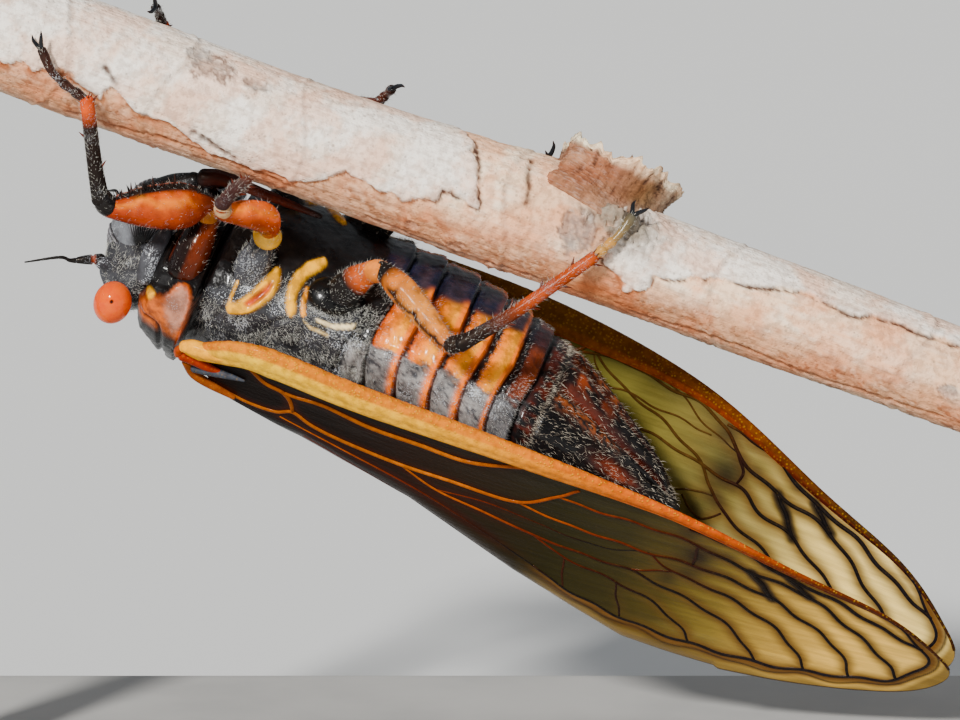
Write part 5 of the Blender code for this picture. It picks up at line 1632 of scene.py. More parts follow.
LEGS = (
    Leg(LegKind.FORE, Side.RIGHT,
        ((1.35, -3.1, -1.7), (1.3, -2.5, -2.9), (1.2, -1.95, -3.9)),
        ((1.45, -2.2, -4.75), (2.3, -2.75, -4.65), (3.7, -3.55, -4.4), (5.0, -4.3, -4.2)),
        ((5.5, -4.5, -4.5), (6.3, -4.15, -5.9), (7.5, -3.55, -8.2), (9.1, -3.48, -8.7), (10.0, -3.15, -9.4)),
        (0.5, 0.5, -0.55)),
    Leg(LegKind.MIDDLE, Side.RIGHT,
        ((-1.2, -3.1, -1.9), (-1.3, -2.7, -3.3), (-1.4, -2.4, -4.3)),
        ((-1.45, -2.7, -5.1), (-1.1, -3.3, -6.0), (-0.3, -4.2, -6.45), (0.45, -5.0, -6.65)),
        ((0.62, -5.3, -7.2), (0.4, -4.3, -7.45), (0.15, -3.15, -7.2), (0.3, -2.5, -6.3), (0.8, -1.5, -5.5)),
        (0.4, 0.45, 0.2)),
    Leg(LegKind.HIND, Side.RIGHT,
        ((-5.1, -2.7, -3.2), (-5.5, -2.7, -4.3), (-6.0, -2.6, -5.1)),
        ((-6.5, -2.95, -5.6), (-7.5, -3.5, -5.5), (-9.0, -4.4, -5.2), (-10.2, -5.15, -4.95)),
        ((-10.7, -5.35, -5.35), (-12.2, -4.2, -7.0), (-14.4, -2.35, -9.9), (-15.0, -1.6, -10.9),
         (-15.2, -1.0, -11.6)), (-0.2, 0.55, -0.2)),
    Leg(LegKind.FORE, Side.LEFT,
        ((1.35, 3.13, -1.7), (1.31, 2.52, -2.9), (1.2, 1.96, -3.9)),
        ((1.45, 2.2, -4.75), (2.3, 2.9, -4.8), (3.5, 3.8, -4.8), (4.6, 4.5, -4.75)),
        ((5.0, 4.7, -5.2), (5.6, 4.05, -6.9), (6.2, 2.75, -8.95), (6.5, 2.05, -10.0), (6.6, 1.45, -10.5)),
        (0.3, -0.5, -0.35)),
    Leg(LegKind.MIDDLE, Side.LEFT,
        ((-1.2, 3.1, -1.9), (-1.3, 2.7, -3.3), (-1.4, 2.4, -4.3)),
        ((-1.5, 2.7, -5.1), (-1.4, 3.3, -5.8), (-1.2, 4.3, -6.3), (-1.1, 5.1, -6.6)),
        ((-1.4, 5.3, -7.1), (-2.3, 4.45, -7.95), (-3.4, 3.1, -9.2), (-3.7, 2.75, -10.1),
         (-3.85, 2.25, -10.75)), (-0.3, -0.5, -0.3)),
    Leg(LegKind.HIND, Side.LEFT,
        ((-5.1, 2.7, -3.2), (-5.5, 2.7, -4.3), (-6.0, 2.6, -5.1)),
        ((-6.5, 2.95, -5.6), (-7.5, 3.5, -5.6), (-8.8, 4.4, -5.4), (-9.9, 5.15, -5.3)),
        ((-10.4, 5.35, -5.8), (-10.5, 4.85, -7.0), (-10.8, 3.9, -8.45), (-10.95, 3.45, -9.4),
         (-11.0, 3.25, -9.95)), (0.2, -0.12, -0.5)),
)


# ---------------------------------------------------------------------------------------- wings

LONG_EDGE = ((0.0, 0.0), (0.08, -1.84), (0.2, -1.75), (0.4, -1.5), (0.6, -0.3), (0.78, 2.2), (0.9, 3.85),
             (0.97, 5.6), (1.0, 7.0))
HIND_EDGE = ((0.97, 8.45), (0.9, 9.33), (0.78, 10.0), (0.6, 9.3), (0.45, 7.15), (0.3, 4.55), (0.15, 3.05),
             (0.04, 2.65))
FLAP = ((0.04, 0.0), (0.1, 0.4), (0.15, 1.1), (0.3, 2.4), (0.45, 2.1), (0.6, 0.9), (0.72, 0.0))


@dataclass(frozen=True)
class Vein:
    """A vein through points (along the span, across the chord), in millimetres; the left wing shows
    its inner face, where some veins are seen to run by other points."""

    points: Points
    radius: float = 0.085
    smoke: float = 0.0
    left: Points = ()


VEINS: dict[str, Vein] = {
    "radial": Vein(((4.3, 0.8), (4.8, 0.8), (6.1, 0.65), (8.2, 1.0), (10.4, 0.95), (12.6, 0.95), (14.8, 0.0)),
                   0.13),
    "loop": Vein(((2.7, 0.0), (3.4, 0.6), (4.2, 0.8), (4.6, 1.3), (4.8, 2.0)), 0.12),
    "basal": Vein(((0.9, 2.1), (1.9, 2.4), (2.9, 2.6), (4.1, 2.5), (4.8, 2.05), (5.7, 2.5), (7.1, 2.8),
                   (9.7, 2.98), (12.0, 2.9), (15.0, 2.8), (16.6, 1.4), (17.4, 0.4)), 0.11,
                  left=((0.9, 2.1), (1.9, 2.4), (2.9, 2.6), (4.1, 2.5), (4.8, 2.05), (7.1, 2.8),
                        (9.7, 2.98), (12.0, 2.2), (14.0, 0.9), (15.6, -0.3))),
    "radial_sector": Vein(((16.6, 1.4), (18.6, 1.6), (20.8, 1.65), (22.8, 2.0), (24.8, 2.8), (27.0, 3.4),
                           (28.1, 3.8), (29.2, 4.6), (30.2, 5.4), (31.3, 6.3), (32.3, 7.3), (32.8, 8.1)),
                          0.09, 0.2,
                          left=((15.3, 0.1), (16.9, -0.1), (18.9, 0.2), (21.0, 0.5), (22.2, 1.0),
                                (23.1, 1.9), (24.8, 2.8), (27.0, 3.4), (28.1, 3.8), (29.2, 4.6),
                                (30.2, 5.4), (31.3, 6.3), (32.3, 7.3), (32.8, 8.1))),
    "upper_apical": Vein(((22.3, 0.9), (24.1, 1.3), (25.6, 2.0), (27.0, 2.8), (28.3, 3.2), (29.8, 3.9),
                          (31.2, 4.7), (32.5, 5.3), (33.4, 5.7)), 0.1, 0.1),
    "medial": Vein(((15.0, 2.8), (16.6, 3.2), (18.6, 3.4), (21.0, 3.6), (22.9, 3.6), (24.8, 4.0),
                    (26.6, 4.6), (28.0, 5.5), (29.2, 6.3), (30.2, 7.3), (30.8, 8.6)), 0.085,
                   left=((17.0, 2.2), (18.4, 2.4), (20.2, 2.6), (21.8, 3.0), (23.6, 3.3), (24.8, 4.0),
                         (26.6, 4.6), (28.0, 5.5), (29.2, 6.3), (30.2, 7.3), (30.8, 8.6))),
    "lower_medial": Vein(((21.0, 3.6), (22.2, 4.5), (23.8, 4.9), (25.3, 5.5), (27.0, 6.5), (28.2, 7.7),
                          (28.9, 8.9)), 0.08,
                         left=((15.6, -0.3), (16.8, 0.6), (18.4, 1.3), (20.2, 2.0), (21.7, 2.9),
                               (22.5, 3.7), (23.3, 4.6), (25.3, 5.5), (27.0, 6.5), (28.2, 7.7), (28.9, 8.9))),
    "cubital": Vein(((9.7, 2.95), (11.5, 3.9), (13.6, 4.3), (16.0, 4.8), (18.4, 5.1), (20.3, 5.2),
                     (22.2, 5.8), (24.0, 6.5), (25.6, 7.6), (26.8, 9.1)), 0.08),
    "lower_cubital": Vein(((16.0, 4.8), (17.6, 5.7), (20.0, 6.3), (21.8, 7.0), (23.2, 8.1), (23.8, 9.0)),
                          0.075),
    "ambient": Vein(((16.4, 6.9), (17.9, 7.7), (19.7, 8.3), (21.7, 8.75), (24.0, 9.0), (27.0, 9.1),
                     (29.0, 8.9), (31.0, 8.6), (32.5, 8.2), (33.4, 7.4), (33.8, 6.5), (33.4, 5.7),
                     (32.6, 4.9), (31.4, 3.9)), 0.08),
    "clavus": Vein(((4.3, 2.75), (5.5, 3.05), (7.0, 3.4), (10.5, 4.3), (13.5, 5.5), (16.4, 6.9)), 0.06),
    "second_clavus": Vein(((5.5, 3.7), (8.0, 4.6), (12.0, 6.4), (15.2, 7.9)), 0.045),
    "arculus": Vein(((11.5, 3.9), (13.8, 3.6), (16.2, 3.9), (18.6, 4.2), (21.0, 3.6)), 0.055,
                    left=((18.4, -0.4), (19.6, 0.2), (21.0, 1.0), (22.2, 1.6), (23.1, 1.9))),
    "cross_link": Vein(((20.3, 5.2), (22.2, 4.5)), 0.065,
                       left=((21.4, 4.5), (22.0, 5.0), (22.6, 5.3), (23.3, 4.7))),
    "nodal_link": Vein(((22.9, 2.0), (22.9, 3.6)), 0.075,
                       left=((23.1, 1.9), (23.6, 2.6), (23.5, 3.3))),
    "first_link": Vein(((25.35, 3.0), (25.9, 3.7), (26.6, 4.6)), 0.1, 0.9),
    "second_link": Vein(((27.0, 2.8), (27.5, 3.3), (28.1, 3.8)), 0.1, 0.9),
    "third_link": Vein(((17.6, 5.7), (17.7, 6.6), (17.9, 7.7)), 0.06,
                       left=((15.8, 0.0), (16.1, 0.5), (16.9, 1.1), (17.6, 1.1), (19.3, 1.3), (21.8, 1.6))),
    "fourth_link": Vein(((20.0, 6.3), (20.3, 7.4), (20.6, 8.5)), 0.06,
                        left=((21.1, 4.4), (21.9, 4.1), (22.7, 4.1))),
}


DARKER_VEINS = {"clavus": 9.0, "second_clavus": 12.0, "arculus": 6.0, "cubital": 3.0, "ambient": 7.0,
                "third_link": 4.0, "lower_cubital": 3.0, "fourth_link": 3.0}
OUTER_FACE = ((0.0, (0.003, 0.001, 0.001)), (6.0, (0.005, 0.002, 0.001)), (10.0, (0.014, 0.005, 0.002)),
              (14.0, (0.018, 0.01, 0.003)), (17.0, (0.02, 0.016, 0.003)), (20.0, (0.036, 0.028, 0.006)),
              (22.0, (0.085, 0.06, 0.01)), (24.5, (0.25, 0.17, 0.028)), (27.5, (0.64, 0.39, 0.068)),
              (30.0, (1.0, 0.61, 0.11)), (34.5, (1.0, 0.65, 0.15)))
# Painted light: the inner face is a paler copy of the same membrane's colours, standing in for light shining
# through it.
LIT_INNER_FACE = ((0.0, (0.02, 0.006, 0.003)), (8.0, (0.05, 0.02, 0.006)), (13.0, (0.09, 0.078, 0.012)),
              (16.5, (0.125, 0.11, 0.018)), (19.0, (0.165, 0.135, 0.024)), (22.5, (0.17, 0.138, 0.034)),
              (25.5, (0.42, 0.31, 0.07)), (28.5, (1.0, 0.72, 0.2)), (34.5, (1.0, 0.76, 0.24)))
VEIN_RAMP = ((0.0, (0.2, 0.045, 0.001)), (2.2, (0.3, 0.075, 0.001)), (4.5, (0.28, 0.066, 0.001)),
             (8.0, (0.28, 0.068, 0.001)), (11.0, (0.38, 0.095, 0.001)), (16.0, (0.3, 0.055, 0.001)),
             (18.5, (0.12, 0.014, 0.003)), (22.0, (0.03, 0.006, 0.003)), (24.5, BLACK),
             (35.0, (0.006, 0.006, 0.01)))
LEAD_OUTER = ((0.0, (0.62, 0.14, 0.0)), (2.0, (0.68, 0.19, 0.0)), (14.0, (0.66, 0.17, 0.0)),
              (19.0, (0.66, 0.12, 0.0)), (22.0, (0.62, 0.085, 0.0)), (26.0, (0.3, 0.045, 0.003)),
              (29.0, (0.13, 0.022, 0.004)), (34.0, (0.05, 0.012, 0.005)))
LEAD_INNER = ((0.0, (0.95, 0.42, 0.0)), (3.0, (1.0, 0.56, 0.0)), (10.0, (1.0, 0.47, 0.0)),
              (15.0, (0.8, 0.25, 0.0)), (19.0, (0.7, 0.14, 0.0)), (22.0, (0.6, 0.09, 0.0)),
              (26.0, (0.2, 0.03, 0.003)), (29.0, (0.07, 0.014, 0.005)), (34.0, (0.03, 0.01, 0.005)))
HINGE_PLATES = (
    (((-0.3, 0.0), (0.1, -0.15), (0.8, -0.25), (1.6, -0.45)), (0.26, 0.34, 0.34, 0.25), (1.0, 0.42, 0.0)),
    (((-0.5, 0.75), (-0.5, 0.45), (-0.45, 0.2)), (0.18, 0.2, 0.12), (0.4, 0.05, 0.002)),
    (((-0.3, 0.75), (0.3, 0.8), (0.9, 0.95), (1.5, 1.0)), (0.26, 0.26, 0.2, 0.1), (0.26, 0.02, 0.004)),
    (((0.3, 1.45), (0.9, 1.2), (1.6, 1.05), (2.5, 0.95)), (0.2, 0.24, 0.18, 0.05), (0.045, 0.055, 0.075)),
    (((-0.1, 1.2), (0.3, 1.9), (1.0, 2.2), (2.2, 2.5)), (0.2, 0.2, 0.2, 0.12), (0.24, 0.05, 0.004)))
SMOKY_SPOTS = (((23.0, 2.9), 1.0, 0.85), ((22.4, 1.3), 0.6, 0.6), ((22.1, 5.0), 0.55, 0.55),
               ((22.9, 4.2), 0.75, 0.6), ((26.0, 2.4), 0.45, 0.5), ((24.2, 2.3), 0.5, 0.45))


@dataclass
class WingSurface:
    """The curved middle surface of a folded wing.

    A point at (along, across) is hinge + along span + across chord, bowed outwards by a sine along
    the span, hollowed by a parabola across it, and bent over the back past the fold line by the arc
    of a circle.
    """

    hinge: Colour = (-0.19, 4.61, 0.59)
    length: float = 34.9
    splay: float = math.radians(2.5)
    droop: float = math.radians(-5.0)
    roof: float = math.radians(73.6)
    camber: float = -0.49
    bow: float = 1.0
    chord: float = 12.0
    fold_radius_length: float = 2.4
    fold_angle: float = math.radians(60.0)

    def hind(self, along: Array) -> Array:
        """Chord at which the wing turns over the back."""
        at = [share * self.length for share, _ in HIND_EDGE[::-1]]
        return np.interp(along, at, [width for _, width in HIND_EDGE[::-1]])

    def at(self, along: Array, across: Array, side: Side) -> Array:
        """Points of the surface in the insect's frame; the arrays share a shape.

        Args:
            along: Share of the span.
            across: Share of the chord.
            side: Side of the body.

        Returns:
            Points, one for each pair.
        """
        span = np.array([-math.cos(self.splay) * math.cos(self.droop), math.sin(self.splay),
                         math.sin(self.droop) * math.cos(self.splay)])
        chord = np.array([0.0, math.cos(self.roof), math.sin(self.roof)])
        chord = unit(chord - span * (span @ chord))
        outward = np.cross(span, chord)
        outward = outward if outward[1] < 0 else -outward
        inward = np.cross(outward, span)
        inward = inward if inward @ chord > 0 else -inward
        line = self.hind(along) - 0.3 + 6.0 * np.clip((along / self.length - 0.72) / 0.1, 0.0, 1.0)
        folded = np.maximum(0.0, across - line)
        plain = across - folded
        rate = self.fold_angle / self.fold_radius_length
        bent = np.minimum(folded, self.fold_radius_length)
        beyond = folded - bent
        run = np.sin(rate * bent) / rate + beyond * math.cos(self.fold_angle)
        turn = (1.0 - np.cos(rate * bent)) / rate + beyond * math.sin(self.fold_angle)
        share = np.minimum(across / self.chord, plain / self.chord + 0.02)
        height = self.camber * 4.0 * share * (1.0 - share) - turn
        height = height + self.bow * np.sin(math.pi * np.clip(along / self.length, 0.0, 1.0))
        hinge = np.array([self.hinge[0], -self.hinge[1], self.hinge[2]])
        points = (hinge + along[..., None] * span + (plain + run)[..., None] * inward
                  + height[..., None] * outward)
        return points * np.array([1.0, -float(side.value), 1.0])

    def membrane(self, name: str, flat: Array, middle: Array, half: Array, values: dict[str, tuple]) -> None:
        """Makes a membrane: its outer face, then its inner face run backwards, as one closed ring.

        Args:
            name: The wing's node.
            flat: Places along and across the flat wing, its UV map.
            middle: Points halfway through the membrane.
            half: Half its thickness as vectors.
            values: Attributes, each for the outer and the inner face.
        """
        def joined(outer: Array, inner: Array) -> Array:
            """Both faces round the ring."""
            return np.concatenate([outer, inner[:, ::-1]], axis=1)

        sheet = Shell().add(joined(middle + half, middle - half), {
            key: joined(*faces) for key, faces in values.items()}).build(
            f"{name}_membrane", MEMBRANE, Slot.WING, (name,))
        ends = (flat[0].mean(axis=0), flat[-1].mean(axis=0))
        set_map(sheet, np.vstack([joined(flat, flat).reshape(-1, 2), *ends]))

    def follow(self, line: Array, side: Side) -> tuple[Array, Array]:
        """Points and normals under a line of the flat wing."""
        return self.at(line[:, 0], line[:, 1], side), self.normal(line[:, 0], line[:, 1], side)

    def normal(self, along: Array, across: Array, side: Side) -> Array:
        """Unit normals that face away from the body, from central differences."""
        step = 0.02
        du = self.at(along + step, across, side) - self.at(along - step, across, side)
        dv = self.at(along, across + step, side) - self.at(along, across - step, side)
        normal = unit(np.cross(du, dv))
        return normal * np.sign(normal[..., 1:2] * side.value + 1e-9)


@dataclass
class ForeWing:
    """A forewing: amber membrane, its veins, and the thick two-toned leading vein."""

    side: Side
    surface: WingSurface = field(default_factory=WingSurface)
    rows: int = 320
    strips: int = 104
    thickness: float = 0.05

    def edges(self, along: Array) -> tuple[Array, Array]:
        """Chord of the leading and the hind edge at each station along the span.

        Args:
            along: Share of the span.

        Returns:
            Leading edge and hind edge.
        """
        length = self.surface.length
        flap_at, flap = zip(*FLAP)
        hind = [(share * length, width + float(np.interp(share, flap_at, flap)))
                for share, width in HIND_EDGE]
        whole = smooth_line(np.array([(share * length, width) for share, width in LONG_EDGE] + hind), 0.2)
        tip = int(np.argmax(whole[:, 0]))
        lead = np.interp(along, whole[:tip + 1, 0], whole[:tip + 1, 1])
        back = whole[tip:][::-1]
        hind = np.interp(along, back[:, 0], back[:, 1])
        return lead, lead + (hind - lead) * (0.25 + 0.75 * ease(along, -0.4, 1.7))

    def reach(self) -> float:
        """Station of the tip."""
        length = self.surface.length
        whole = smooth_line(np.array([(share * length, width) for share, width in LONG_EDGE + HIND_EDGE]),
                            0.2)
        return float(whole[:, 0].max())

    def lines(self) -> dict[str, Array]:
        """Veins as smooth lines on the flat wing.

        Returns:
            Points of each vein, by its name.
        """
        found = {}
        for number, (name, vein) in enumerate(VEINS.items()):
            line = smooth_line(np.array(vein.left if vein.left and self.side is Side.LEFT else vein.points),
                               0.14)
            run = np.concatenate([[0.0], np.cumsum(np.linalg.norm(np.diff(line, axis=0), axis=1))])
            wave = 0.07 * np.sin(run * 2.6 + number) * ease(run, 0.0, 1.0) * ease(run[-1] - run, 0.0, 1.0)
            across = np.gradient(line, axis=0)[:, ::-1] * (-1.0, 1.0)
            found[name] = line + unit(across) * (wave * ease(line[:, 0], 15.0, 20.0))[:, None]
        return found

    def colour(self, along: Array, across: Array, near: Array, outer: bool) -> Array:
        """Membrane: black red at the base, dark olive in the middle, amber at the tip, redder along
        the inner veins and browner along those of the outer cells; its inner face is painted paler, a lit
        copy that stands in for light shining through the membrane."""
        return layered(
            stops(along, OUTER_FACE if outer else LIT_INNER_FACE),
            ((0.034, 0.005, 0.002), 0.65 * ease(near, 0.5, 0.08) * ease(along, 17.0, 13.0)),
            ((0.11, 0.045, 0.01), 0.85 * ease(near, 0.62, 0.06) * ease(along, 19.0, 25.0)))

    def build(self) -> None:
        """Membrane, veins and leading vein as three pieces."""
        tip = self.reach() - 0.01
        along = tip * (1.0 - (1.0 - np.linspace(0.0, 1.0, self.rows)) ** 1.25)
        lead, back = self.edges(along)
        share = 0.5 - 0.5 * np.cos(np.linspace(0, math.pi, self.strips))
        share = 0.35 * share + 0.65 * np.linspace(0, 1, self.strips)
        across = lead[:, None] + (back - lead)[:, None] * share
        wide = np.broadcast_to(along[:, None], across.shape)
        flat = np.stack([wide, across], axis=-1)
        lines = self.lines()
        near = np.min([line_distance(flat, line) for line in lines.values()], axis=0)
        ambient = lines["ambient"]
        outline = np.vstack([ambient, [[31.4, -3.0], [0.0, -3.0], [0.0, 2.0], [3.4, 2.1]],
                             lines["clavus"]])
        beyond = ease(depth_inside(flat, outline), 0.03, -0.1) * ease(along, 15.5, 18.0)[:, None]
        off = line_distance(flat, ambient)
        smoke = np.zeros(wide.shape)
        for name, vein in VEINS.items():
            if vein.smoke:
                smoke = np.maximum(smoke, vein.smoke * ease(line_distance(flat, lines[name]), 0.42, 0.12))
        for at, wide_as, depth in SMOKY_SPOTS:
            smoke = np.maximum(smoke, depth * bell(np.hypot(wide - at[0], across - at[1]), 0.0, wide_as))
        edge_off = np.minimum(across - lead[:, None], back[:, None] - across)
        tints = []
        for outer in (True, False):
            tint = self.colour(wide, across, near, outer)
            tint = layered(
                tint, ((0.15, 0.065, 0.012), beyond * ease(off, 0.8, 0.1)),
                ((0.27, 0.165, 0.032), beyond * ease(off, 0.4, 0.8)),
                ((0.02, 0.01, 0.005), 0.85 * beyond * bell(off, 0.34 + 0.08 * np.sin(wide * 1.7), 0.06)),
                (BLACK, smoke),
                ((0.05, 0.03, 0.015), ease(edge_off, 0.09, 0.03) * ease(wide, 15, 20)))
            tints.append(tint)
        cover = 0.84 + 0.16 * ease(wide, 24.0, 19.0) + 0.1 * ease(near, 0.5, 0.1)
        cover = np.clip(cover + 0.35 * smoke, 0.0, 1.0)
        ripple = 0.03 * swells(wide / 40.0, across / 20.0, (26, 30), 21) * ease(near, 0.05, 0.5)
        middle = self.surface.at(wide, across, self.side)
        normal = self.surface.normal(wide, across, self.side)
        self.surface.membrane(f"forewing_{self.side.word}", flat, middle + ripple[..., None] * normal,
                              0.5 * self.thickness * normal, {"tint": tuple(tints), "cover": (cover, cover)})
        self._veins(lines)
        self._leading_vein()

    def vein_colour(self, along: Array, name: str) -> Array:
        """Orange at the base, red brown in the middle, black with a blue cast at the tip; on the left wing
        painted shade darkens the middle.
        """
        # Painted shade: on the left wing only, the veins are darker in the middle of the span.
        inner = ease(along, 14.0, 16.0) * ease(along, 23.5, 21.5) * (self.side is Side.LEFT)
        return layered(stops(along + DARKER_VEINS.get(name, 0.0), VEIN_RAMP), ((0.06, 0.028, 0.006), inner))

    def _veins(self, lines: dict[str, Array]) -> None:
        """Tubes along the veins, sunk half into the membrane.

        Args:
            lines: Points of each vein, by its name.
        """
        shell = Shell()
        for name, line in lines.items():
            at, normal = self.surface.follow(line, self.side)
            run = np.linspace(0, 1, len(line))
            radius = VEINS[name].radius * (0.8 + 0.2 * np.sin(math.pi * run)) * ease(run, -0.3, 0.02)
            radius = radius * (1.0 + 0.1 * ease(line[:, 0], 20.0, 26.0))
            grid = sweep(at, radius, 8, tuple(normal.mean(axis=0)))
            shell.add(grid, {"tint": self.vein_colour(line[:, 0], name), "grain": 0.03})
        shell.build(f"forewing_{self.side.word}_veins", VEIN, Slot.WING, (f"forewing_{self.side.word}",))

    def _leading_vein(self) -> None:
        """A flattened rod inside the leading edge: half width w(u), granular orange on its outer half
        and smooth yellow on its inner half, turning red and then dark towards the tip."""
        tip = self.reach()
        along = np.concatenate([np.linspace(-0.35, 33.2, 620), np.linspace(33.25, tip - 0.12, 14)])
        lead, _ = self.edges(np.maximum(along, 0.0))
        half = np.interp(along, (-0.35, 0.3, 1.5, 3.5, 8.0, 12.0, 16.0, 19.0, 21.5, 25.0, 29.0, 34.0),
                         (0.25, 0.5, 0.72, 0.9, 0.86, 0.76, 0.62, 0.46, 0.34, 0.26, 0.19, 0.07))
        across = lead + half * 0.92
        at = self.surface.at(along, across, self.side)
        normal = self.surface.normal(along, across, self.side)
        sides = 40
        angle = circle(sides)
        beside = unit(np.cross(normal, unit(np.gradient(at, axis=0))))
        outer = self.surface.at(along, across - 0.2, self.side) - at
        beside = beside * np.sign(np.einsum("ij,ij->i", beside, outer))[:, None]
        thick = half * 0.55
        rough = lattice_noise(along[:, None] / 36.0 * np.ones(sides), angle[None] / (2 * math.pi)
                              * np.ones((len(along), 1)), (420, 14), 5)
        step = 0.12 * bell(angle, 0.5 * math.pi, 0.2)[None] + 0.12 * bell(angle, 1.5 * math.pi, 0.2)[None]
        outwards = np.cos(angle)[None]
        outer_half = np.cos(angle + 0.57)[None]
        gran = ease(outer_half, 0.1, 0.4) * np.ones_like(rough) * (1.0 if self.side is Side.RIGHT else 0.25)
        form = 1.0 - step + 0.06 * (rough - 0.5) * gran
        grid = (at[:, None] + (half[:, None] * form * outwards)[..., None] * beside[:, None]
                + (thick[:, None] * form * np.sin(angle)[None])[..., None] * normal[:, None])
        upper, lower = stops(along, LEAD_OUTER), stops(along, LEAD_INNER)
        # Painted shade: the left wing's leading vein is a darker, browner copy of the right one's colours.
        if self.side is Side.LEFT:
            upper = upper * (0.22, 0.28, 1.0) + (0.02, 0.01, 0.0)
            lower = lower * (0.35, 0.3, 1.0)
        tint = layered(
            np.repeat(lower[:, None], sides, 1),
            (np.repeat(upper[:, None], sides, 1), ease(outer_half, 0.15, 0.4) * np.ones_like(rough)),
            (DEEP_ORANGE, 0.9 * bell(outwards, -1.0, 0.1) * ease(along, 1.0, 3.0)[:, None]),
            ((0.1, 0.01, 0.002), 0.85 * bell(outwards, -0.12, 0.1) * ease(along, 16.0, 20.0)[:, None]))
        shell = Shell().add(grid, {"tint": tint, "grain": 0.2 + 0.8 * gran})
        for points, radii, colour in HINGE_PLATES:
            flat = smooth_line(np.column_stack([np.array(points), radii]), 0.12)
            way, out = self.surface.follow(flat, self.side)
            line, reach = limb_line(way + 0.1 * out, flat[:, 2], 0.1, (0.8, 0.8))
            shell.add(sweep(line, reach, 20, tuple(out.mean(axis=0))), {"tint": colour, "grain": 0.15})
        shell.build(f"forewing_{self.side.word}_leading_vein", VEIN, Slot.WING,
                    (f"forewing_{self.side.word}",))


@dataclass
class HindWing:
    """A hindwing: a shorter leaf under the forewing, with five veins."""

    side: Side
    surface: WingSurface = field(default_factory=WingSurface)
    depth: float = 0.93
    thickness: float = 0.05
    outline: Points = (
        (5.0, 1.9), (8.0, 2.2), (12.0, 2.7), (16.0, 3.1), (19.5, 3.6), (20.6, 5.2), (20.2, 6.8), (18.6, 7.6),
        (15.7, 6.6), (11.0, 4.6), (7.0, 3.2), (5.2, 2.7))
    veins: tuple[Points, ...] = (
        ((5.3, 2.1), (9.0, 2.5), (12.5, 2.95), (16.0, 3.4), (19.2, 4.0), (20.1, 5.4), (19.7, 6.7),
         (18.3, 7.2),
         (15.6, 6.3), (11.0, 4.45), (7.0, 3.05)),
        ((5.6, 2.4), (9.0, 2.7), (12.5, 3.3), (16.0, 4.2), (20.0, 5.6)),
        ((9.5, 2.9), (13.0, 3.9), (16.5, 5.2), (19.6, 6.8)),
        ((12.0, 3.6), (15.0, 5.1), (18.2, 7.2)))

    def build(self) -> None:
        """Membrane as strips between its front and hind edges, and veins as tubes."""
        whole = smooth_line(np.array(self.outline), 0.2, closed=True)
        whole = np.roll(whole, -int(np.argmin(whole[:, 0])), axis=0)
        last = int(np.argmax(whole[:, 0]))
        along = np.linspace(whole[0, 0] + 0.02, whole[last, 0] - 0.02, 150)
        front = np.interp(along, whole[:last + 1, 0], whole[:last + 1, 1])
        back = np.interp(along, whole[last:, 0][::-1], whole[last:, 1][::-1])
        share = np.linspace(0, 1, 50)
        across = front[:, None] + (back - front)[:, None] * share
        wide = np.broadcast_to(along[:, None], across.shape)
        flat = np.stack([wide, across], axis=-1)
        lines = [smooth_line(np.array(points), 0.2) for points in self.veins]
        near = np.min([line_distance(flat, line) for line in lines], axis=0)
        tint = layered(
            np.tile(np.array((0.2, 0.15, 0.055)), (*wide.shape, 1)),
            ((0.15, 0.06, 0.02), 0.6 * ease(near, 0.4, 0.05)))
        normal = self.surface.normal(wide, across, self.side)
        middle = self.surface.at(wide, across, self.side) - self.depth * normal
        name = f"hindwing_{self.side.word}"
        cover = np.full(wide.shape, 0.6)
        self.surface.membrane(name, flat, middle, 0.5 * self.thickness * normal,
                              {"tint": (tint, tint), "cover": (cover, cover)})
        shell = Shell()
        for line in lines:
            at, out = self.surface.follow(line, self.side)
            shell.add(sweep(at - self.depth * out, np.full(len(line), 0.07), 8, tuple(out.mean(axis=0))),
                      {"tint": RED_BROWN, "grain": 0.1})
        shell.build(f"{name}_veins", VEIN, Slot.WING, (name,))


# ----------------------------------------------------------------------------------------- twig

PEELED_LEFT = ((-0.02, 112), (0.0, 112), (0.106, 111), (0.13, 108), (0.153, 100), (0.171, 103), (0.19, 113),
               (0.195, 92), (0.204, 108), (0.231, 112), (0.258, 116), (0.278, 132), (0.303, 131),
               (0.353, 129), (0.382, 110), (0.391, 95), (0.404, 99), (0.424, 104), (0.436, 107),
               (0.454, 100), (0.465, 91), (0.467, 80), (0.476, 79), (0.492, 88), (0.496, 85), (0.486, 48),
               (0.478, 27), (0.462, -6), (0.45, -45), (0.47, -80), (0.43, -112), (0.4, -142), (0.33, -128),
               (0.26, -150), (0.15, -132), (0.06, -152), (-0.02, -138))
PEELED_RIGHT = ((0.6, 20), (0.606, 60), (0.608, 91), (0.624, 106), (0.631, 116), (0.648, 105), (0.648, 93),
                (0.684, 78), (0.729, 59), (0.761, 50), (0.803, 51), (0.844, 43), (0.895, 44), (1.02, 40),
                (1.02, -125), (0.92, -98), (0.83, -128), (0.74, -96), (0.67, -118), (0.63, -60))
CRACKS = (((0.526, 20), (0.528, 37), (0.532, 51), (0.534, 66)), ((0.268, 114), (0.288, 121), (0.305, 127)),
          ((0.17, 150), (0.212, 145), (0.245, 138), (0.3, 136), (0.345, 140)), ((0.186, 84), (0.197, 92)),
          ((0.64, 150), (0.72, 141), (0.8, 146), (0.9, 139)), ((0.42, 150), (0.5, 156), (0.57, 149)),
          ((0.1, -40), (0.2, -52), (0.32, -44)), ((0.7, -30), (0.8, -41), (0.93, -33)))
KNOTS = ((0.259, 46, 1.05, 0.62), (0.302, 48, 0.5, 0.35), (0.58, 77, 0.66, 0.95), (0.53, 165, 0.35, 0.3),
         (0.493, 138, 0.4, 0.35), (0.454, 132, 0.35, 0.3), (0.15, -95, 0.7, 0.5), (0.8, -70, 0.6, 0.45),
         (0.9, 100, 0.45, 0.35))


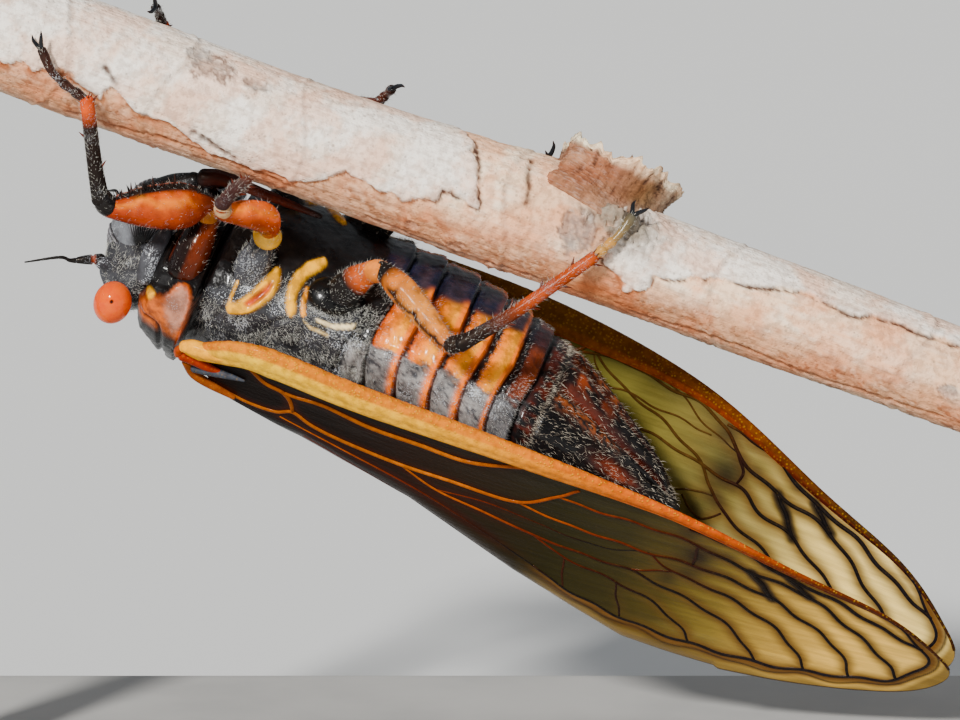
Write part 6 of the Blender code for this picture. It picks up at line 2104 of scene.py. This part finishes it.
@dataclass
class Twig:
    """The cut length of twig: peeling bark over wood, knots, and a torn side stump.

    Its rings lie along the axis from left to right; angle 0 is up and 90 degrees is the near side.
    """

    left: Colour = (-24.73, -1.56, 36.45)
    right: Colour = (24.73, -4.07, 18.52)
    radii: tuple[float, float] = (2.66, 2.11)
    rows: int = 560
    sides: int = 170
    shoulder: float = 0.72
    shoulder_span: tuple[float, float, float] = (0.33, 0.56, 0.64)
    stub_at: float = 0.583
    stub_length: float = 4.15
    stub_lean: Colour = (0.2, 0.93, -0.34)
    stub_radius: float = 2.38
    cream: Colour = (1.0, 0.92, 0.82)
    tan: Colour = (1.0, 0.7, 0.46)
    crack: Colour = (0.07, 0.032, 0.02)
    grey: Colour = (0.34, 0.29, 0.26)

    @property
    def axes(self) -> Array:
        """Rows: along the twig, towards the near side, and up."""
        way = unit(np.array(self.right) - np.array(self.left))
        side = unit(np.cross(way, (0.0, 0.0, 1.0)))
        return np.array([way, side, np.cross(side, way)])

    @property
    def length(self) -> float:
        """Length along the axis."""
        return float(np.linalg.norm(np.array(self.right) - np.array(self.left)))

    def centre(self, share: float | Array) -> Array:
        """Points of the axis at a share of its length."""
        return np.array(self.left) + share * (np.array(self.right) - np.array(self.left))

    def radius(self, share: Array, angle: Array) -> Array:
        """Radius without bark: slow taper, shallow waves, and a shoulder below the stump."""
        plain = self.radii[0] + (self.radii[1] - self.radii[0]) * share
        wave = np.sin(9.0 * share + 1.3) * np.cos(angle + 0.7)
        wave = wave + 0.6 * np.sin(23.0 * share) * np.cos(2 * angle)
        swell = np.interp(share, self.shoulder_span, (0.0, 1.0, 0.0))
        return plain - 0.035 * (1.0 + wave / 1.6) + self.shoulder * swell**1.5 * np.clip(np.cos(angle), 0, 1)

    def bark(self) -> None:
        """Grid of the whole stem: paler outer bark lies proud of the inner bark, with dark lines at
        its edges that are partly cracks and partly painted shadow under the raised edge; knots are rings
        r cos of the distance to their middle."""
        share = np.linspace(0.0, 1.0, self.rows)[:, None] * np.ones(self.sides)
        degrees = (np.arange(self.sides) * 360.0 / self.sides)[None] * np.ones((self.rows, 1))
        signed = np.where(degrees > 180.0, degrees - 360.0, degrees)
        angle = np.radians(degrees)
        arc = math.radians(1.0) * 2.4
        flat = np.stack([share * self.length, signed * arc], axis=-1)
        scale = np.array([self.length, arc])
        turn = (signed + 180.0) / 360.0
        broad = swells(share, turn, (26, 9), 31)
        middle = swells(share, turn, (90, 30), 32)
        fine = swells(share, turn, (330, 110), 33)
        fibre = swells(share, turn, (60, 120), 34)
        layer = np.full(share.shape, -9.0)

        def away_from(at: float, girth: float, long: float, wide: float) -> Array:
            """Distance to a place of the bark, over the half axes of an oval round it."""
            return np.hypot((flat[..., 0] - at * self.length) / long, (signed - girth) * arc / wide)

        for outline in (PEELED_LEFT, PEELED_RIGHT):
            edge = smooth_line(np.array(outline) * scale, 0.5, closed=True)
            layer = np.maximum(layer, depth_inside(flat, edge))
        layer = layer + 0.4 * middle + 0.12 * fine
        outer = ease(layer, -0.03, 0.05)
        relief = 0.065 * outer + 0.03 * bell(layer, 0.14, 0.12) - 0.06 * bell(layer, -0.08, 0.09)
        relief += ((0.05 * middle + 0.045 * fine) * (1.0 - 0.6 * outer) + 0.04 * fibre * (1.0 - outer)
                   + 0.05 * broad - 0.06)
        tint = layered(
            np.tile(np.array(self.tan), (*share.shape, 1)), (self.cream, outer),
            ((1.0, 0.82, 0.62), 0.7 * (1 - outer) * ease(fibre + middle, -0.1, 0.3)),
            ((0.8, 0.42, 0.22), 0.55 * (1 - outer) * ease(broad, 0.05, 0.35)),
            ((0.88, 0.68, 0.52), 0.6 * outer * ease(broad + 0.5 * middle, 0.05, 0.35)))
        burl = bell(away_from(0.612, 50, 1.7, 1.15) + 0.35 * middle, 0.0, 1.0)
        scar = np.clip(1.6 * bell(away_from(0.578, 16, 1.5, 1.0) + 0.3 * middle, 0.0, 1.0) - 0.3, 0, 1)
        # A brown patch below the stump: partly brown bark, partly the painted shadow of the hind leg.
        brown = bell(away_from(0.615, 142, 2.4, 1.25) + 0.4 * middle, 0.0, 1.0)
        relief += 0.36 * burl * (1.0 + 2.0 * middle + 2.2 * fine)
        relief -= 0.08 * scar * (1.0 + fine)
        tint = layered(
            # A dark line at the foot of the outer bark's edge: partly cracks, partly painted shadow under the
            # raised edge.
            tint, (self.crack, 1.2 * bell(layer, -0.07, 0.08) * ease(middle + fine, -0.35, 0.1)),
            ((0.88, 0.8, 0.72), 0.6 * bell(layer, 0.15, 0.1)),
            ((0.3, 0.25, 0.19), np.clip(1.4 * burl, 0, 1) * ease(middle + fine, -0.4, 0.1)),
            ((0.3, 0.14, 0.1), scar),
            ((0.55, 0.36, 0.28), 0.7 * scar * ease(fine, 0.05, 0.3)),
            (self.crack, 0.7 * ease(signed, 100, 125) * ease(fine + middle, 0.18, 0.34) * (1 - outer)),
            # Brown bark with the painted shadow of the hind leg.
            ((0.5, 0.2, 0.08), np.clip(1.2 * brown, 0, 1) * (1 - outer)),
            (self.crack, np.clip(burl, 0, 1) * ease(fine + middle, -0.15, -0.35)))
        for crack in CRACKS:
            line = smooth_line(np.array(crack) * scale, 0.4)
            off = line_distance(flat, line) + 0.16 * fine
            relief -= 0.12 * bell(off, 0.0, 0.1)
            tint = layered(tint, (self.crack, 0.95 * bell(off, 0.0, 0.12)))
        for knot in KNOTS:
            away = away_from(*knot) + 0.7 * middle + 0.5 * fine
            inside = ease(away, 1.15, 0.7)
            relief += 0.1 * bell(away, 1.0, 0.3) + 0.03 * inside * np.sin(away * 14.0 + 6.0 * middle)
            tint = layered(
                tint, ((0.5, 0.42, 0.35), 0.85 * inside),
                (self.grey, 0.8 * inside * ease(np.sin(away * 14.0 + 6.0 * middle), 0.3, -0.5)),
                (self.crack, 0.7 * bell(away, 0.95, 0.1) * ease(fine + middle, 0.1, -0.1)))
        for at, wide in ((0.145, 0.12), (0.235, 0.1), (0.345, 0.09), (0.52, 0.12), (0.7, 0.1), (0.86, 0.12)):
            ring = flat[..., 0] - at * self.length - 0.5 * np.sin(angle * 2 + at * 30)
            relief += 0.05 * bell(ring, 0.0, wide) - 0.04 * bell(ring, wide * 2, wide)
            tint = layered(tint, ((0.44, 0.32, 0.25), 0.4 * bell(ring, wide * 2, wide)))
        tint = layered(
            tint, (self.grey, 0.35 * ease(signed, 125, 160)),
            ((0.55, 0.2, 0.07), 0.65 * (1 - outer) * ease(signed, 88, 118) * ease(signed, 170, 140)))
        reach = self.radius(share, angle) + relief
        reach = reach * (1.0 - 0.02 * (ease(share, 0.006, 0.0) + ease(share, 0.994, 1.0)))
        way, side, rise = self.axes
        out = np.cos(angle)[..., None] * rise + np.sin(angle)[..., None] * side
        grid = self.centre(share[..., None]) + reach[..., None] * out
        bark = Shell().add(grid, {"tint": tint}, caps=False).build(
            "twig_bark", BARK, Slot.BARK, ("twig",), in_body=False)
        set_map(bark, np.stack([flat[..., 0], turn * 15.0], axis=-1).reshape(-1, 2))
        self._ends(grid)

    def _ends(self, grid: Array) -> None:
        """Cut faces: rings shrinking to the middle, with growth rings and a dark pith.

        Args:
            grid: Points of the stem.
        """
        shell = Shell()
        places = []
        count = 36
        for row, outward in ((0, -1.0), (-1, 1.0)):
            share = np.linspace(1.0, 0.02, count)[:, None]
            rim = grid[row]
            centre = rim.mean(axis=0)
            noise = lattice_noise(share * np.ones(self.sides), np.linspace(0, 1, self.sides, endpoint=False)
                                  [None] * np.ones((count, 1)), (12, 20), 41) - 0.5
            dish = outward * (0.05 * ease(share, 1.0, 0.9) + 0.03 * noise)
            face = centre + (rim - centre) * share[..., None] + dish[..., None] * self.axes[0]
            rings = 0.5 + 0.5 * np.sin(share * 34.0 + 3.0 * noise)
            wood = layered(
                np.tile(np.array((0.74, 0.58, 0.38)), (count, self.sides, 1)),
                ((0.52, 0.36, 0.21), 0.7 * rings),
                ((0.2, 0.12, 0.07), ease(share, 0.93, 0.97) * np.ones_like(rings)),
                ((0.16, 0.09, 0.05), ease(share, 0.14, 0.08) * np.ones_like(rings)))
            bottom = face[::-1] - outward * 0.35 * self.axes[0]
            whole = np.concatenate([face[::-1], bottom[::-1][:1]])
            shell.add(whole, {"tint": np.concatenate([wood[::-1], wood[:1]])})
            place = np.stack([share * 3.0 * np.ones(self.sides), np.linspace(0, 15, self.sides)[None]
                              * np.ones((count, 1))], axis=-1)[::-1]
            ends = (place[0].mean(axis=0), place[-1].mean(axis=0))
            places.append(np.vstack([np.concatenate([place, place[-1:]]).reshape(-1, 2), *ends]))
        ends = shell.build("twig_cut_ends", BARK, Slot.BARK, ("twig",), in_body=False)
        set_map(ends, np.vstack(places))

    def stump(self) -> None:
        """Torn side stump: a short stub whose rim is ragged, with a scar face and frayed fibres."""
        way, side, rise = self.axes
        lean = self.stub_lean
        up = unit(lean[0] * way + lean[1] * rise + lean[2] * side)
        across = unit(np.cross(up, side))
        other = np.cross(across, up)
        rows, sides = 110, 200
        angle = circle(sides)

        def facing(middle: float, wide: float) -> Array:
            """How far a column faces a direction round the stump."""
            return bell(np.abs(np.angle(np.exp(1j * (angle - middle)))), 0.0, wide)[None]

        turn = (angle / (2 * math.pi))[None] * np.ones((rows, 1))
        wall = 76
        height = np.concatenate([np.linspace(0.25, 1.0, wall), np.ones(rows - wall)])[:, None]
        shrink = np.concatenate([np.ones(wall), np.linspace(0.97, 0.03, rows - wall)])[:, None]
        rugged = swells(height * 0.9, turn, (9, 26), 51)
        fibre = swells(height * 0.3 + shrink * 0.1, turn, (14, 90), 52)
        crumb = swells(height + shrink, turn, (90, 100), 53)
        foot = 1.0 + 0.1 * ease(height, 0.7, 0.4)
        coarse = swells(height * 0.6, turn, (5, 9), 56)
        reach = self.stub_radius * foot * (1.0 + 0.06 * np.sin(3 * angle + 2 * height)
                                           + 0.05 * np.cos(5 * angle))
        reach = reach * (1.0 + 0.14 * ease(np.cos(angle), 0.0, -1.0))
        reach = reach * (1.0 + 0.3 * coarse + 0.1 * rugged + 0.03 * fibre + 0.04 * crumb) * shrink
        rim = lattice_noise(np.full((1, sides), 0.4), turn[:1], (3, 22), 54)[0]
        teeth = lattice_noise(np.full((1, sides), 0.4), turn[:1], (3, 70), 57)[0]
        level = self.stub_length * (0.93 - 0.08 * np.cos(angle) ** 2 - 0.12 * facing(0.5 * math.pi, 0.9)[0]
                                    + 0.16 * ease(np.cos(angle), 0.2, 1.0))
        ragged = self.stub_length * (0.14 * rim + 0.1 * teeth**2 - 0.08)
        top = ease(shrink, 1.0, 0.8)
        hollow = 0.5 + 0.9 * (lattice_noise(shrink, turn, (9, 26), 55) - 0.35)
        lift = height * level + ragged * ease(height, 0.8, 1.0) - top * hollow
        lift = lift + 0.12 * crumb * ease(height, 0.5, 1.0)
        grid = (self.centre(self.stub_at) + lift[..., None] * up + (reach * np.cos(angle))[..., None] * across
                + (reach * np.sin(angle))[..., None] * other)
        tint = layered(
            np.tile(np.array((0.34, 0.24, 0.17)), (rows, sides, 1)),
            ((0.62, 0.47, 0.33), ease(rugged, -0.1, 0.25)),
            ((0.1, 0.055, 0.035), 0.8 * ease(coarse + 0.6 * fibre, 0.0, -0.25)))
        scar = facing(2.15, 0.8) * ease(height, 0.16, 0.26) * ease(height, 0.98, 0.86)
        tint = layered(
            tint, ((0.3, 0.135, 0.07), 1.3 * scar),
            ((0.44, 0.22, 0.12), 0.7 * np.clip(scar, 0, 1) * ease(rugged, 0.02, 0.22)),
            ((0.5, 0.34, 0.28), 0.4 * np.clip(scar, 0, 1) * ease(crumb, 0.1, 0.3)),
            ((0.16, 0.075, 0.02), 0.85 * facing(1.0, 0.5) * ease(height, 0.5, 0.65)
             * ease(height, 0.96, 0.84)),
            (self.crack, 0.9 * facing(3.0, 0.22) * ease(height, 0.3, 0.45)))
        crest = ease(height, 0.86, 0.97) * ease(shrink, 0.45, 0.75)
        tint = layered(
            tint, ((0.97, 0.84, 0.6), 0.95 * crest),
            ((0.45, 0.25, 0.11), 0.7 * crest * ease(fibre + crumb, 0.15, 0.4)),
            ((0.3, 0.19, 0.13), 0.8 * ease(shrink, 0.85, 0.5) * ease(fibre, 0.25, -0.15)),
            (self.crack, 0.8 * ease(fibre + 0.4 * crumb, -0.2, -0.42)))
        stump = Shell().add(grid, {"tint": tint}).build(
            "twig_stump", BARK, Slot.BARK, ("twig",), in_body=False)
        lie = np.stack([height * 4.0 + (1 - shrink) * 2.0 + 0 * turn, turn * 15.0], axis=-1).reshape(-1, 2)
        set_map(stump, np.vstack([lie, lie[:1], lie[-1:]]))

    def build(self) -> None:
        """Stem, cut ends and stump."""
        self.bark()
        self.stump()


# ---------------------------------------------------------------------------------------- stand


@dataclass
class Stand:
    """A plain slab with two short rods that end in a saddle under the twig."""

    size: tuple[float, float, float] = (55.0, 30.0, 4.0)
    corner: float = 3.0
    bevel: float = 0.6
    rod_radius: float = 1.5
    rod_shares: tuple[float, float] = (0.042, 0.958)
    gap: float = 0.3

    def base(self) -> None:
        """Slab: a rounded rectangle carried up a profile whose top edge is a quarter circle."""
        steps = np.linspace(0.0, 0.5 * math.pi, 16)
        outline = []
        straight = 10
        for index, (x, y) in enumerate(((1, 1), (-1, 1), (-1, -1), (1, -1))):
            turned = steps + index * 0.5 * math.pi
            outline.append(np.column_stack([
                x * (self.size[0] / 2 - self.corner) + self.corner * np.cos(turned),
                y * (self.size[1] / 2 - self.corner) + self.corner * np.sin(turned)]))
        closed = outline + [outline[0]]
        whole = []
        for first, second in zip(closed[:-1], closed[1:]):
            share = np.linspace(0, 1, straight)[1:-1, None]
            whole += [first, first[-1] + (second[0] - first[-1]) * share]
        rim = np.vstack(whole)
        past = np.abs(rim) - np.array(self.size[:2]) / 2 + self.corner
        out = unit(np.sign(rim) * np.maximum(past, 0))
        turn = np.linspace(0, 0.5 * math.pi, 8)
        inset = np.concatenate([[0.25, 0.0, 0.0], self.bevel * (1 - np.cos(turn)), [1.2]])
        level = np.concatenate([[0.0, 0.25, 0.6], self.size[2] - self.bevel + self.bevel * np.sin(turn),
                                [self.size[2]]])
        rings = [np.column_stack([rim - out * shift, np.full(len(rim), high)])
                 for shift, high in zip(inset, level)]
        shrink = [np.column_stack([(rim - out * 1.2) * share, np.full(len(rim), self.size[2])])
                  for share in (0.85, 0.6, 0.3, 0.05)]
        Shell().add(np.array(rings + shrink), {"tint": (0.5, 0.5, 0.5)}).build(
            "stand_slab", RESIN, Slot.RESIN, ("stand_base",), in_body=False)

    def rods(self, twig: Twig) -> None:
        """Rods: circles from just above the slab to a saddle, z = twig's underside less the gap.

        Args:
            twig: The twig that rests on the rods.
        """
        way = twig.axes[0]
        for word, share in zip(("left", "right"), self.rod_shares):
            centre = twig.centre(share)
            angle = circle(64)
            reach = np.array([0.94, *np.ones(22), 0.985, *np.linspace(0.97, 0.03, 14)]) * self.rod_radius
            x = centre[0] + reach[:, None] * np.cos(angle)
            y = centre[1] + reach[:, None] * np.sin(angle)
            radius = twig.radii[0] + (twig.radii[1] - twig.radii[0]) * share + self.gap
            rel = np.stack([x - centre[0], y - centre[1], np.zeros_like(x)], axis=-1)
            flat = rel - (rel @ way)[..., None] * way
            lift = np.array([0.0, 0.0, 1.0]) - way * way[2]
            a, b = lift @ lift, np.einsum("ijk,k->ij", flat, lift)
            c = np.einsum("ijk,ijk->ij", flat, flat) - radius**2
            top = centre[2] + (-b - np.sqrt(np.maximum(b * b - a * c, 0.0))) / a
            low = self.size[2] + self.gap
            climb = np.concatenate([[0.0, 0.02], np.linspace(0.05, 0.985, 20), [0.995, 1.0], np.ones(14)])
            z = low + (top - low) * climb[:, None]
            Shell().add(np.stack([x, y, z], axis=-1), {"tint": (0.5, 0.5, 0.5)}).build(
                f"stand_post_{word}", STEEL, Slot.STEEL, (f"stand_rod_{word}",), in_body=False)

    def build(self, twig: Twig) -> None:
        """Slab and both rods."""
        self.base()
        self.rods(twig)


# ---------------------------------------------------------------------------------------- coats


@dataclass
class Coat:
    """A coat of hairs: thin three-sided spikes rooted on a grid of skin.

    A hair is a root triangle of radius w, an optional bent middle ring of radius 0.7 w, and a tip.
    Its direction is lean * (along the skin) + (1 - lean) * (out of the skin) plus seeded scatter.
    """

    name: str
    count: int
    length: tuple[float, float]
    width: float
    lean: float
    seed: int
    bent: bool = False
    scatter: float = 0.25
    whiteness: tuple[Colour, Colour] = ((0.62, 0.58, 0.46), (0.85, 0.8, 0.66))
    points: list[Array] = field(default_factory=list, repr=False)
    faces: list[Array] = field(default_factory=list, repr=False)
    tints: list[Array] = field(default_factory=list, repr=False)
    places: list[Array] = field(default_factory=list, repr=False)

    def grow(self, grid: Array, normals: Array, flow: Array, density: Array,
             place: Array, skin_tint: Array | None = None, skin_share: float = 0.0) -> None:
        """Adds hairs to one grid.

        Args:
            grid: Points (rows, sides, 3) of the skin, in the insect's frame.
            normals: Its outward directions.
            flow: Direction along the skin that hairs lean to, of the same shape.
            density: Relative number of hairs at each point.
            place: Unwrapped place (0 to 1 twice) of each point.
            skin_tint: Colours of the skin.
            skin_share: How far hairs take the skin's colour.
        """
        rng = np.random.default_rng(self.seed + len(self.points))
        rows, sides = grid.shape[:2]
        after = np.roll(grid, -1, axis=1)
        area = np.zeros((rows, sides))
        area[:-1] = np.linalg.norm(np.cross(grid[1:] - grid[:-1], after[:-1] - grid[:-1]), axis=-1)
        chance = (area * density).ravel()
        total = chance.sum()
        if total <= 0:
            return
        picked = np.searchsorted(np.cumsum(chance) / total, rng.random(self.count))
        picked = np.minimum(picked, rows * sides - sides - 1)
        i, j = np.divmod(picked, sides)
        a, b = rng.random(self.count), rng.random(self.count)

        def mix(values: Array) -> Array:
            """Blends the four corners round each root."""
            k = (j + 1) % sides
            low = values[i, j] * (1 - b)[:, None] + values[i, k] * b[:, None]
            high = values[i + 1, j] * (1 - b)[:, None] + values[i + 1, k] * b[:, None]
            return low * (1 - a)[:, None] + high * a[:, None]

        root, out, along = mix(grid), unit(mix(normals)), unit(mix(flow))
        reach = rng.uniform(*self.length, self.count)
        way = unit(self.lean * along + (1 - self.lean) * out + rng.normal(0, self.scatter, (self.count, 3)))
        way = unit(way + out * np.maximum(0.0, 0.12 - np.einsum("ij,ij->i", way, out))[:, None])
        beside = unit(np.cross(way, out + 0.01))
        other = np.cross(way, beside)
        turn = circle(3)
        ring = np.cos(turn)[None, :, None] * beside[:, None] + np.sin(turn)[None, :, None] * other[:, None]
        width = self.width * rng.uniform(0.8, 1.2, self.count)[:, None, None]
        base = (root - 0.05 * out)[:, None] + ring * width * 0.5
        if self.bent:
            sag = unit(way + 0.45 * along - 0.12 * out)
            middle = root + way * reach[:, None] * 0.5
            tip = middle + sag * reach[:, None] * 0.5
            points = np.concatenate([base, middle[:, None] + ring * width * 0.38, tip[:, None]], axis=1)
            faces = np.array([(0, 2, 1, -1), (0, 1, 4, 3), (1, 2, 5, 4), (2, 0, 3, 5), (3, 4, 6, -1),
                              (4, 5, 6, -1), (5, 3, 6, -1)])
        else:
            tip = root + way * reach[:, None]
            points = np.concatenate([base, tip[:, None]], axis=1)
            faces = np.array([(0, 2, 1, -1), (0, 1, 3, -1), (1, 2, 3, -1), (2, 0, 3, -1)])
        step = points.shape[1]
        base_index = sum(len(done) for done in self.points)
        offset = (np.arange(self.count) * step + base_index)[:, None, None]
        self.points.append(points.reshape(-1, 3))
        self.faces.append(np.where(faces[None] >= 0, faces[None] + offset, -1).reshape(-1, 4))
        low, high = (np.array(colour) for colour in self.whiteness)
        tint = low + (high - low) * rng.random((self.count, 1))
        if skin_tint is not None:
            tint = tint * (1 - skin_share) + mix(skin_tint) * skin_share
        self.tints.append(np.repeat(tint, step, axis=0))
        where = mix(place)[:, None] + rng.uniform(-0.5, 0.5, (self.count, 1, 2)) * 0.001
        spread = np.stack([np.linspace(0, 0.0015, step), np.linspace(0, 0.0008, step)[::-1]], axis=-1)
        self.places.append((where + spread[None]).reshape(-1, 2))

    def build(self, slot: Slot) -> None:
        """One mesh of all hairs, with each root's place on the unwrapped skin as its UV."""
        shell = Shell()
        shell.points = [np.vstack(self.points)]
        shell.faces = [np.vstack(self.faces)]
        shell.values = [{"tint": np.vstack(self.tints)}]
        set_map(shell.build(self.name, HAIR, slot), np.vstack(self.places), "OFBake")


@dataclass
class Down:
    """All coats of the insect, grown on the body skin and the legs."""

    skin: BodySkin
    legs: tuple[Leg, ...]

    def build(self) -> None:
        """Chest and head fuzz, ring fuzz, tail bristles and leg hairs."""
        skin = self.skin
        grid, normals = skin.grid, grid_normals(skin.grid)
        x, g = skin.station, skin.girth
        rows, sides = x.shape
        back = unit(np.gradient(grid, axis=0))
        place = np.stack(np.meshgrid(np.linspace(0.01, 0.99, rows), np.linspace(0.01, 0.99, sides),
                                     indexing="ij"), axis=-1)
        bare = lattice_noise(x / 30.0 + 0.5, g / 180.0, (44, 26), 7)
        chest = skin.down * ease(x, -7.2, -6.8) * (0.16 + 0.84 * ease(bare, 0.36, 0.56))
        rings = skin.down * ease(x, -6.6, -7.0) * ease(x, -14.4, -13.8)
        tail = skin.down * ease(x, -13.9, -14.6)
        fringe = bell(x, -14.75, 0.12) * ease(g, 10, 25)
        over = ease(g, 130, 155) * ease(x, 0.2, -0.3) * ease(x, -14.6, -13.0) * 0.5
        for coat, *growths in (
                (Coat("chest_down", 15500, (0.14, 0.34), 0.014, 0.6, 71, scatter=0.45,
                      whiteness=((0.55, 0.54, 0.48), (1.0, 0.98, 0.88))),
                 (15500, back + np.array((0.0, 0.0, -0.5)), chest)),
                (Coat("ring_down", 10500, (0.12, 0.28), 0.016, 0.8, 72, scatter=0.2,
                      whiteness=((0.5, 0.49, 0.46), (0.88, 0.86, 0.8))), (10500, back, rings)),
                (Coat("tail_bristles", 4400, (0.2, 0.42), 0.012, 0.62, 73, bent=True, scatter=0.34,
                      whiteness=((0.2, 0.15, 0.11), (0.98, 0.88, 0.7))),
                 (4400, back, tail), (700, back + 0.3 * normals, fringe)),
                (Coat("back_down", 5000, (0.16, 0.32), 0.024, 0.78, 74, scatter=0.2,
                      whiteness=((0.3, 0.24, 0.14), (0.62, 0.5, 0.3))), (5000, back, over))):
            for coat.count, flow, density in growths:
                coat.grow(grid, normals, flow, density, place)
            coat.build(Slot.BLACK)
        coat = Coat("leg_down", 0, (0.12, 0.3), 0.022, 0.6, 75, scatter=0.25,
                    whiteness=((0.42, 0.42, 0.4), (0.8, 0.77, 0.66)))
        for leg in self.legs:
            for index, (limb, out, tint) in enumerate(leg.hairs):
                rows, sides = limb.shape[:2]
                run = np.linspace(0, 1, rows)[:, None] * np.ones(sides)
                girth = np.linspace(0, 1, sides)[None] * np.ones((rows, 1))
                area = float(np.linalg.norm(np.diff(limb, axis=0), axis=-1).sum() * np.linalg.norm(
                    np.roll(limb, -1, axis=1) - limb, axis=-1).mean())
                furry = index in (4, 5, 6, 7) or (index == 0 and leg.kind is not LegKind.FORE) \
                    or (index in (2, 3) and leg.kind is LegKind.HIND)
                coat.count = int(area * (40 if furry else 12))
                if coat.count < 5:
                    continue
                cell = np.stack([0.02 + 0.96 * run, 0.02 + 0.96 * girth], axis=-1)
                coat.grow(limb, out, unit(np.gradient(limb, axis=0)), ease(run, 0.02, 0.1), cell, tint,
                          0.0 if furry else 0.3)
        coat.build(Slot.ORANGE)


# ---------------------------------------------------------------------------------------- stage


@dataclass(frozen=True)
class FloorFinish(Finish):
    """Seamless paper: almost white with faint clouds and a fine tooth."""

    def dress(self, recipe: Recipe, shader: Node) -> Socket:
        """Clouds of noise in the colour; the tooth is a fine grain."""
        place = recipe.place()
        clouds = recipe.effect(Effect.MOTTLE, place, 2.5, 0.3)
        recipe.feed(shader.inputs["Base Color"],
                    recipe.shade(clouds, 0.0, 1.0, (0.88, 0.88, 0.87), (0.93, 0.93, 0.92)))
        return recipe.effect(Effect.GRAIN, place, 1400.0, 0.2)


FLOOR = FloorFinish("studio_paper", roughness=0.85, bump=0.06, bump_distance=0.00005)


@dataclass
class Stage:
    """Floor, soft lights and camera."""

    lean: float = math.radians(8.0)
    target: Colour = (0.0, 0.0, 0.0205)
    distance: float = 0.25
    lens: float = 220.3
    sensor: float = 36.0
    floor_size: float = 12.0
    key_from: Colour = (-0.36, -0.8, 0.48)
    fill_from: Colour = (0.5, -0.85, 0.15)

    def camera(self) -> None:
        """Camera on the near side, looking level into the scene and slightly down."""
        data = bpy.data.cameras.new("view")
        data.sensor_width, data.lens = self.sensor, self.lens
        data.clip_start, data.clip_end = 0.01, 50.0
        camera = placed("view", data)
        camera.location = (self.target[0], self.target[1] - self.distance * math.cos(self.lean),
                           self.target[2] + self.distance * math.sin(self.lean))
        camera.rotation_euler = (0.5 * math.pi - self.lean, 0.0, 0.0)
        bpy.context.scene.camera = camera

    def floor(self) -> None:
        """A wide sheet of pale paper, in a grid of quads."""
        steps = np.linspace(-0.5, 0.5, 9) * self.floor_size
        x, y = np.meshgrid(steps, steps, indexing="ij")
        points = np.stack([x, y, np.full_like(x, -0.0001)], axis=-1).reshape(-1, 3)
        index = np.arange(81).reshape(9, 9)
        quads = np.stack([index[:-1, :-1], index[1:, :-1], index[1:, 1:], index[:-1, 1:]],
                         axis=-1).reshape(-1, 4)
        mesh = bpy.data.meshes.new("studio_floor")
        mesh.from_pydata(points.tolist(), [], quads.tolist())
        mesh.materials.append(FLOOR.material())
        obj = placed("studio_floor", mesh)
        obj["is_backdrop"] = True

    def lights(self) -> None:
        """A soft key light from the upper left front, a weaker fill from the right, and pale air."""
        for name, towards, strength, spread, colour in (
                ("key", self.key_from, 5.3, 8.0, (1.0, 0.985, 0.95)),
                ("fill", self.fill_from, 0.7, 50.0, (0.94, 0.97, 1.0))):
            data = bpy.data.lights.new(name, "SUN")
            data.energy, data.angle, data.color = strength, math.radians(spread), colour
            lamp = placed(name, data)
            lamp.visible_glossy = name == "key"
            way = -unit(np.array(towards))
            lamp.rotation_euler = (math.acos(float(-way[2])), 0.0,
                                   math.atan2(float(way[1]), float(way[0])) - 0.5 * math.pi)
        world = bpy.data.worlds.new("pale_air")
        world.use_nodes = True
        air = world.node_tree.nodes["Background"]
        air.inputs["Color"].default_value = (0.9, 0.95, 1.0, 1.0)
        air.inputs["Strength"].default_value = 0.25
        bpy.context.scene.world = world

    def build(self) -> None:
        """All three."""
        self.camera()
        self.floor()
        self.lights()


def plain(bounds: tuple) -> list[list[float]]:
    """A box as plain lists of numbers."""
    return [[float(number) for number in corner] for corner in bounds]


def main() -> None:
    """Builds the model piece by piece and keeps the sizes before and after."""
    logging.basicConfig(level=logging.INFO, format="%(message)s")
    sizes = {"cad": plain(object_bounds())}
    Stage().build()
    skin = BodySkin()
    skin.build()
    head = HeadParts()
    head.face()
    head.eyes()
    head.antennae()
    head.beak()
    for leg in LEGS:
        leg.build()
    for side in Side:
        ForeWing(side).build()
        HindWing(side).build()
    twig = Twig()
    twig.build()
    Stand().build(twig)
    Down(skin, LEGS).build()
    bpy.context.view_layer.update()
    sizes["visual"] = plain(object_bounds())
    LOG.info("boxes: %s", sizes)


if __name__ == "__main__":
    main()
